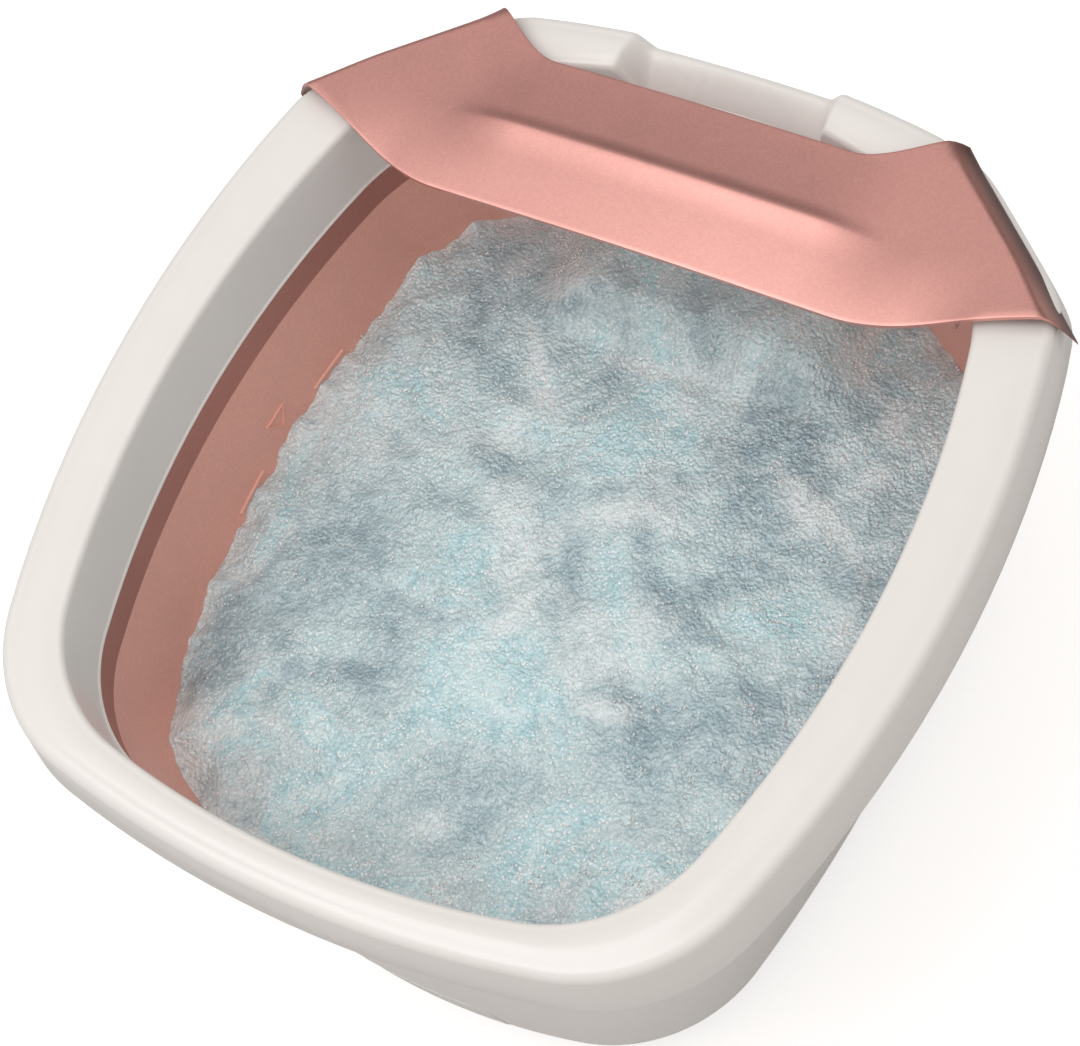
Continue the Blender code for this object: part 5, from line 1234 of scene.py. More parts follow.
@dataclass(frozen=True)
class BathSizes:
    """Sizes and outlines that several sub-assemblies share; the rim's reach comes from the frame."""

    crown: float = 0.0012
    skirt_flare: float = 0.0029
    skirt_depth: float = 0.025
    wall: float = 0.0028
    crease: float = 0.0045
    lip_round: float = 0.003
    lip_depth: float = 0.036
    lip_lean: float = 0.0012
    notch_half: float = 0.038
    notch_shoulder: float = 0.010
    notch_outer: float = 0.0085
    notch_inner: float = 0.0200
    notch_sag: float = 0.0015
    notch_steps: tuple[int, int] = (8, 12)
    toe_cut: float = 0.2072
    corner_dip: float = 0.0045
    gap: float = 0.0003
    widest_y: float = 0.0076
    rim_side: float = 0.467
    rim_end: Pair = (0.495, 0.072)
    mouth_half_width: float = 0.1543
    mouth_half_length: float = 0.1733
    mouth_widest_y: float = -0.0027
    mouth_side: float = 0.414
    mouth_heel: Pair = (0.396, 0.067)
    mouth_toe: Pair = (0.236, 0.079)

    @cached_property
    def rim_top(self) -> float:
        """The height of the rim's crease."""
        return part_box("rim_cover")[1].z - self.crown

    @cached_property
    def stations(self) -> tuple[float, ...]:
        """Places across the toe end at which the notch turns."""
        level, slope = self.notch_steps
        floor = [self.notch_half * step / level for step in range(level + 1)]
        shoulder = [self.notch_half + self.notch_shoulder * step / slope for step in range(1, slope + 1)]
        return tuple(floor + shoulder)

    @cached_property
    def rim(self) -> Outline:
        """The crease round the rim's top."""
        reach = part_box("rim_cover")[1]
        half_width, half_length = reach.x - self.skirt_flare, reach.y - self.skirt_flare
        return Outline(half_width, self.widest_y, half_length, self.rim_side, self.rim_end, self.rim_end,
                       self.stations, self.toe_cut)

    @cached_property
    def mouth(self) -> Outline:
        """The inner edge of the rim."""
        return Outline(self.mouth_half_width, self.mouth_widest_y, self.mouth_half_length, self.mouth_side,
                       self.mouth_heel, self.mouth_toe, self.stations)

    def notch_share(self, x: float, y: float) -> float:
        """How deep the pouring notch is at a place, from 0 on the plain rim to 1 on its floor.

        Args:
            x: The place across.
            y: The place along.

        Returns:
            The share.
        """
        if y <= 0:
            return 0
        return 1 - smooth((abs(x) - self.notch_half) / self.notch_shoulder)

    def ring(self, outline: Outline, offset: float, z: float, depth: float = 0.0) -> Row:
        """A row along a parallel of an outline, lowered by a depth in the notch.

        Args:
            outline: The outline.
            offset: How far the row lies outside it.
            z: The row's height.
            depth: How far the notch lowers it.

        Returns:
            The row.
        """
        row = []
        line = outline.parallel(offset)
        for x, y in line.points():
            drop = depth
            if depth and abs(x) < self.notch_half:
                drop += self.notch_sag * (1 - (x / self.notch_half) ** 2)
            dip = self.corner_dip * line.cut_share(x, y) if depth else 0
            row.append(Vector((x, y, z - drop * self.notch_share(x, y) - dip)))
        return row


SIZES = BathSizes()
BASE = "base"


def blended(first: Row, second: Row, share: float, lift: float = 0.0) -> Row:
    """A row between two rows, raised by a lift."""
    return [a.lerp(b, share) + UP * lift for a, b in zip(first, second)]


@dataclass
class RimCover:
    """The white cover: skirt, crowned top, inner lip and pouring notch."""

    top_rows: int = 10
    edge_round: float = 0.0006
    bead: float = 0.0008

    def build(self) -> None:
        """Builds and dresses the cover."""
        ring = SIZES.ring
        top, wall, rim, mouth = SIZES.rim_top, SIZES.wall, SIZES.rim, SIZES.mouth
        flare, crease, turn = SIZES.skirt_flare, SIZES.crease, SIZES.lip_round
        low, edge, bead = top - SIZES.skirt_depth, self.edge_round, self.bead
        flare_top = flare * crease / SIZES.skirt_depth
        foot_arc = arc(flare - edge, low + edge, (edge, edge), -90, 0, 3)
        outer_arc = arc(-crease, top - crease, (crease + flare_top, crease), 0, 90, 9)
        inner_arc = arc(turn, top - turn, (turn, turn), 90, 180, 7)
        outer = [ring(rim, offset, z, SIZES.notch_outer) for offset, z in outer_arc]
        inner = [ring(mouth, offset, z, SIZES.notch_inner) for offset, z in inner_arc]
        rows = [ring(rim, offset, z) for offset, z in foot_arc] + outer
        for step in range(1, self.top_rows):
            share = step / self.top_rows
            rows.append(blended(outer[-1], inner[0], share, SIZES.crown * 4 * share * (1 - share)))
        rows += inner
        bead_z = top - SIZES.lip_depth + 2 * bead
        foot = ring(mouth, -SIZES.lip_lean, bead_z + bead)
        rows += [blended(inner[-1], foot, share) for share in (0.3, 0.6, 0.85, 1.0)]
        bead_arc = arc(-SIZES.lip_lean, bead_z, (bead, bead), 135, 225, 4)
        rows += [ring(mouth, offset, z) for offset, z in bead_arc]
        rows += [ring(mouth, offset - SIZES.lip_lean, top - SIZES.lip_depth) for offset in (edge, wall)]
        rows += [
            ring(mouth, wall, top - wall - crease, SIZES.notch_inner),
            ring(mouth, wall + turn, top - wall, SIZES.notch_inner),
            ring(rim, -wall - crease, top - wall, SIZES.notch_outer),
            ring(rim, -wall, top - wall - crease, SIZES.notch_outer),
            ring(rim, flare - wall, low),
        ]
        piece = loose_object("rim_cover_moulding", loft(rows, Caps.LOOP))
        finish_piece(piece, WHITE, BASE, ["rim_cover"])


@dataclass
class TubLiner:
    """The rose-gold bowl with its toe shelf and fill marks."""

    wall: float = 0.0025
    strip_depth: float = 0.014
    strip_recess: float = 0.0005
    draft_deg: float = 13.0
    floor_z: float = 0.052
    fillet: float = 0.018
    shelf_z: float = 0.128
    shelf_depth: float = 0.030
    shelf_round: float = 0.003
    drain: float = 0.0006
    strip_round: float = 0.0006
    fillet_steps: int = 10
    shelf_steps: int = 5
    bore_reach: float = 0.01
    mark_z: float = 0.1125
    mark_length: float = 0.021
    mark_radius: float = 0.0009
    mark_steps: int = 8
    mark_centres: tuple[tuple[str, float], ...] = (("toe", 0.040), ("heel", -0.023))
    pointer_y: float = 0.0085
    pointer_lift: float = 0.003
    pointer: tuple[Pair, ...] = ((-0.006, 0.008), (0.006, 0.008), (0.0, 0.0005))

    @property
    def ledge_z(self) -> float:
        """The height at which the liner shows below the rim's lip."""
        return SIZES.rim_top - SIZES.lip_depth - SIZES.gap

    @property
    def strip_z(self) -> float:
        """The lower edge of the upright strip."""
        return self.ledge_z - self.strip_depth

    def offset(self, z: float) -> float:
        """How far the liner's water side lies inside the mouth at a height below the strip."""
        return -SIZES.lip_lean - math.tan(math.radians(self.draft_deg)) * (self.strip_z - z)

    def shelf_ring(self, offset: float, z: float, drain: float = 0.0, pull: float = 0.0) -> Row:
        """A row from the shelf's edge down, pushed inwards at the toe end.

        Args:
            offset: How far the row lies outside the mouth.
            z: Its height.
            drain: How far it is lower at the shelf.
            pull: How far it is nearer to the toe wall than the shelf's edge.

        Returns:
            The row.
        """
        row = []
        for x, y in SIZES.mouth.parallel(offset).points():
            share = SIZES.notch_share(x, y)
            row.append(Vector((x, y - (self.shelf_depth - pull) * share, z - drain * share)))
        return row

    def wall_rows(self, under: float) -> list[Row]:
        """Rows of the water side, or of the dry side a wall's thickness behind it.

        Args:
            under: Zero for the water side, else the wall's thickness.

        Returns:
            The rows from the strip down to the floor's edge.
        """
        ring = SIZES.ring
        rows = [ring(SIZES.mouth, under + self.strip_recess - SIZES.lip_lean, self.ledge_z - 2 * under)]
        for rise in (self.strip_round, 0):
            rows.append(ring(SIZES.mouth, under - SIZES.lip_lean, self.strip_z + rise))
        for share in (0.04, 0.35, 0.7, 1.0):
            z = self.strip_z + (self.shelf_z - under - self.strip_z) * share
            rows.append(ring(SIZES.mouth, self.offset(z) + under, z))
        round_over = self.shelf_round
        for step in range(self.shelf_steps + 1):
            share = step / self.shelf_steps
            angle = math.pi / 2 * share
            z = self.shelf_z - under - round_over * (1 - math.cos(angle))
            level = self.shelf_z - under - round_over * share
            pull = round_over * (1 - math.sin(angle))
            row = self.shelf_ring(self.offset(level) + under, z, self.drain, pull)
            flat = ring(SIZES.mouth, self.offset(level) + under, level)
            rows.append([self.pick(a, b) for a, b in zip(row, flat)])
        start = math.radians(self.draft_deg)
        centre_z = self.floor_z + self.fillet
        tangent_z = centre_z - self.fillet * math.sin(start)
        radius = self.fillet + under
        for step in range(self.fillet_steps + 1):
            angle = start + (math.pi / 2 - start) * step / self.fillet_steps
            inward = radius * (math.cos(start) - math.cos(angle))
            z = centre_z - radius * math.sin(angle)
            rows.append(self.shelf_ring(self.offset(tangent_z) + under - inward, z))
        return rows

    @staticmethod
    def pick(pushed: Vector, plain: Vector) -> Vector:
        """The plain wall point beside the shelf and the pushed one on it."""
        share = SIZES.notch_share(plain.x, plain.y) if plain.y > 0 else 0
        return Vector((pushed.x, pushed.y, plain.z + (pushed.z - plain.z) * share))

    def build(self) -> None:
        """Builds and dresses the liner and its fill marks."""
        ring = SIZES.ring
        behind = SIZES.wall + SIZES.gap
        flange_z = SIZES.rim_top - SIZES.wall - SIZES.gap
        edge = SIZES.wall + 2 * SIZES.gap
        halves = []
        for under in (0.0, self.wall):
            rows = [
                ring(SIZES.rim, -edge, flange_z - under, SIZES.notch_outer + SIZES.gap),
                ring(SIZES.mouth, behind + under, flange_z - under, SIZES.notch_inner - under),
                ring(SIZES.mouth, behind + under, self.ledge_z - under),
            ]
            halves.append(rows + self.wall_rows(under))
        water, dry = halves
        piece = loose_object("tub_liner_moulding", loft(water[::-1] + dry, Caps.ENDS))
        button = ToeButton()
        place = (0, button.centre_y, self.shelf_z)
        carve(piece, drill(button.radius + SIZES.gap, self.bore_reach, place))
        finish_piece(piece, ROSE_LINER, BASE, ["tub_liner"])
        self.dress_strip(piece.data)
        self.build_marks()

    def dress_strip(self, data: bpy.types.Mesh) -> None:
        """Gives the upright strip under the lip a darker copy of the liner's finish, as painted shade under
        the lip.

        Args:
            data: The liner's mesh.
        """
        data.materials.append(ROSE_STRIP_PAINTED_SHADE.material())
        for face in data.polygons:
            heights = [data.vertices[index].co.z for index in face.vertices]
            if min(heights) > self.strip_z - SIZES.gap / 3 and max(heights) < self.ledge_z + SIZES.gap / 3:
                face.material_index = 1

    def wall_x(self, y: float, z: float) -> float:
        """The X of the liner's water side on the +X side at a place.

        Args:
            y: The place along.
            z: The height.

        Returns:
            The X.
        """
        outline = SIZES.mouth.parallel(self.offset(z))
        centre = outline.half_width - outline.side_radius
        return centre + math.sqrt(outline.side_radius ** 2 - (y - outline.widest_y) ** 2)

    def build_marks(self) -> None:
        """Two raised dashes and a small triangle that show the highest water level."""
        paths = {}
        for word, centre in self.mark_centres:
            shares = [step / self.mark_steps - 0.5 for step in range(self.mark_steps + 1)]
            paths[word] = [(centre + self.mark_length * share, self.mark_z) for share in shares]
        base = self.mark_z + self.pointer_lift
        paths["pointer"] = [(self.pointer_y + along, base + rise) for along, rise in self.pointer]
        sweep = SweepTree()
        for word, places in paths.items():
            path = [Vector((-self.wall_x(y, z), y, z)) for y, z in places]
            closed = word == "pointer"
            piece = sweep.draw(f"fill_mark_{word}", path, self.mark_radius, ROSE_LINER, closed)
            finish_piece(piece, ROSE_LINER, BASE)


@dataclass
class OuterShell:
    """The white tub wall with its bottom fillet, drawer opening and cord hole."""

    wall: float = 0.0028
    tuck: float = 0.0020
    base_z: float = 0.005
    fillet: float = 0.018
    fillet_steps: int = 10
    inner_steps: int = 4
    lip: float = 0.005
    pan_wall: float = 0.0025
    foot_half_width: float = 0.125
    foot_half_length: float = 0.166
    foot_side: float = 0.620
    foot_end: Pair = (0.280, 0.070)
    opening_margin: float = 0.0008
    opening_reach: float = 0.012
    hole_reach: float = 0.008
    gasket_radius: float = 0.0007
    gasket_inset: float = 0.0021
    gasket_drop: float = 0.0026

    @cached_property
    def foot(self) -> Outline:
        """The outline where the bottom fillet starts."""
        return Outline(self.foot_half_width, SIZES.widest_y, self.foot_half_length, self.foot_side,
                       self.foot_end, self.foot_end, SIZES.stations)

    @property
    def shoulder_z(self) -> float:
        """The height at which the wall passes behind the skirt."""
        return SIZES.rim_top - SIZES.skirt_depth - SIZES.wall

    def wall_y(self, x: float, z: float, end: End) -> float:
        """The Y of the shell's outer face at one end.

        Args:
            x: The place across.
            z: The height.
            end: The end of the bath.

        Returns:
            The Y.
        """
        upper = SIZES.rim.parallel(-self.tuck).end_y(x, end)
        lower = self.foot.end_y(x, end)
        fillet_z = self.base_z + self.fillet
        if z >= fillet_z:
            return lower + (upper - lower) * (z - fillet_z) / (self.shoulder_z - fillet_z)
        drop = min((fillet_z - z) / self.fillet, 1)
        return self.foot.parallel(-self.fillet * (1 - math.sqrt(1 - drop ** 2))).end_y(x, end)

    def build(self) -> None:
        """Builds and dresses the shell."""
        ring = SIZES.ring
        rim, foot = SIZES.rim, self.foot
        inset = SIZES.wall + 3 * SIZES.gap
        fillet_z = self.base_z + self.fillet
        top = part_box("outer_shell")[1].z
        shoulder = ring(rim, -self.tuck, self.shoulder_z)
        start = ring(foot, 0, fillet_z)
        outside = [ring(rim, -inset, top, SIZES.notch_outer + SIZES.gap), shoulder]
        outside += [blended(shoulder, start, share) for share in (0.25, 0.5, 0.75, 1.0)]
        outside += self.fillet_rows(0.0, self.fillet, self.fillet_steps)
        outside.append(ring(foot, -self.fillet - self.lip, self.base_z))
        inside = [ring(rim, -inset - self.wall, top, SIZES.notch_outer + self.wall),
                  ring(rim, -self.tuck - self.wall, self.shoulder_z), ring(foot, -self.wall, fillet_z)]
        inside += self.fillet_rows(self.wall, self.fillet - self.pan_wall, self.inner_steps)
        inside.append(ring(foot, -self.fillet - self.lip, self.base_z + self.pan_wall))
        piece = loose_object("outer_shell_moulding", loft(outside + inside[::-1], Caps.LOOP))
        opening = Drawer().panel_mesh(self.opening_margin, self.opening_reach, self.opening_reach)
        carve(piece, loose_object("drawer_opening_tool", opening))
        gland = CordGland()
        carve(piece, drill(gland.radius + SIZES.gap, self.hole_reach, gland.place, gland.axis))
        finish_piece(piece, BODY_WHITE, BASE, ["outer_shell"])
        self.build_gasket()

    def fillet_rows(self, inset: float, radius: float, steps: int) -> list[Row]:
        """Rows round the bottom fillet.

        Args:
            inset: How far the fillet starts inside the foot's outline.
            radius: The fillet's radius.
            steps: Number of rows.

        Returns:
            The rows, from the first one below the fillet's start.
        """
        rows = []
        for step in range(1, steps + 1):
            angle = math.pi / 2 * step / steps
            z = self.base_z + self.fillet - radius * math.sin(angle)
            rows.append(SIZES.ring(self.foot, -inset - radius * (1 - math.cos(angle)), z))
        return rows

    def build_gasket(self) -> None:
        """The soft ring under the liner's flange."""
        ring = SIZES.ring
        radius = self.gasket_radius
        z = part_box("shell_gasket")[1].z - radius
        row = ring(SIZES.rim, -SIZES.wall - self.gasket_inset, z, SIZES.notch_outer + self.gasket_drop)
        piece = SweepTree().draw("shell_gasket_ring", row, radius, RUBBER, closed=True)
        finish_piece(piece, RUBBER, BASE, ["shell_gasket"])


@dataclass
class SplashGuard:
    """The rose-gold sheet over the toes."""

    thickness: float = 0.0020
    lift: float = 0.0026
    arch: float = 0.0030
    front_y: float = 0.0925
    back_y: float = 0.1595
    front_half: float = 0.098
    back_half: float = 0.066
    tip: Pair = (0.1745, 0.1210)
    corner: Pair = (0.105, 0.180)
    plan_round: float = 0.010
    end_fold: Pair = (0.0078, 0.0098)
    end_drop: Pair = (0.0100, 0.0065)
    front_fold: float = 0.0035
    front_seat: float = 0.12
    front_roll: Pair = (0.032, 0.0028)
    ridge_y: float = 0.1265
    ridge_height: float = 0.0028
    ridge_round: float = 0.0012
    ridge_front: float = 0.034
    ridge_back: float = 0.033
    ridge_half: float = 0.100
    ridge_fade: float = 0.036
    crest: Triple = (0.0009, 0.011, 0.0055)
    tip_share: float = 0.55
    drop_span: Pair = (-0.25, 0.4)
    drop_power: float = 1.5
    painted_fold_power: float = 0.7
    roll_fade: Pair = (0.11, 0.035)
    back_power: float = 1.3
    columns: tuple[int, int] = (50, 48)
    rows: tuple[int, int] = (28, 34)
    ridge_share: float = 0.55
    row_power: float = 1.3
    row_blend: float = 0.03
    softness: float = 0.0005
    soft_angle_deg: float = 60.0
    hook_y: float = 0.117
    hook: Triple = (0.0022, 0.010, 0.014)
    mouth: Outline = field(default_factory=lambda: SIZES.mouth)

    @cached_property
    def end_run(self) -> Vector:
        """The way along a folded end, from its corner to its tip."""
        return Vector((self.tip[0] - self.corner[0], self.tip[1] - self.corner[1]))

    def sweep(self, x: float, start: float, finish: float, at: float) -> float:
        """How far an edge has swept from its straight middle, from 0 to 1 at a given place."""
        share = smooth((abs(x) - start) / (finish - start))
        return share / smooth((at - start) / (finish - start))

    def edge_front(self, x: float) -> float:
        """The Y of the front edge.

        Args:
            x: The place across.

        Returns:
            The Y.
        """
        round_off, tip = self.plan_round, self.tip
        share = self.sweep(x, self.front_half - round_off, tip[0] + round_off, tip[0])
        return self.front_y + (tip[1] - self.front_y) * share

    def edge_back(self, x: float) -> float:
        """The Y of the back edge.

        Args:
            x: The place across.

        Returns:
            The Y.
        """
        if abs(x) <= self.corner[0]:
            share = self.sweep(x, self.back_half, self.corner[0] + self.plan_round, self.corner[0])
            return self.back_y + (self.corner[1] - self.back_y) * share
        share = (abs(x) - self.corner[0]) / self.end_run.x
        return self.corner[1] + self.end_run.y * share

    def end_place(self, x: float, y: float) -> Pair:
        """A place's share of the way along the folded end, and its distance inside the end's edge.

        Args:
            x: The place across.
            y: The place along.

        Returns:
            The share and the distance.
        """
        along = self.end_run.normalized()
        place = Vector((abs(x) - self.corner[0], y - self.corner[1]))
        return place.dot(along) / self.end_run.length, place.x * along.y - place.y * along.x

    def end_turn(self, x: float, y: float) -> float:
        """How far the folded end has dropped at a place.

        Args:
            x: The place across.
            y: The place along.

        Returns:
            The drop.
        """
        share, inside = self.end_place(x, y)
        at_tip = smooth((share - self.tip_share) / (1 - self.tip_share))
        width = self.end_fold[0] + (self.end_fold[1] - self.end_fold[0]) * at_tip
        start, run = self.drop_span
        drop = self.end_drop[0] * smooth((share - start) / run) + self.end_drop[1] * at_tip
        return drop * max(1 - inside / width, 0) ** self.drop_power

    def painted_fold_shade(self, x: float, y: float) -> float:
        """How much painted shade darkens the lacquer at a place, from 0 to 1 on the edge of a folded end.
        """
        inside = self.end_place(x, y)[1]
        return smooth(1 - max(inside, 0) / self.end_fold[0]) ** self.painted_fold_power

    def ridge_rise(self, x: float, y: float) -> float:
        """How far the ridge with its narrow crest rises at a place.

        Args:
            x: The place across.
            y: The place along.

        Returns:
            The rise.
        """
        front = y < self.ridge_y
        reach, power = (self.ridge_front, 2) if front else (self.ridge_back, self.back_power)
        tall, crest_front, crest_back = self.crest
        fade = 1 - smooth((abs(x) - self.ridge_half + self.ridge_fade) / self.ridge_fade)
        off = math.hypot(y - self.ridge_y, self.ridge_round) - self.ridge_round
        rise = self.ridge_height * fade * max(1 - off / reach, 0) ** power
        return rise + tall * fade * max(1 - off / (crest_front if front else crest_back), 0) ** 2

    def height(self, x: float, y: float) -> float:
        """The height of the upper face.

        Args:
            x: The place across.
            y: The place along.

        Returns:
            The height.
        """
        half = self.mouth.half_width
        seat = SIZES.rim_top + SIZES.crown + SIZES.gap + self.thickness
        inside = max(y - self.edge_front(x), 0)
        over_rim = smooth((abs(x) - half + 2 * self.plan_round) / self.plan_round)
        front_bend = max(1 - inside / self.front_fold, 0) * over_rim
        lifted = self.lift * (1 - self.front_seat * front_bend ** 2)
        run, depth = self.front_roll
        start, fade = self.roll_fade
        rolled = depth * max(1 - inside / run, 0) ** 2 * (1 - smooth((abs(x) - start) / fade))
        arch = self.arch * (1 - smooth(abs(x) / half))
        return seat + arch + lifted + self.ridge_rise(x, y) - rolled - self.end_turn(x, y)

    def rows_at(self, x: float) -> list[float]:
        """The Y of each row at a place across; one row keeps to the ridge.

        Args:
            x: The place across.

        Returns:
            The places along, from the front edge to the back edge.
        """
        before, behind = self.rows
        middle = self.ridge_share
        shares = [middle * (1 - (1 - step / before) ** self.row_power) for step in range(before + 1)]
        shares += [middle + (1 - middle) * step / behind for step in range(1, behind + 1)]
        front, back = self.edge_front(x), self.edge_back(x)
        at_ridge = (self.ridge_y - front) / max(back - front, SIZES.gap / 3)
        blend = 1 - smooth((abs(x) - self.ridge_half) / self.row_blend)
        target = middle + (at_ridge - middle) * blend
        places = []
        for share in shares:
            warped = share / middle * target
            if share > middle:
                warped = 1 - (1 - share) / (1 - middle) * (1 - target)
            places.append(front + (back - front) * warped)
        return places

    def build(self) -> None:
        """Builds and dresses the guard with its two hooks."""
        inner, outer = self.columns
        corner, tip = self.corner[0], self.tip[0]
        across = [corner * step / inner for step in range(inner + 1)]
        across += [corner + (tip - corner) * step / outer for step in range(1, outer + 1)]
        mesh = bmesh.new()
        # Painted shade on the folded ends, kept on each point for the lacquer to read.
        shade = mesh.verts.layers.float.new("painted_fold_shade")
        sheets = []
        for drop in (0.0, self.thickness):
            sheet = []
            for x in [-x for x in reversed(across[1:])] + across:
                column = []
                for y in self.rows_at(x):
                    vertex = mesh.verts.new((x, y, self.height(x, y) - drop))
                    vertex[shade] = self.painted_fold_shade(x, y)
                    column.append(vertex)
                sheet.append(column)
            sheets.append(sheet)
        for sheet in sheets:
            for first, second in zip(sheet, sheet[1:]):
                for index in range(len(first) - 1):
                    mesh.faces.new((first[index], first[index + 1], second[index + 1], second[index]))
        upper, lower = sheets
        for edge in (0, -1):
            for columns in zip(upper, upper[1:], lower[1:], lower):
                mesh.faces.new([column[edge] for column in columns])
        bmesh.ops.remove_doubles(mesh, verts=mesh.verts, dist=MERGE)
        bmesh.ops.recalc_face_normals(mesh, faces=mesh.faces)
        piece = loose_object("splash_guard_sheet", mesh)
        soften(piece, self.softness, angle=math.radians(self.soft_angle_deg))
        finish_piece(piece, ROSE, "guard", ["splash_guard"])
        self.build_hooks()

    def build_hooks(self) -> None:
        """Two tabs under the sheet that drop inside the rim's lip."""
        thick, wide, deep = self.hook
        far = self.hook_y + wide / 2
        side_points = [(y, x) for x, y in self.mouth.points() if x >= 0]
        reach = next(x for y, x in sorted(side_points) if y >= far) - SIZES.lip_lean - 2 * SIZES.gap
        low = SIZES.rim_top - deep
        high = self.height(reach, self.hook_y) - self.thickness / 2
        parts = []
        for side in (-1, 1):
            edges = sorted((side * reach, side * (reach - thick)))
            parts.append(box_mesh((edges[0], self.hook_y - wide / 2, low), (edges[1], far, high)))
        piece = loose_object("splash_guard_hooks", merged(parts))
        soften(piece, self.softness)
        finish_piece(piece, ROSE, "guard")


@dataclass
class Drawer:
    """The accessory drawer with its two spare heads."""

    half_width: float = 0.030
    top_z: float = 0.0460
    bottom_z: float = 0.0150
    corner: float = 0.008
    proud: float = 0.0003
    front_wall: float = 0.0030
    tray_length: float = 0.092
    tray_wall: float = 0.0018
    tray_height: float = 0.022
    side_gap: float = 0.0024
    panel_rows: int = 8
    panel_columns: int = 6
    panel_softness: float = 0.0004
    panel_angle_deg: float = 50.0
    tray_softness: float = 0.0005
    head_bore: Pair = (0.0048, 0.005)
    head_round: float = 0.0008
    head_fine_round: float = 0.0003
    bristle_rows: int = 7
    bristle_radii: Pair = (0.00022, 0.00018)
    bristle_spread: float = 0.9
    bristle_lean: float = 0.08
    bristle_seat: float = 0.95

    def panel_mesh(self, margin: float, proud: float, depth: float) -> Shape:
        """A panel that follows the heel wall in front, with rounded top corners and a flat back.

        Args:
            margin: How much larger it is than the drawer's front, all round.
            proud: How far it stands out of the wall.
            depth: How much further back its flat back lies.

        Returns:
            The mesh.
        """
        shell = OuterShell()
        back_y = shell.wall_y(self.half_width, self.bottom_z, End.HEEL) + self.front_wall + depth
        low, high = self.bottom_z - margin, self.top_z + margin
        radius = self.corner + margin
        half = self.half_width + margin
        count = self.panel_rows
        heights = [low + (high - radius - low) * step / count for step in range(count + 1)]
        turns = [math.pi / 2 * step / count for step in range(1, count + 1)]
        heights += [high - radius + radius * math.sin(turn) for turn in turns]
        rows = []
        for z in heights:
            above = max(z - (high - radius), 0)
            reach = half - radius + math.sqrt(max(radius ** 2 - above ** 2, 0))
            columns = self.panel_columns
            across = [reach * (step / columns - 1) for step in range(2 * columns + 1)]
            front = [Vector((x, shell.wall_y(x, z, End.HEEL) - proud, z)) for x in across]
            back = [Vector((x, back_y, z)) for x in reversed(across)]
            rows.append(front + back)
        return loft(rows, Caps.ENDS)

    def build(self) -> None:
        """Builds the panel, the tray and the spare heads."""
        panel = loose_object("drawer_panel", self.panel_mesh(0.0, self.proud, 0.0))
        soften(panel, self.panel_softness, angle=math.radians(self.panel_angle_deg))
        finish_piece(panel, BODY_WHITE, "drawer", ["drawer_tray"])
        half, wall = self.half_width - self.side_gap, self.tray_wall
        front_face = OuterShell().wall_y(self.half_width, self.bottom_z, End.HEEL)
        front = front_face + self.front_wall * 2 / 3
        back = front + self.tray_length
        low = self.bottom_z + 2 * SIZES.gap
        top = low + self.tray_height
        tray = loose_object("drawer_tray_box", box_mesh((-half, front, low), (half, back, top)))
        inner = half - wall
        hollow = box_mesh((-inner, front + wall, low + wall), (inner, back - wall, 2 * top - low))
        carve(tray, loose_object("tray_hollow_tool", hollow))
        soften(tray, self.tray_softness)
        finish_piece(tray, BODY_WHITE, "drawer")
        self.build_brush()
        self.build_ball()

    def build_brush(self) -> None:
        """The spare brush head with rings of bristles."""
        low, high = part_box("stored_brush_head")
        middle = (low + high) / 2
        radius, half = (high.x - low.x) / 2, (high.z - low.z) / 2
        bore, deep = self.head_bore
        fine, soft = self.head_fine_round, self.head_round
        cup = [(0, deep, 0), (bore, deep, fine), (bore, 0, fine), (radius, 0, soft), (radius, half, soft),
               (0, half, 0)]
        place = (middle.x, middle.y, low.z)
        turned_piece("brush_head_cup", cup, place, PINK, "drawer", ["stored_brush_head"])
        thick, thin = self.bristle_radii
        strand = turned([(0, 0), (thick, 0), (thin, half * 0.98), (0, half)], (0, 0, 0), steps=6)
        seat = low.z + half * self.bristle_seat
        spots = [((middle.x, middle.y, seat), UP)]
        for ring in range(1, self.bristle_rows):
            reach = radius * self.bristle_spread * ring / (self.bristle_rows - 1)
            for step in range(6 * ring):
                angle = 2 * math.pi * step / (6 * ring)
                way = Vector((math.cos(angle), math.sin(angle), 0))
                lean = (way * self.bristle_lean + UP).normalized()
                spots.append(((middle.x + reach * way.x, middle.y + reach * way.y, seat), lean))
        bristles = InstanceTree().place("brush_head_bristles", strand, spots, WHITE, sizes=(0.92, 1.0))
        finish_piece(bristles, WHITE, "drawer", slot=Slot.PINK)

    def build_ball(self) -> None:
        """The spare ball head."""
        low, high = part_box("stored_ball_head")
        middle = (low + high) / 2
        radius, rise = (high.x - low.x) / 2, high.z - low.z
        bore, deep = self.head_bore
        edge = self.head_round / 2
        ball = [(0, deep), (bore, deep), (bore, 0), (radius * 0.97, 0), (radius, edge), (radius, rise / 3)]
        ball += arc(0, rise / 3, (radius, rise * 2 / 3), 9, 81, 8)
        ball.append((0, rise))
        piece = loose_object("ball_head_body", turned(ball, (middle.x, middle.y, low.z)))
        finish_piece(piece, WHITE, "drawer", ["stored_ball_head"])


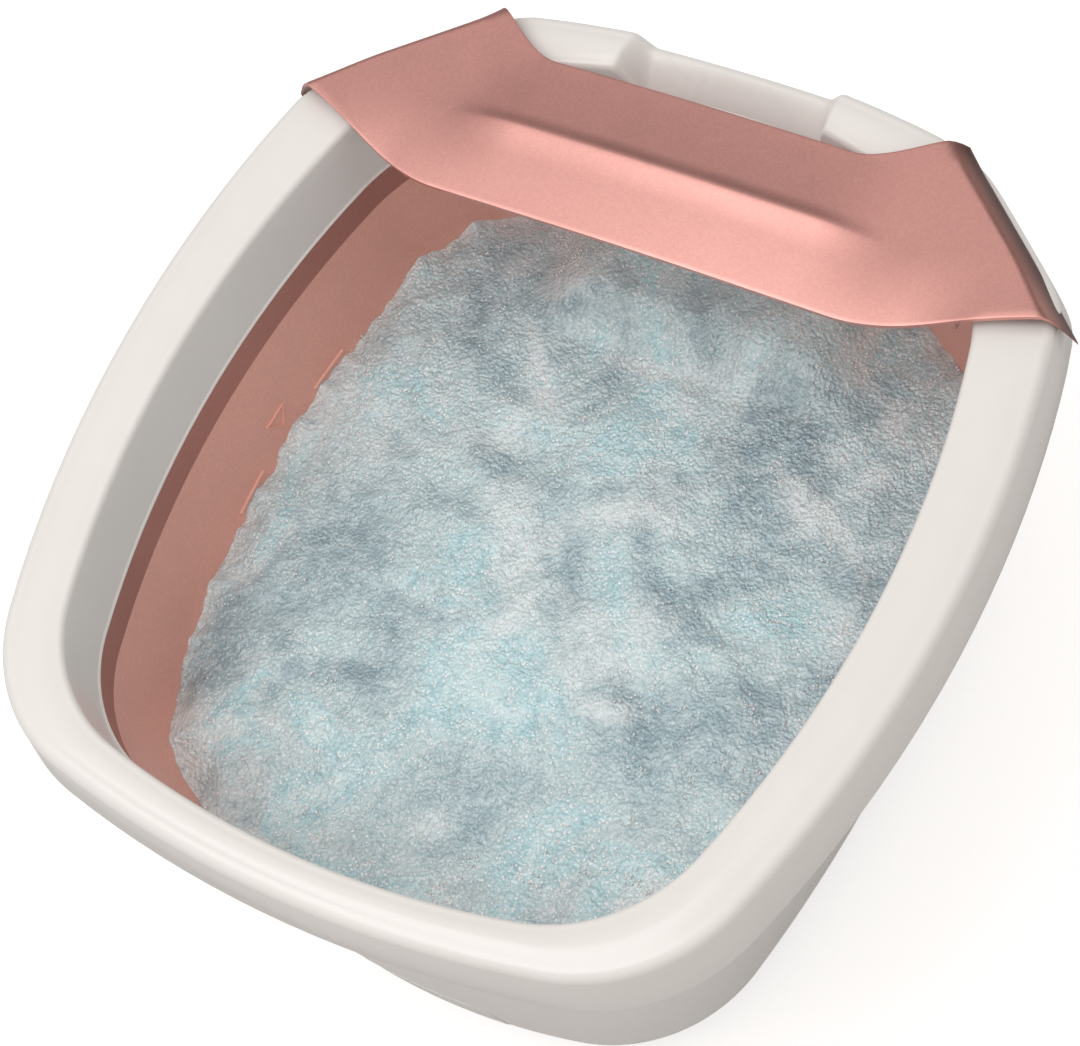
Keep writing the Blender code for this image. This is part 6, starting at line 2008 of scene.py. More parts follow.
@dataclass
class MassageFloor:
    """What stands on the tub's floor: plates, rollers, bubble strips and the pedicure post."""

    node_columns: int = 4
    node_rows: int = 5
    node_height: float = 0.0042
    node_foot: float = 0.0004
    node_rounds: Pair = (0.0006, 0.0016)
    plate_thickness: float = 0.0022
    plate_round: float = 0.0007
    sunk: float = 0.0003
    ridges: int = 3
    ridge_depth: float = 0.0022
    ridge_inset: float = 0.0008
    ridge_rounds: Pair = (0.001, 0.0012)
    bore: float = 0.0023
    nubs: int = 12
    nub_sunk: float = 0.0001
    nub_radii: Pair = (0.0016, 0.0011)
    nub_reach: Pair = (0.001, 0.0008)
    nozzles: int = 7
    nozzle_foot: Pair = (0.0012, 0.0026)
    nozzle_top: Pair = (0.0014, 0.0024)
    nozzle_height: float = 0.0004
    post_y: float = 0.030
    post_foot: Pair = (0.018, 0.0016)
    post_flare: Pair = (0.0145, 0.003)
    post_neck: Pair = (0.0085, 0.006)
    post_shoulder: float = 0.012
    peg_radius: float = 0.0048
    stone_bore: Pair = (0.0051, 0.0078)
    stone_round: float = 0.003
    pit_depth: float = 0.0004

    def build(self) -> None:
        """Builds every piece on the floor."""
        for word in ("left", "right"):
            self.build_plate(word)
            self.build_roller(word)
            self.build_strip(word)
        self.build_post()
        self.build_stone()

    def build_plate(self, word: str) -> None:
        """A heel plate with blunt nodes in rows.

        Args:
            word: The side it is on.
        """
        node = f"{word}_massage_plate"
        low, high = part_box(node)
        top = low.z + self.plate_thickness
        plate = loose_object(f"{word}_plate_sheet", box_mesh(low, (high.x, high.y, top)))
        soften(plate, self.plate_round, 3)
        finish_piece(plate, PINK, BASE, [node])
        cell_x = (high.x - low.x) / self.node_columns
        cell_y = (high.y - low.y) / self.node_rows
        radius = cell_x * 0.31
        foot_round, top_round = self.node_rounds
        sunk, tall = self.sunk, self.node_height
        corners = [(0, -sunk, 0), (radius, -sunk, 0), (radius * 0.97, self.node_foot, foot_round),
                   (radius * 0.50, tall, top_round), (0, tall, 0)]
        spots = []
        for row in range(self.node_rows):
            for column in range(self.node_columns):
                spots.append(((low.x + cell_x * (column + 0.5), low.y + cell_y * (row + 0.5), top), UP))
        shape = turned(rounded_profile(corners, steps=6), (0, 0, 0), steps=24)
        nodes = InstanceTree().place(f"{word}_plate_nodes", shape, spots, PINK)
        finish_piece(nodes, PINK, BASE)

    def build_roller(self, word: str) -> None:
        """A ridged roller with nubs, its pin and its cradle.

        Args:
            word: The side it is on.
        """
        low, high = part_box(f"{word}_roller")
        middle = (low + high) / 2
        half, outer = (high.x - low.x) / 2, (high.z - low.z) / 2
        core, top = outer - self.ridge_depth, outer - self.ridge_inset
        pitch = 2 * half / self.ridges
        low_turn, top_turn = self.ridge_rounds
        corners = [(self.bore, -half, 0), (core * 0.8, -half, 0.0008)]
        for ridge in range(self.ridges):
            start = -half + pitch * ridge
            corners += [(core, start + pitch * 0.15, low_turn), (top, start + pitch * 0.38, top_turn),
                        (top, start + pitch * 0.62, top_turn), (core, start + pitch * 0.85, low_turn)]
        corners += [(core * 0.8, half, 0.0008), (self.bore, half, 0)]
        body = f"{word}_roller_body"
        turned_piece(f"{word}_roller_core", corners, middle, WHITE, body, [f"{word}_roller"], SIDEWARDS)
        foot, tip = self.nub_radii
        deep, tall = self.nub_reach
        profile = rounded_profile([(0, -deep, 0), (foot, -deep, 0), (tip, tall, 0.0006), (0, tall, 0)])
        spots = []
        for ridge in range(self.ridges):
            x = middle.x - half + pitch * (ridge + 0.5)
            for step in range(self.nubs):
                angle = 2 * math.pi * (step + 0.5 * (ridge % 2)) / self.nubs
                facing = Vector((0, math.cos(angle), math.sin(angle)))
                spots.append((Vector((x, middle.y, middle.z)) + facing * (top - self.nub_sunk), facing))
        nub = turned(profile, (0, 0, 0), steps=14)
        nubs = InstanceTree().place(f"{word}_roller_nubs", nub, spots, WHITE)
        finish_piece(nubs, WHITE, body)
        dressed_node(f"{word}_roller_pin", STEEL, BASE)
        dressed_node(f"{word}_roller_cradle", WHITE, BASE)

    def build_strip(self, word: str) -> None:
        """A bubble strip with raised nozzles round its air holes.

        Args:
            word: The side it is on.
        """
        node = f"bubble_strip_{word}"
        low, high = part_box(node)
        dressed_node(node, WHITE, BASE, 0.0006, 3)
        inner, outer = self.nozzle_foot
        rim_inner, rim_outer = self.nozzle_top
        tall, turn = self.nozzle_height, self.sunk
        ring = rounded_profile([(inner, -tall, 0), (outer, -tall, 0), (rim_outer, tall, turn),
                                (rim_inner, tall, turn), (inner, -tall, 0)])
        pitch = (high.y - low.y) / self.nozzles
        x, z = (low.x + high.x) / 2, high.z - self.sunk
        spots = [((x, low.y + pitch * (step + 0.5), z), UP) for step in range(self.nozzles)]
        shape = turned(ring, (0, 0, 0), steps=20)
        nozzles = InstanceTree().place(f"{node}_nozzles", shape, spots, WHITE)
        finish_piece(nozzles, WHITE, BASE)

    def build_post(self) -> None:
        """The post that the pumice head stands on."""
        low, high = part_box("pedicure_post")
        neck, shoulder, peg = self.post_neck[0], self.post_shoulder, self.peg_radius
        tall = high.z - low.z
        post = [(0, 0, 0), (self.post_foot[0], 0, 0.0004), (*self.post_foot, 0.0008),
                (*self.post_flare, 0.002), (*self.post_neck, 0.002), (neck, shoulder, 0.0005),
                (peg, shoulder, 0.0005), (peg, tall, 0.0006), (0, tall, 0)]
        turned_piece("pedicure_post_body", post, (0, self.post_y, low.z), WHITE, BASE, ["pedicure_post"])

    def build_stone(self) -> None:
        """The pumice head that lifts off its post, pitted on the outside."""
        low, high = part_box("pumice_head")
        radius, tall = (high.x - low.x) / 2, high.z - low.z
        bore, deep = self.stone_bore
        fine, soft = 0.0004, self.stone_round
        corners = [(0, deep, 0), (bore, deep, fine), (bore, 0, fine), (radius, 0, soft),
                   (radius, tall, soft), (0, tall, 0)]
        stone = turned(rounded_profile(corners, steps=8), (0, self.post_y, low.z), steps=96)
        long_edges = [edge for edge in stone.edges if edge.calc_length() > 0.002]
        bmesh.ops.subdivide_edges(stone, edges=long_edges, cuts=3, use_grid_fill=True)
        for vertex in stone.verts:
            outwards = Vector((vertex.co.x, vertex.co.y - self.post_y, 0))
            if outwards.length > bore + 0.001:
                pit = noise.noise(vertex.co * 700) + 0.5 * noise.noise(vertex.co * 1500)
                vertex.co -= outwards.normalized() * max(pit, 0) * self.pit_depth
        piece = loose_object("pumice_head_stone", stone)
        finish_piece(piece, PUMICE, "pumice", ["pumice_head"])


@dataclass
class ToeButton:
    """The toe button, its seal and the works under the shelf."""

    radius: float = 0.0095
    proud: float = 0.0062
    stem_radius: float = 0.0024
    flange_radius: float = 0.0109
    flange_thickness: float = 0.0015
    flange_drop: float = 0.0037
    dish: Pair = (0.006, 0.0004)
    fine_round: float = 0.0003
    seal_width: float = 0.0020
    seal_height: float = 0.0016
    seal_top: float = 0.001
    turns: int = 4
    turn_steps: int = 24
    wire: float = 0.0005
    travel: float = 0.003

    @property
    def centre_y(self) -> float:
        """The Y of the button's axis."""
        low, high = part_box("toe_button")
        return (low.y + high.y) / 2

    def build(self) -> None:
        """Builds the button, its seal, its spring, the bracket and the switch."""
        self.build_cap()
        self.build_seal()
        self.build_spring()
        for node, finish in (("switch_bracket", STEEL), ("micro_switch", DARK)):
            dressed_node(node, finish, BASE)

    def build_cap(self) -> None:
        """The cap with its dished top, its flange and its stem."""
        low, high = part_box("toe_button")
        tall = high.z - low.z
        top = tall - self.proud - self.flange_drop
        under = top - self.flange_thickness
        stem, flange, fine = self.stem_radius, self.flange_radius, self.fine_round
        dish_radius, dish_depth = self.dish
        corners = [(0, 0, 0), (stem, 0, fine), (stem, under, 0), (flange, under, fine),
                   (flange, top, fine), (self.radius, top, 0), (self.radius, tall - 0.001, 0.0014),
                   (dish_radius, tall - dish_depth, 0.002), (0, tall, 0)]
        turned_piece("toe_button_cap", corners, (0, self.centre_y, low.z), PINK, "button", ["toe_button"])

    def build_seal(self) -> None:
        """The soft ring round the cap."""
        inner = self.radius + SIZES.gap
        outer, tall, fine = inner + self.seal_width, self.seal_height, self.fine_round
        seal = [(inner, 0, 0), (outer, 0, 0.0002), (outer, tall / 2, fine),
                (inner + self.seal_top, tall, 0.0005), (inner, tall, fine), (inner, 0, 0)]
        place = (0, self.centre_y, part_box("button_seal")[0].z)
        piece = loose_object("button_seal_ring", turned(rounded_profile(seal)[:-1], place))
        finish_piece(piece, RUBBER, BASE, ["button_seal"])

    def build_spring(self) -> None:
        """The spring, a wire swept along a helix."""
        low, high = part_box("button_spring")
        coil = (high.x - low.x) / 2 - self.wire
        start, rise = low.z + self.wire, high.z - low.z - 2 * self.wire
        steps = self.turns * self.turn_steps
        path = []
        for step in range(steps + 1):
            angle = 2 * math.pi * step / self.turn_steps
            x, y = coil * math.cos(angle), self.centre_y + coil * math.sin(angle)
            path.append(Vector((x, y, start + rise * step / steps)))
        spring = SweepTree().draw("button_spring_coil", path, self.wire * 0.98, STEEL, facets=10)
        finish_piece(spring, STEEL, BASE, ["button_spring"])
        anchor, keep = (0, self.centre_y, low.z), 1 - self.travel / (high.z - low.z)
        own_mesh(spring)
        tuple(anchor)

@dataclass
class CordGland:
    """The bush in the toe wall that a mains cord passes through."""

    x: float = 0.040
    z: float = 0.038
    radius: float = 0.0064
    bore: float = 0.0040
    flange: float = 0.0028
    flange_thickness: float = 0.0020
    proud: float = 0.0040
    seat: float = 0.0006

    @property
    def place(self) -> Vector:
        """The middle of the gland on the shell's outer face."""
        return Vector((self.x, OuterShell().wall_y(self.x, self.z, End.TOE), self.z))

    @property
    def axis(self) -> Vector:
        """The outward direction of the wall at the gland."""
        shell, step = OuterShell(), self.radius
        east, west = (shell.wall_y(self.x + way * step, self.z, End.TOE) for way in (1, -1))
        upper, lower = (shell.wall_y(self.x, self.z + way * step, End.TOE) for way in (1, -1))
        return Vector((west - east, 2 * step, lower - upper)).normalized()

    def build(self) -> None:
        """Builds the gland with rounded flanges."""
        inside = -OuterShell().wall - self.seat
        wide = self.radius + self.flange
        seat, thick = self.seat, self.flange_thickness
        corners = [(self.bore, inside - thick, 0), (wide, inside - thick, 0.0006), (wide, inside, 0.0004),
                   (self.radius, inside, 0), (self.radius, seat, 0), (wide, seat, 0.0004),
                   (wide, seat + thick, 0.0008), (self.radius, seat + self.proud, 0.0008),
                   (self.bore, seat + self.proud, 0)]
        turned_piece("cord_gland_bush", corners, self.place, RUBBER, BASE, ["cord_gland"], self.axis)


@dataclass
class Underside:
    """The pan, feet and screws that show from below."""

    foot_round: float = 0.0012
    foot_seat: float = 0.0075
    groove: float = 0.0006
    groove_round: float = 0.0002
    grooves: tuple[Pair, ...] = ((0.0035, 0.0049), (0.0066, 0.0080))
    peg_radius: float = 0.0030
    barb_radius: float = 0.0044
    barb_z: float = 0.0106
    screw_count: int = 6
    head_radius: float = 0.0035
    head_height: float = 0.0014
    shank_radius: float = 0.0015
    recess: Triple = (0.0016, 0.0003, 0.0008)

    def build(self) -> None:
        """Builds the pan, the four feet and the six screws."""
        dressed_node("base_pan", GREY, BASE)
        for end in ("heel", "toe"):
            for side in ("left", "right"):
                self.build_foot(f"rubber_foot_{end}_{side}")
        self.build_screws()

    def build_foot(self, node: str) -> None:
        """A turned foot with two grip grooves under it and its peg.

        Args:
            node: The CAD node of the foot.
        """
        low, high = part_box(node)
        radius = (high.x - low.x) / 2
        peg, deep, turn = self.peg_radius, self.groove, self.groove_round
        corners = [(0, 0, 0)]
        for inner, outer in self.grooves:
            corners += [(inner, 0, turn), (inner + deep / 2, deep, turn), (outer - deep / 2, deep, turn),
                        (outer, 0, turn)]
        corners += [(radius, 0, self.foot_round), (radius, self.foot_seat, 0.0008),
                    (peg, self.foot_seat, 0), (peg, self.barb_z, 0),
                    (self.barb_radius, self.barb_z, 0.0003), (peg, high.z, 0.0006), (0, high.z, 0)]
        place = ((low.x + high.x) / 2, (low.y + high.y) / 2, 0)
        turned_piece(f"{node}_finished", corners, place, RUBBER, BASE, [node])

    def build_screws(self) -> None:
        """Screws with a cross recess, set on their places by one tree."""
        nodes = [f"pan_screw_{index + 1}" for index in range(self.screw_count)]
        low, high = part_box(nodes[0])
        head, rim, shank, tall = self.head_radius, self.head_height, self.shank_radius, high.z - low.z
        corners = [(0, 0, 0), (head * 0.8, 0, 0.0004), (head, rim / 2, 0.0004), (head, rim, 0.0002),
                   (shank, rim, 0), (shank, tall - shank, 0), (0, tall, 0)]
        screw = loose_object("screw_shape", turned(rounded_profile(corners), (0, 0, 0), steps=24))
        long, narrow, deep = self.recess
        for x, y in ((long, narrow), (narrow, long)):
            carve(screw, loose_object("cross_tool", box_mesh((-x, -y, -deep), (x, y, deep))))
        shape = bmesh.new()
        shape.from_mesh(screw.data)
        bpy.data.objects.remove(screw)
        spots = []
        for node in nodes:
            low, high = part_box(node)
            spots.append((((low.x + high.x) / 2, (low.y + high.y) / 2, low.z), UP))
        piece = InstanceTree().place("pan_screws", shape, spots, STEEL)
        finish_piece(piece, STEEL, BASE, nodes)


@dataclass
class Works:
    """The heater, air pump, shaker and board under the tub's floor."""

    inner: tuple[str, ...] = (
        "heater_plate", "thermostat", "air_duct", "pump_housing", "pump_lid", "pump_wheel", "pump_motor",
        "shaker_motor", "shaker_clamp", "shaker_weight", "control_board", "drawer_runner_left",
        "drawer_runner_right")
    hose_reach: Pair = (0.003, 0.001)
    bend_steps: int = 24

    def build(self) -> None:
        """Dresses every inner piece."""
        slots = {row["node"]: Slot(row["material_slot"]) for row in frame["record"]["subparts"]}
        for node in self.inner:
            dressed_node(node, FINISH_OF_SLOT[slots[node]], body_of_node(node))
        self.build_hose()

    def build_hose(self) -> None:
        """The air hose, drawn along its bend."""
        low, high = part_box("air_hose")
        radius = (high.x - low.x) / 2
        x = (low.x + high.x) / 2
        bottom, top = low.z + radius, high.z - radius
        bend = (top - bottom) / 2
        turn_y = high.y - radius - bend
        path = [Vector((x, low.y + self.hose_reach[0], bottom))]
        for step in range(self.bend_steps + 1):
            angle = math.pi * step / self.bend_steps - math.pi / 2
            y, z = turn_y + bend * math.cos(angle), bottom + bend + bend * math.sin(angle)
            path.append(Vector((x, y, z)))
        path.append(Vector((x, low.y + self.hose_reach[1], top)))
        piece = SweepTree().draw("air_hose_tube", path, radius * 0.98, GREY, facets=20)
        finish_piece(piece, GREY, BASE, ["air_hose"])


# Water


@dataclass(frozen=True)
class WaterLook(Finish):
    """Churned water: blue-grey patches, streaks, froth where the surface says so, and fine white dots
    painted as glints.
    """

    patch_scale: float = 12.0
    streak_scale: float = 120.0
    glint_cell_scale: float = 640.0
    ripple_scale: float = 380.0
    ripple_depth: float = 0.0013
    stops: tuple[tuple[float, Colour], ...] = (
        (0.30, (0.22, 0.36, 0.42)), (0.42, (0.36, 0.54, 0.60)), (0.51, (0.50, 0.69, 0.73)),
        (0.60, (0.42, 0.72, 0.79)), (0.72, (0.68, 0.90, 0.93)))
    streak_colour: Colour = (0.74, 0.91, 0.94)
    shadow_colour: Colour = (0.24, 0.37, 0.43)
    froth_colour: Colour = (0.82, 0.93, 0.95)

    def patches(self, bench: NodeBench, warp: Socket) -> Socket:
        """The colour of the wide patches.

        Args:
            bench: The material's tree.
            warp: The slow noise that places them.

        Returns:
            The colour.
        """
        ramp = bench.add("ShaderNodeValToRGB", {"Fac": warp})
        elements = ramp.color_ramp.elements
        while len(elements) < len(self.stops):
            elements.new(0.5)
        for element, (place_on, colour) in zip(elements, self.stops):
            element.position = place_on
            element.color = rgba(colour)
        return ramp.outputs["Color"]

    def dress(self, bench: NodeBench, shader: Node) -> None:
        """Builds the water's colours, painted glints, gloss and small waves.

        Args:
            bench: The material's tree.
            shader: Its Principled shader.
        """
        place = bench.place()
        warp = bench.noise(place, self.patch_scale, detail=4.0, warp=2.0)
        fine = bench.noise(place, self.streak_scale, detail=5.0, rough=0.72, warp=0.5)
        glint_cells = bench.cells(place, self.glint_cell_scale)
        streak = bench.times(bench.spread(fine, 0.44, 0.66), 0.45)
        mixed = bench.blend(streak, self.patches(bench, warp), rgba(self.streak_colour))
        shadow = bench.times(bench.spread(fine, 0.30, 0.46, 1.0, 0.0), 0.3)
        mixed = bench.blend(shadow, mixed, rgba(self.shadow_colour))
        froth = bench.times(bench.attribute("foam"), bench.spread(fine, 0.30, 0.50, 0.2, 0.7), clamp=True)
        mixed = bench.blend(froth, mixed, rgba(self.froth_colour))
        # Painted highlight: white dots on chosen cells stand in for glints of light on the water.
        lit = bench.add("ShaderNodeSeparateColor", {"Color": glint_cells["Color"]}).outputs[0]
        near = bench.spread(glint_cells["Distance"], 0.24, 0.36, 1.0, 0.0)
        glint_dots = bench.times(near, bench.spread(lit, 0.46, 0.50))
        glint_dots = bench.times(glint_dots, bench.spread(warp, 0.36, 0.56), clamp=True)
        bench.link(bench.blend(glint_dots, mixed, rgba((1.0, 1.0, 1.0))), shader.inputs["Base Color"])
        bench.link(bench.spread(froth, 0.0, 1.0, 0.06, 0.35), shader.inputs["Roughness"])
        for socket, value in (("Specular IOR Level", 0.7), ("Coat Weight", 1.0), ("Coat IOR", 1.8),
                              ("Coat Roughness", 0.04)):
            shader.inputs[socket].default_value = value
        ripple = bench.noise(place, self.ripple_scale, detail=3.0, rough=0.6)
        height = bench.plus(ripple, bench.times(glint_cells["Distance"], 0.4))
        normal = bench.bump(height, 1.0, self.ripple_depth)
        for socket in ("Normal", "Coat Normal"):
            bench.link(normal, shader.inputs[socket])


WATER = WaterLook("churned_water", None, (0.4, 0.6, 0.65), 0.1)
FOAM = Finish("foam_bubble", None, (0.93, 0.97, 0.98), 0.05, coat=1.0, mottle=0.02, dust=0.0, wear_and_highlight=0.0)


@dataclass
class Water:
    """The bath's contents: a churned surface with foam and bubbles, not a piece of the product."""

    level: float = 0.110
    turns: int = 640
    rows: int = 118
    row_power: float = 0.8
    wave: float = 0.0034
    climb: float = 0.0050
    edge_blend: float = 0.014
    overlap: float = 0.0003
    drift: Pair = (9.0, 0.016)
    swell_scale: float = 13.0
    crest_scale: float = 34.0
    chop_scale: float = 90.0
    ripple_scale: float = 230.0
    shares: Triple = (0.8, 0.16, 0.05)
    heap: float = 0.013
    heap_start: Pair = (0.088, 0.028)
    heap_side: Pair = (0.05, 0.03)
    brink_scales: Pair = (55.0, 170.0)
    foam_drift: Pair = (24.0, 0.010)
    foam_scales: Pair = (19.0, 60.0)
    foam_edge: float = 0.008
    bubble_count: int = 5600
    bubble_radius: float = 0.0006
    bubble_area: Pair = (0.32, 0.34)
    bubble_scale: float = 75.0
    streaks: tuple[tuple[float, float, float, float, float], ...] = (
        (-0.012, -0.036, 70.0, 0.017, 0.0065), (0.046, -0.052, 20.0, 0.018, 0.0065),
        (-0.055, 0.066, -50.0, 0.026, 0.0060), (-0.012, 0.084, 10.0, 0.018, 0.0050),
        (0.012, 0.022, 15.0, 0.030, 0.0100), (0.080, 0.052, -35.0, 0.030, 0.0080))

    def surface_height(self, x: float, y: float) -> float:
        """The water's height at a place away from its edge.

        Args:
            x: The place across.
            y: The place along.

        Returns:
            The height.
        """
        place = Vector((x, y, 0))
        scale, reach = self.drift
        drifted = place + noise.noise_vector(place * scale + Vector((5, 1, 2))) * reach
        swell = noise.noise(drifted * self.swell_scale + Vector((3, 7, 1)))
        crest = 0.4 - abs(noise.noise(drifted * self.crest_scale + Vector((9, 2, 5))))
        chop = noise.noise(drifted * self.chop_scale)
        ripple = noise.noise(place * self.ripple_scale)
        start, run = self.heap_start
        half, fade = self.heap_side
        heaped = self.heap * smooth((y - start) / run) * (1 - smooth((abs(x) - half) / fade))
        high, middle, low = self.shares
        return self.level + heaped + self.wave * (swell + high * crest + middle * chop + low * ripple)

    def foam_share(self, x: float, y: float, edge: float) -> float:
        """How much foam lies at a place, given its distance from the water's edge.

        Args:
            x: The place across.
            y: The place along.
            edge: How far it is from the water's edge.

        Returns:
            The share, from 0 to 1.
        """
        place = Vector((x, y, 0))
        scale, reach = self.foam_drift
        drifted = place + noise.noise_vector(place * scale) * reach
        wide, fine = self.foam_scales
        patches = noise.noise(drifted * wide + Vector((1, 4, 8))) + 0.5 * noise.noise(drifted * fine)
        total = 0.8 * smooth((patches - 0.12) / 0.5) + 0.8 * (1 - smooth(edge / self.foam_edge))
        for middle_x, middle_y, turn, length, width in self.streaks:
            along = Vector((math.cos(math.radians(turn)), math.sin(math.radians(turn))))
            off = Vector((drifted.x - middle_x, drifted.y - middle_y))
            away = math.hypot(off.dot(along) / length, (off.x * along.y - off.y * along.x) / width)
            total += 1 - smooth(away - 0.35)
        return min(total, 1)

    def build(self) -> None:
        """Builds the surface and its bubbles as stage objects."""
        liner = TubLiner()
        limit = RadialLimit.of(SIZES.mouth.parallel(liner.offset(self.level)))
        steep = math.tan(math.radians(liner.draft_deg))
        mesh = bmesh.new()
        layer = mesh.verts.layers.float.new("foam")
        centre = mesh.verts.new((0, 0, self.surface_height(0, 0)))
        spokes = []
        for turn in range(self.turns):
            angle = 2 * math.pi * turn / self.turns
            way = Vector((math.cos(angle), math.sin(angle), 0))
            reach = limit.reach(way.x, way.y)
            brink = way * reach
            wide, fine = (noise.noise(brink * scale) for scale in self.brink_scales)
            rise = self.climb * wide + 0.4 * self.climb * fine
            reach += steep * rise + self.overlap
            spoke = []
            for row in range(1, self.rows + 1):
                away = reach * (row / self.rows) ** self.row_power
                edge = reach - away
                spot = way * away
                free = self.surface_height(spot.x, spot.y)
                held = smooth(edge / self.edge_blend)
                z = (self.level + rise) * (1 - held) + free * held
                vertex = mesh.verts.new((spot.x, spot.y, z))
                vertex[layer] = self.foam_share(spot.x, spot.y, edge)
                spoke.append(vertex)
            spokes.append(spoke)
        for first, second in zip(spokes, spokes[1:] + spokes[:1]):
            mesh.faces.new((centre, first[0], second[0]))
            for row in range(self.rows - 1):
                mesh.faces.new((first[row], first[row + 1], second[row + 1], second[row]))
        spots = self.bubble_spots(limit)
        surface = loose_object("water_surface", mesh)
        surface.data.materials.append(WATER.material())
        surface.data.shade_smooth()
        ball = bmesh.new()
        bmesh.ops.create_icosphere(ball, subdivisions=1, radius=self.bubble_radius)
        bubbles = InstanceTree().place("water_bubbles", ball, spots, FOAM, seed=7, sizes=(0.3, 1.0))
        bubbles.data.shade_smooth()
        mark_edges(bubbles.data)
        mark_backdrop(surface, bubbles)
        LOG.info("water surface with %d faces and %d bubbles", len(surface.data.polygons), len(spots))

    def bubble_spots(self, limit: RadialLimit) -> list[tuple[Vector, Vector]]:
        """Places of the bubbles, closer together where there is foam and along the edge.

        Args:
            limit: The water's edge.

        Returns:
            Place and direction of each bubble.
        """
        spots = []
        wide, long = self.bubble_area
        noise.seed_set(11)
        while len(spots) < self.bubble_count:
            x, y = (noise.random() - 0.5) * wide, (noise.random() - 0.5) * long
            edge = limit.reach(x, y) - math.hypot(x, y)
            fizz = smooth(noise.noise(Vector((x, y, 0)) * self.bubble_scale) * 2.2)
            if edge > 0.001 and noise.random() < 0.04 + 0.5 * fizz + 0.3 * self.foam_share(x, y, edge):
                held = smooth(edge / self.edge_blend)
                z = self.level * (1 - held) + self.surface_height(x, y) * held
                spots.append((Vector((x, y, z + 0.0001)), UP))
        return spots


# Studio


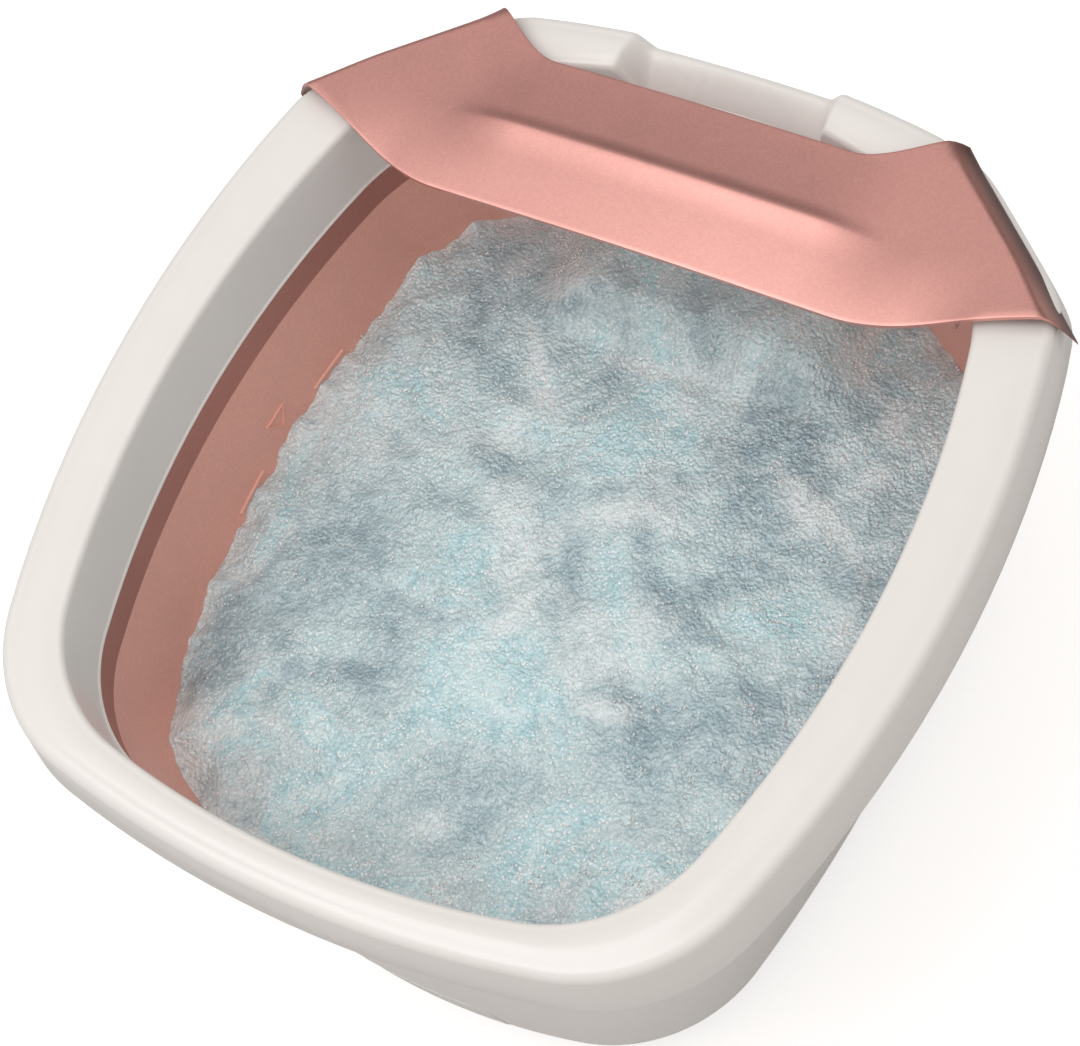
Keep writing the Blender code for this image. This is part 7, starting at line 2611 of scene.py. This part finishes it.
@dataclass
class Studio:
    """Pale floor, soft light and the camera."""

    azimuth: float = 54.25
    elevation: float = 58.69
    roll: float = -29.41
    distance: float = 1.2175
    target: Triple = (0.0228, -0.0222, 0.200)
    focal_pixels: float = 3280.9
    image_width: float = 1080.0
    sensor: float = 36.0
    ambient: float = 0.82
    tint: Colour = (1.0, 0.96, 0.935)
    heel_darkness: float = 0.45
    lamp_place: Triple = (-0.45, -0.50, 2.0)
    lamp_aim: Triple = (0, 0, 0.15)
    lamp_size: float = 1.3
    lamp_power: float = 11.0
    floor_size: float = 4.0
    floor_colour: Colour = (0.64, 0.63, 0.62)
    floor_glow: float = 0.60

    def build(self) -> None:
        """Builds floor, world, lamp and camera."""
        self.build_world()
        self.build_floor()
        self.build_lamp()
        self.build_camera()

    def build_world(self) -> None:
        """A white surround for the camera, graded for gloss and as light."""
        world = bpy.data.worlds.new("studio")
        bpy.context.scene.world = world
        world.use_nodes = True
        bench = NodeBench(world.node_tree)
        rays = bench.add("ShaderNodeLightPath").outputs
        seen = bench.maths("MAXIMUM", rays["Is Camera Ray"], rays["Is Transmission Ray"])
        way = bench.add("ShaderNodeSeparateXYZ", {"Vector": bench.place()}).outputs
        high = bench.plus(way["Z"], bench.times(way["Y"], -self.heel_darkness))
        sky = bench.spread(high, 0.1, 0.95, 0.12, 1.0)
        soft = bench.times(bench.spread(way["Z"], 0.0, 0.8, 0.6, 1.0), self.ambient)
        glossy = bench.times(sky, rays["Is Glossy Ray"])
        matt = bench.times(soft, bench.maths("SUBTRACT", 1.0, rays["Is Glossy Ray"]))
        strength = bench.maths("MAXIMUM", bench.plus(matt, glossy), seen)
        shader = world.node_tree.nodes["Background"]
        tint = bench.blend(seen, rgba(self.tint), rgba((1, 1, 1)))
        bench.link(tint, shader.inputs["Color"])
        bench.link(strength, shader.inputs["Strength"])

    def build_floor(self) -> None:
        """A level pale floor that keeps the object's shadow."""
        mesh = bmesh.new()
        bmesh.ops.create_grid(mesh, x_segments=2, y_segments=2, size=self.floor_size)
        floor = loose_object("studio_floor", mesh)
        material = bpy.data.materials.new("pale_floor")
        material.use_nodes = True
        bench = NodeBench(material.node_tree)
        shader = material.node_tree.nodes["Principled BSDF"]
        shader.inputs["Base Color"].default_value = rgba(self.floor_colour)
        shader.inputs["Roughness"].default_value = 0.9
        shader.inputs["Emission Color"].default_value = rgba((1, 1, 1))
        seen = bench.add("ShaderNodeLightPath").outputs["Is Camera Ray"]
        bench.link(bench.times(seen, self.floor_glow), shader.inputs["Emission Strength"])
        floor.data.materials.append(material)
        floor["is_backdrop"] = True

    def build_lamp(self) -> None:
        """A square area lamp that faces the bath."""
        lamp = bpy.data.lights.new("key_lamp", "AREA")
        lamp.size = self.lamp_size
        lamp.energy = self.lamp_power
        holder = bpy.data.objects.new("key_lamp", lamp)
        holder.location = self.lamp_place
        aim = Vector(self.lamp_aim) - Vector(self.lamp_place)
        holder.rotation_euler = aim.to_track_quat("-Z", "Y").to_euler()
        bpy.context.scene.collection.objects.link(holder)

    def build_camera(self) -> None:
        """The camera at the photograph's angle."""
        azimuth, elevation, roll = (math.radians(a) for a in (self.azimuth, self.elevation, self.roll))
        level = math.cos(elevation)
        back = Vector((math.sin(azimuth) * level, -math.cos(azimuth) * level, math.sin(elevation)))
        right = Vector((math.cos(azimuth), math.sin(azimuth), 0))
        up = back.cross(right)
        across = right * math.cos(roll) + up * math.sin(roll)
        rise = up * math.cos(roll) - right * math.sin(roll)
        lens = bpy.data.cameras.new("camera")
        lens.sensor_width = self.sensor
        lens.lens = self.focal_pixels * self.sensor / self.image_width
        camera = bpy.data.objects.new("camera", lens)
        turn = Matrix((across, rise, back)).transposed().to_4x4()
        camera.matrix_world = Matrix.Translation(Vector(self.target) + back * self.distance) @ turn
        bpy.context.scene.collection.objects.link(camera)
        bpy.context.scene.camera = camera


def write_sizes() -> None:
    """Measures the boxes of the CAD model and of the visual model, without keeping them."""
    boxes = {"cad": CAD_BOX, "visual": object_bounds()}
    {name: [list(corner) for corner in box] for name, box in boxes.items()}


def main() -> None:
    """Builds the bath, its contents and the studio."""
    logging.basicConfig(level=logging.INFO, format="%(name)s: %(message)s")
    bpy.context.scene.view_settings.view_transform = "Standard"
    parts = (RimCover(), TubLiner(), OuterShell(), SplashGuard(), Drawer(), MassageFloor(), ToeButton(),
             CordGland(), Underside(), Works(), Water(), Studio())
    for part in parts:
        LOG.info("building %s", type(part).__name__)
        part.build()
    write_sizes()


if __name__ == "__main__":
    main()
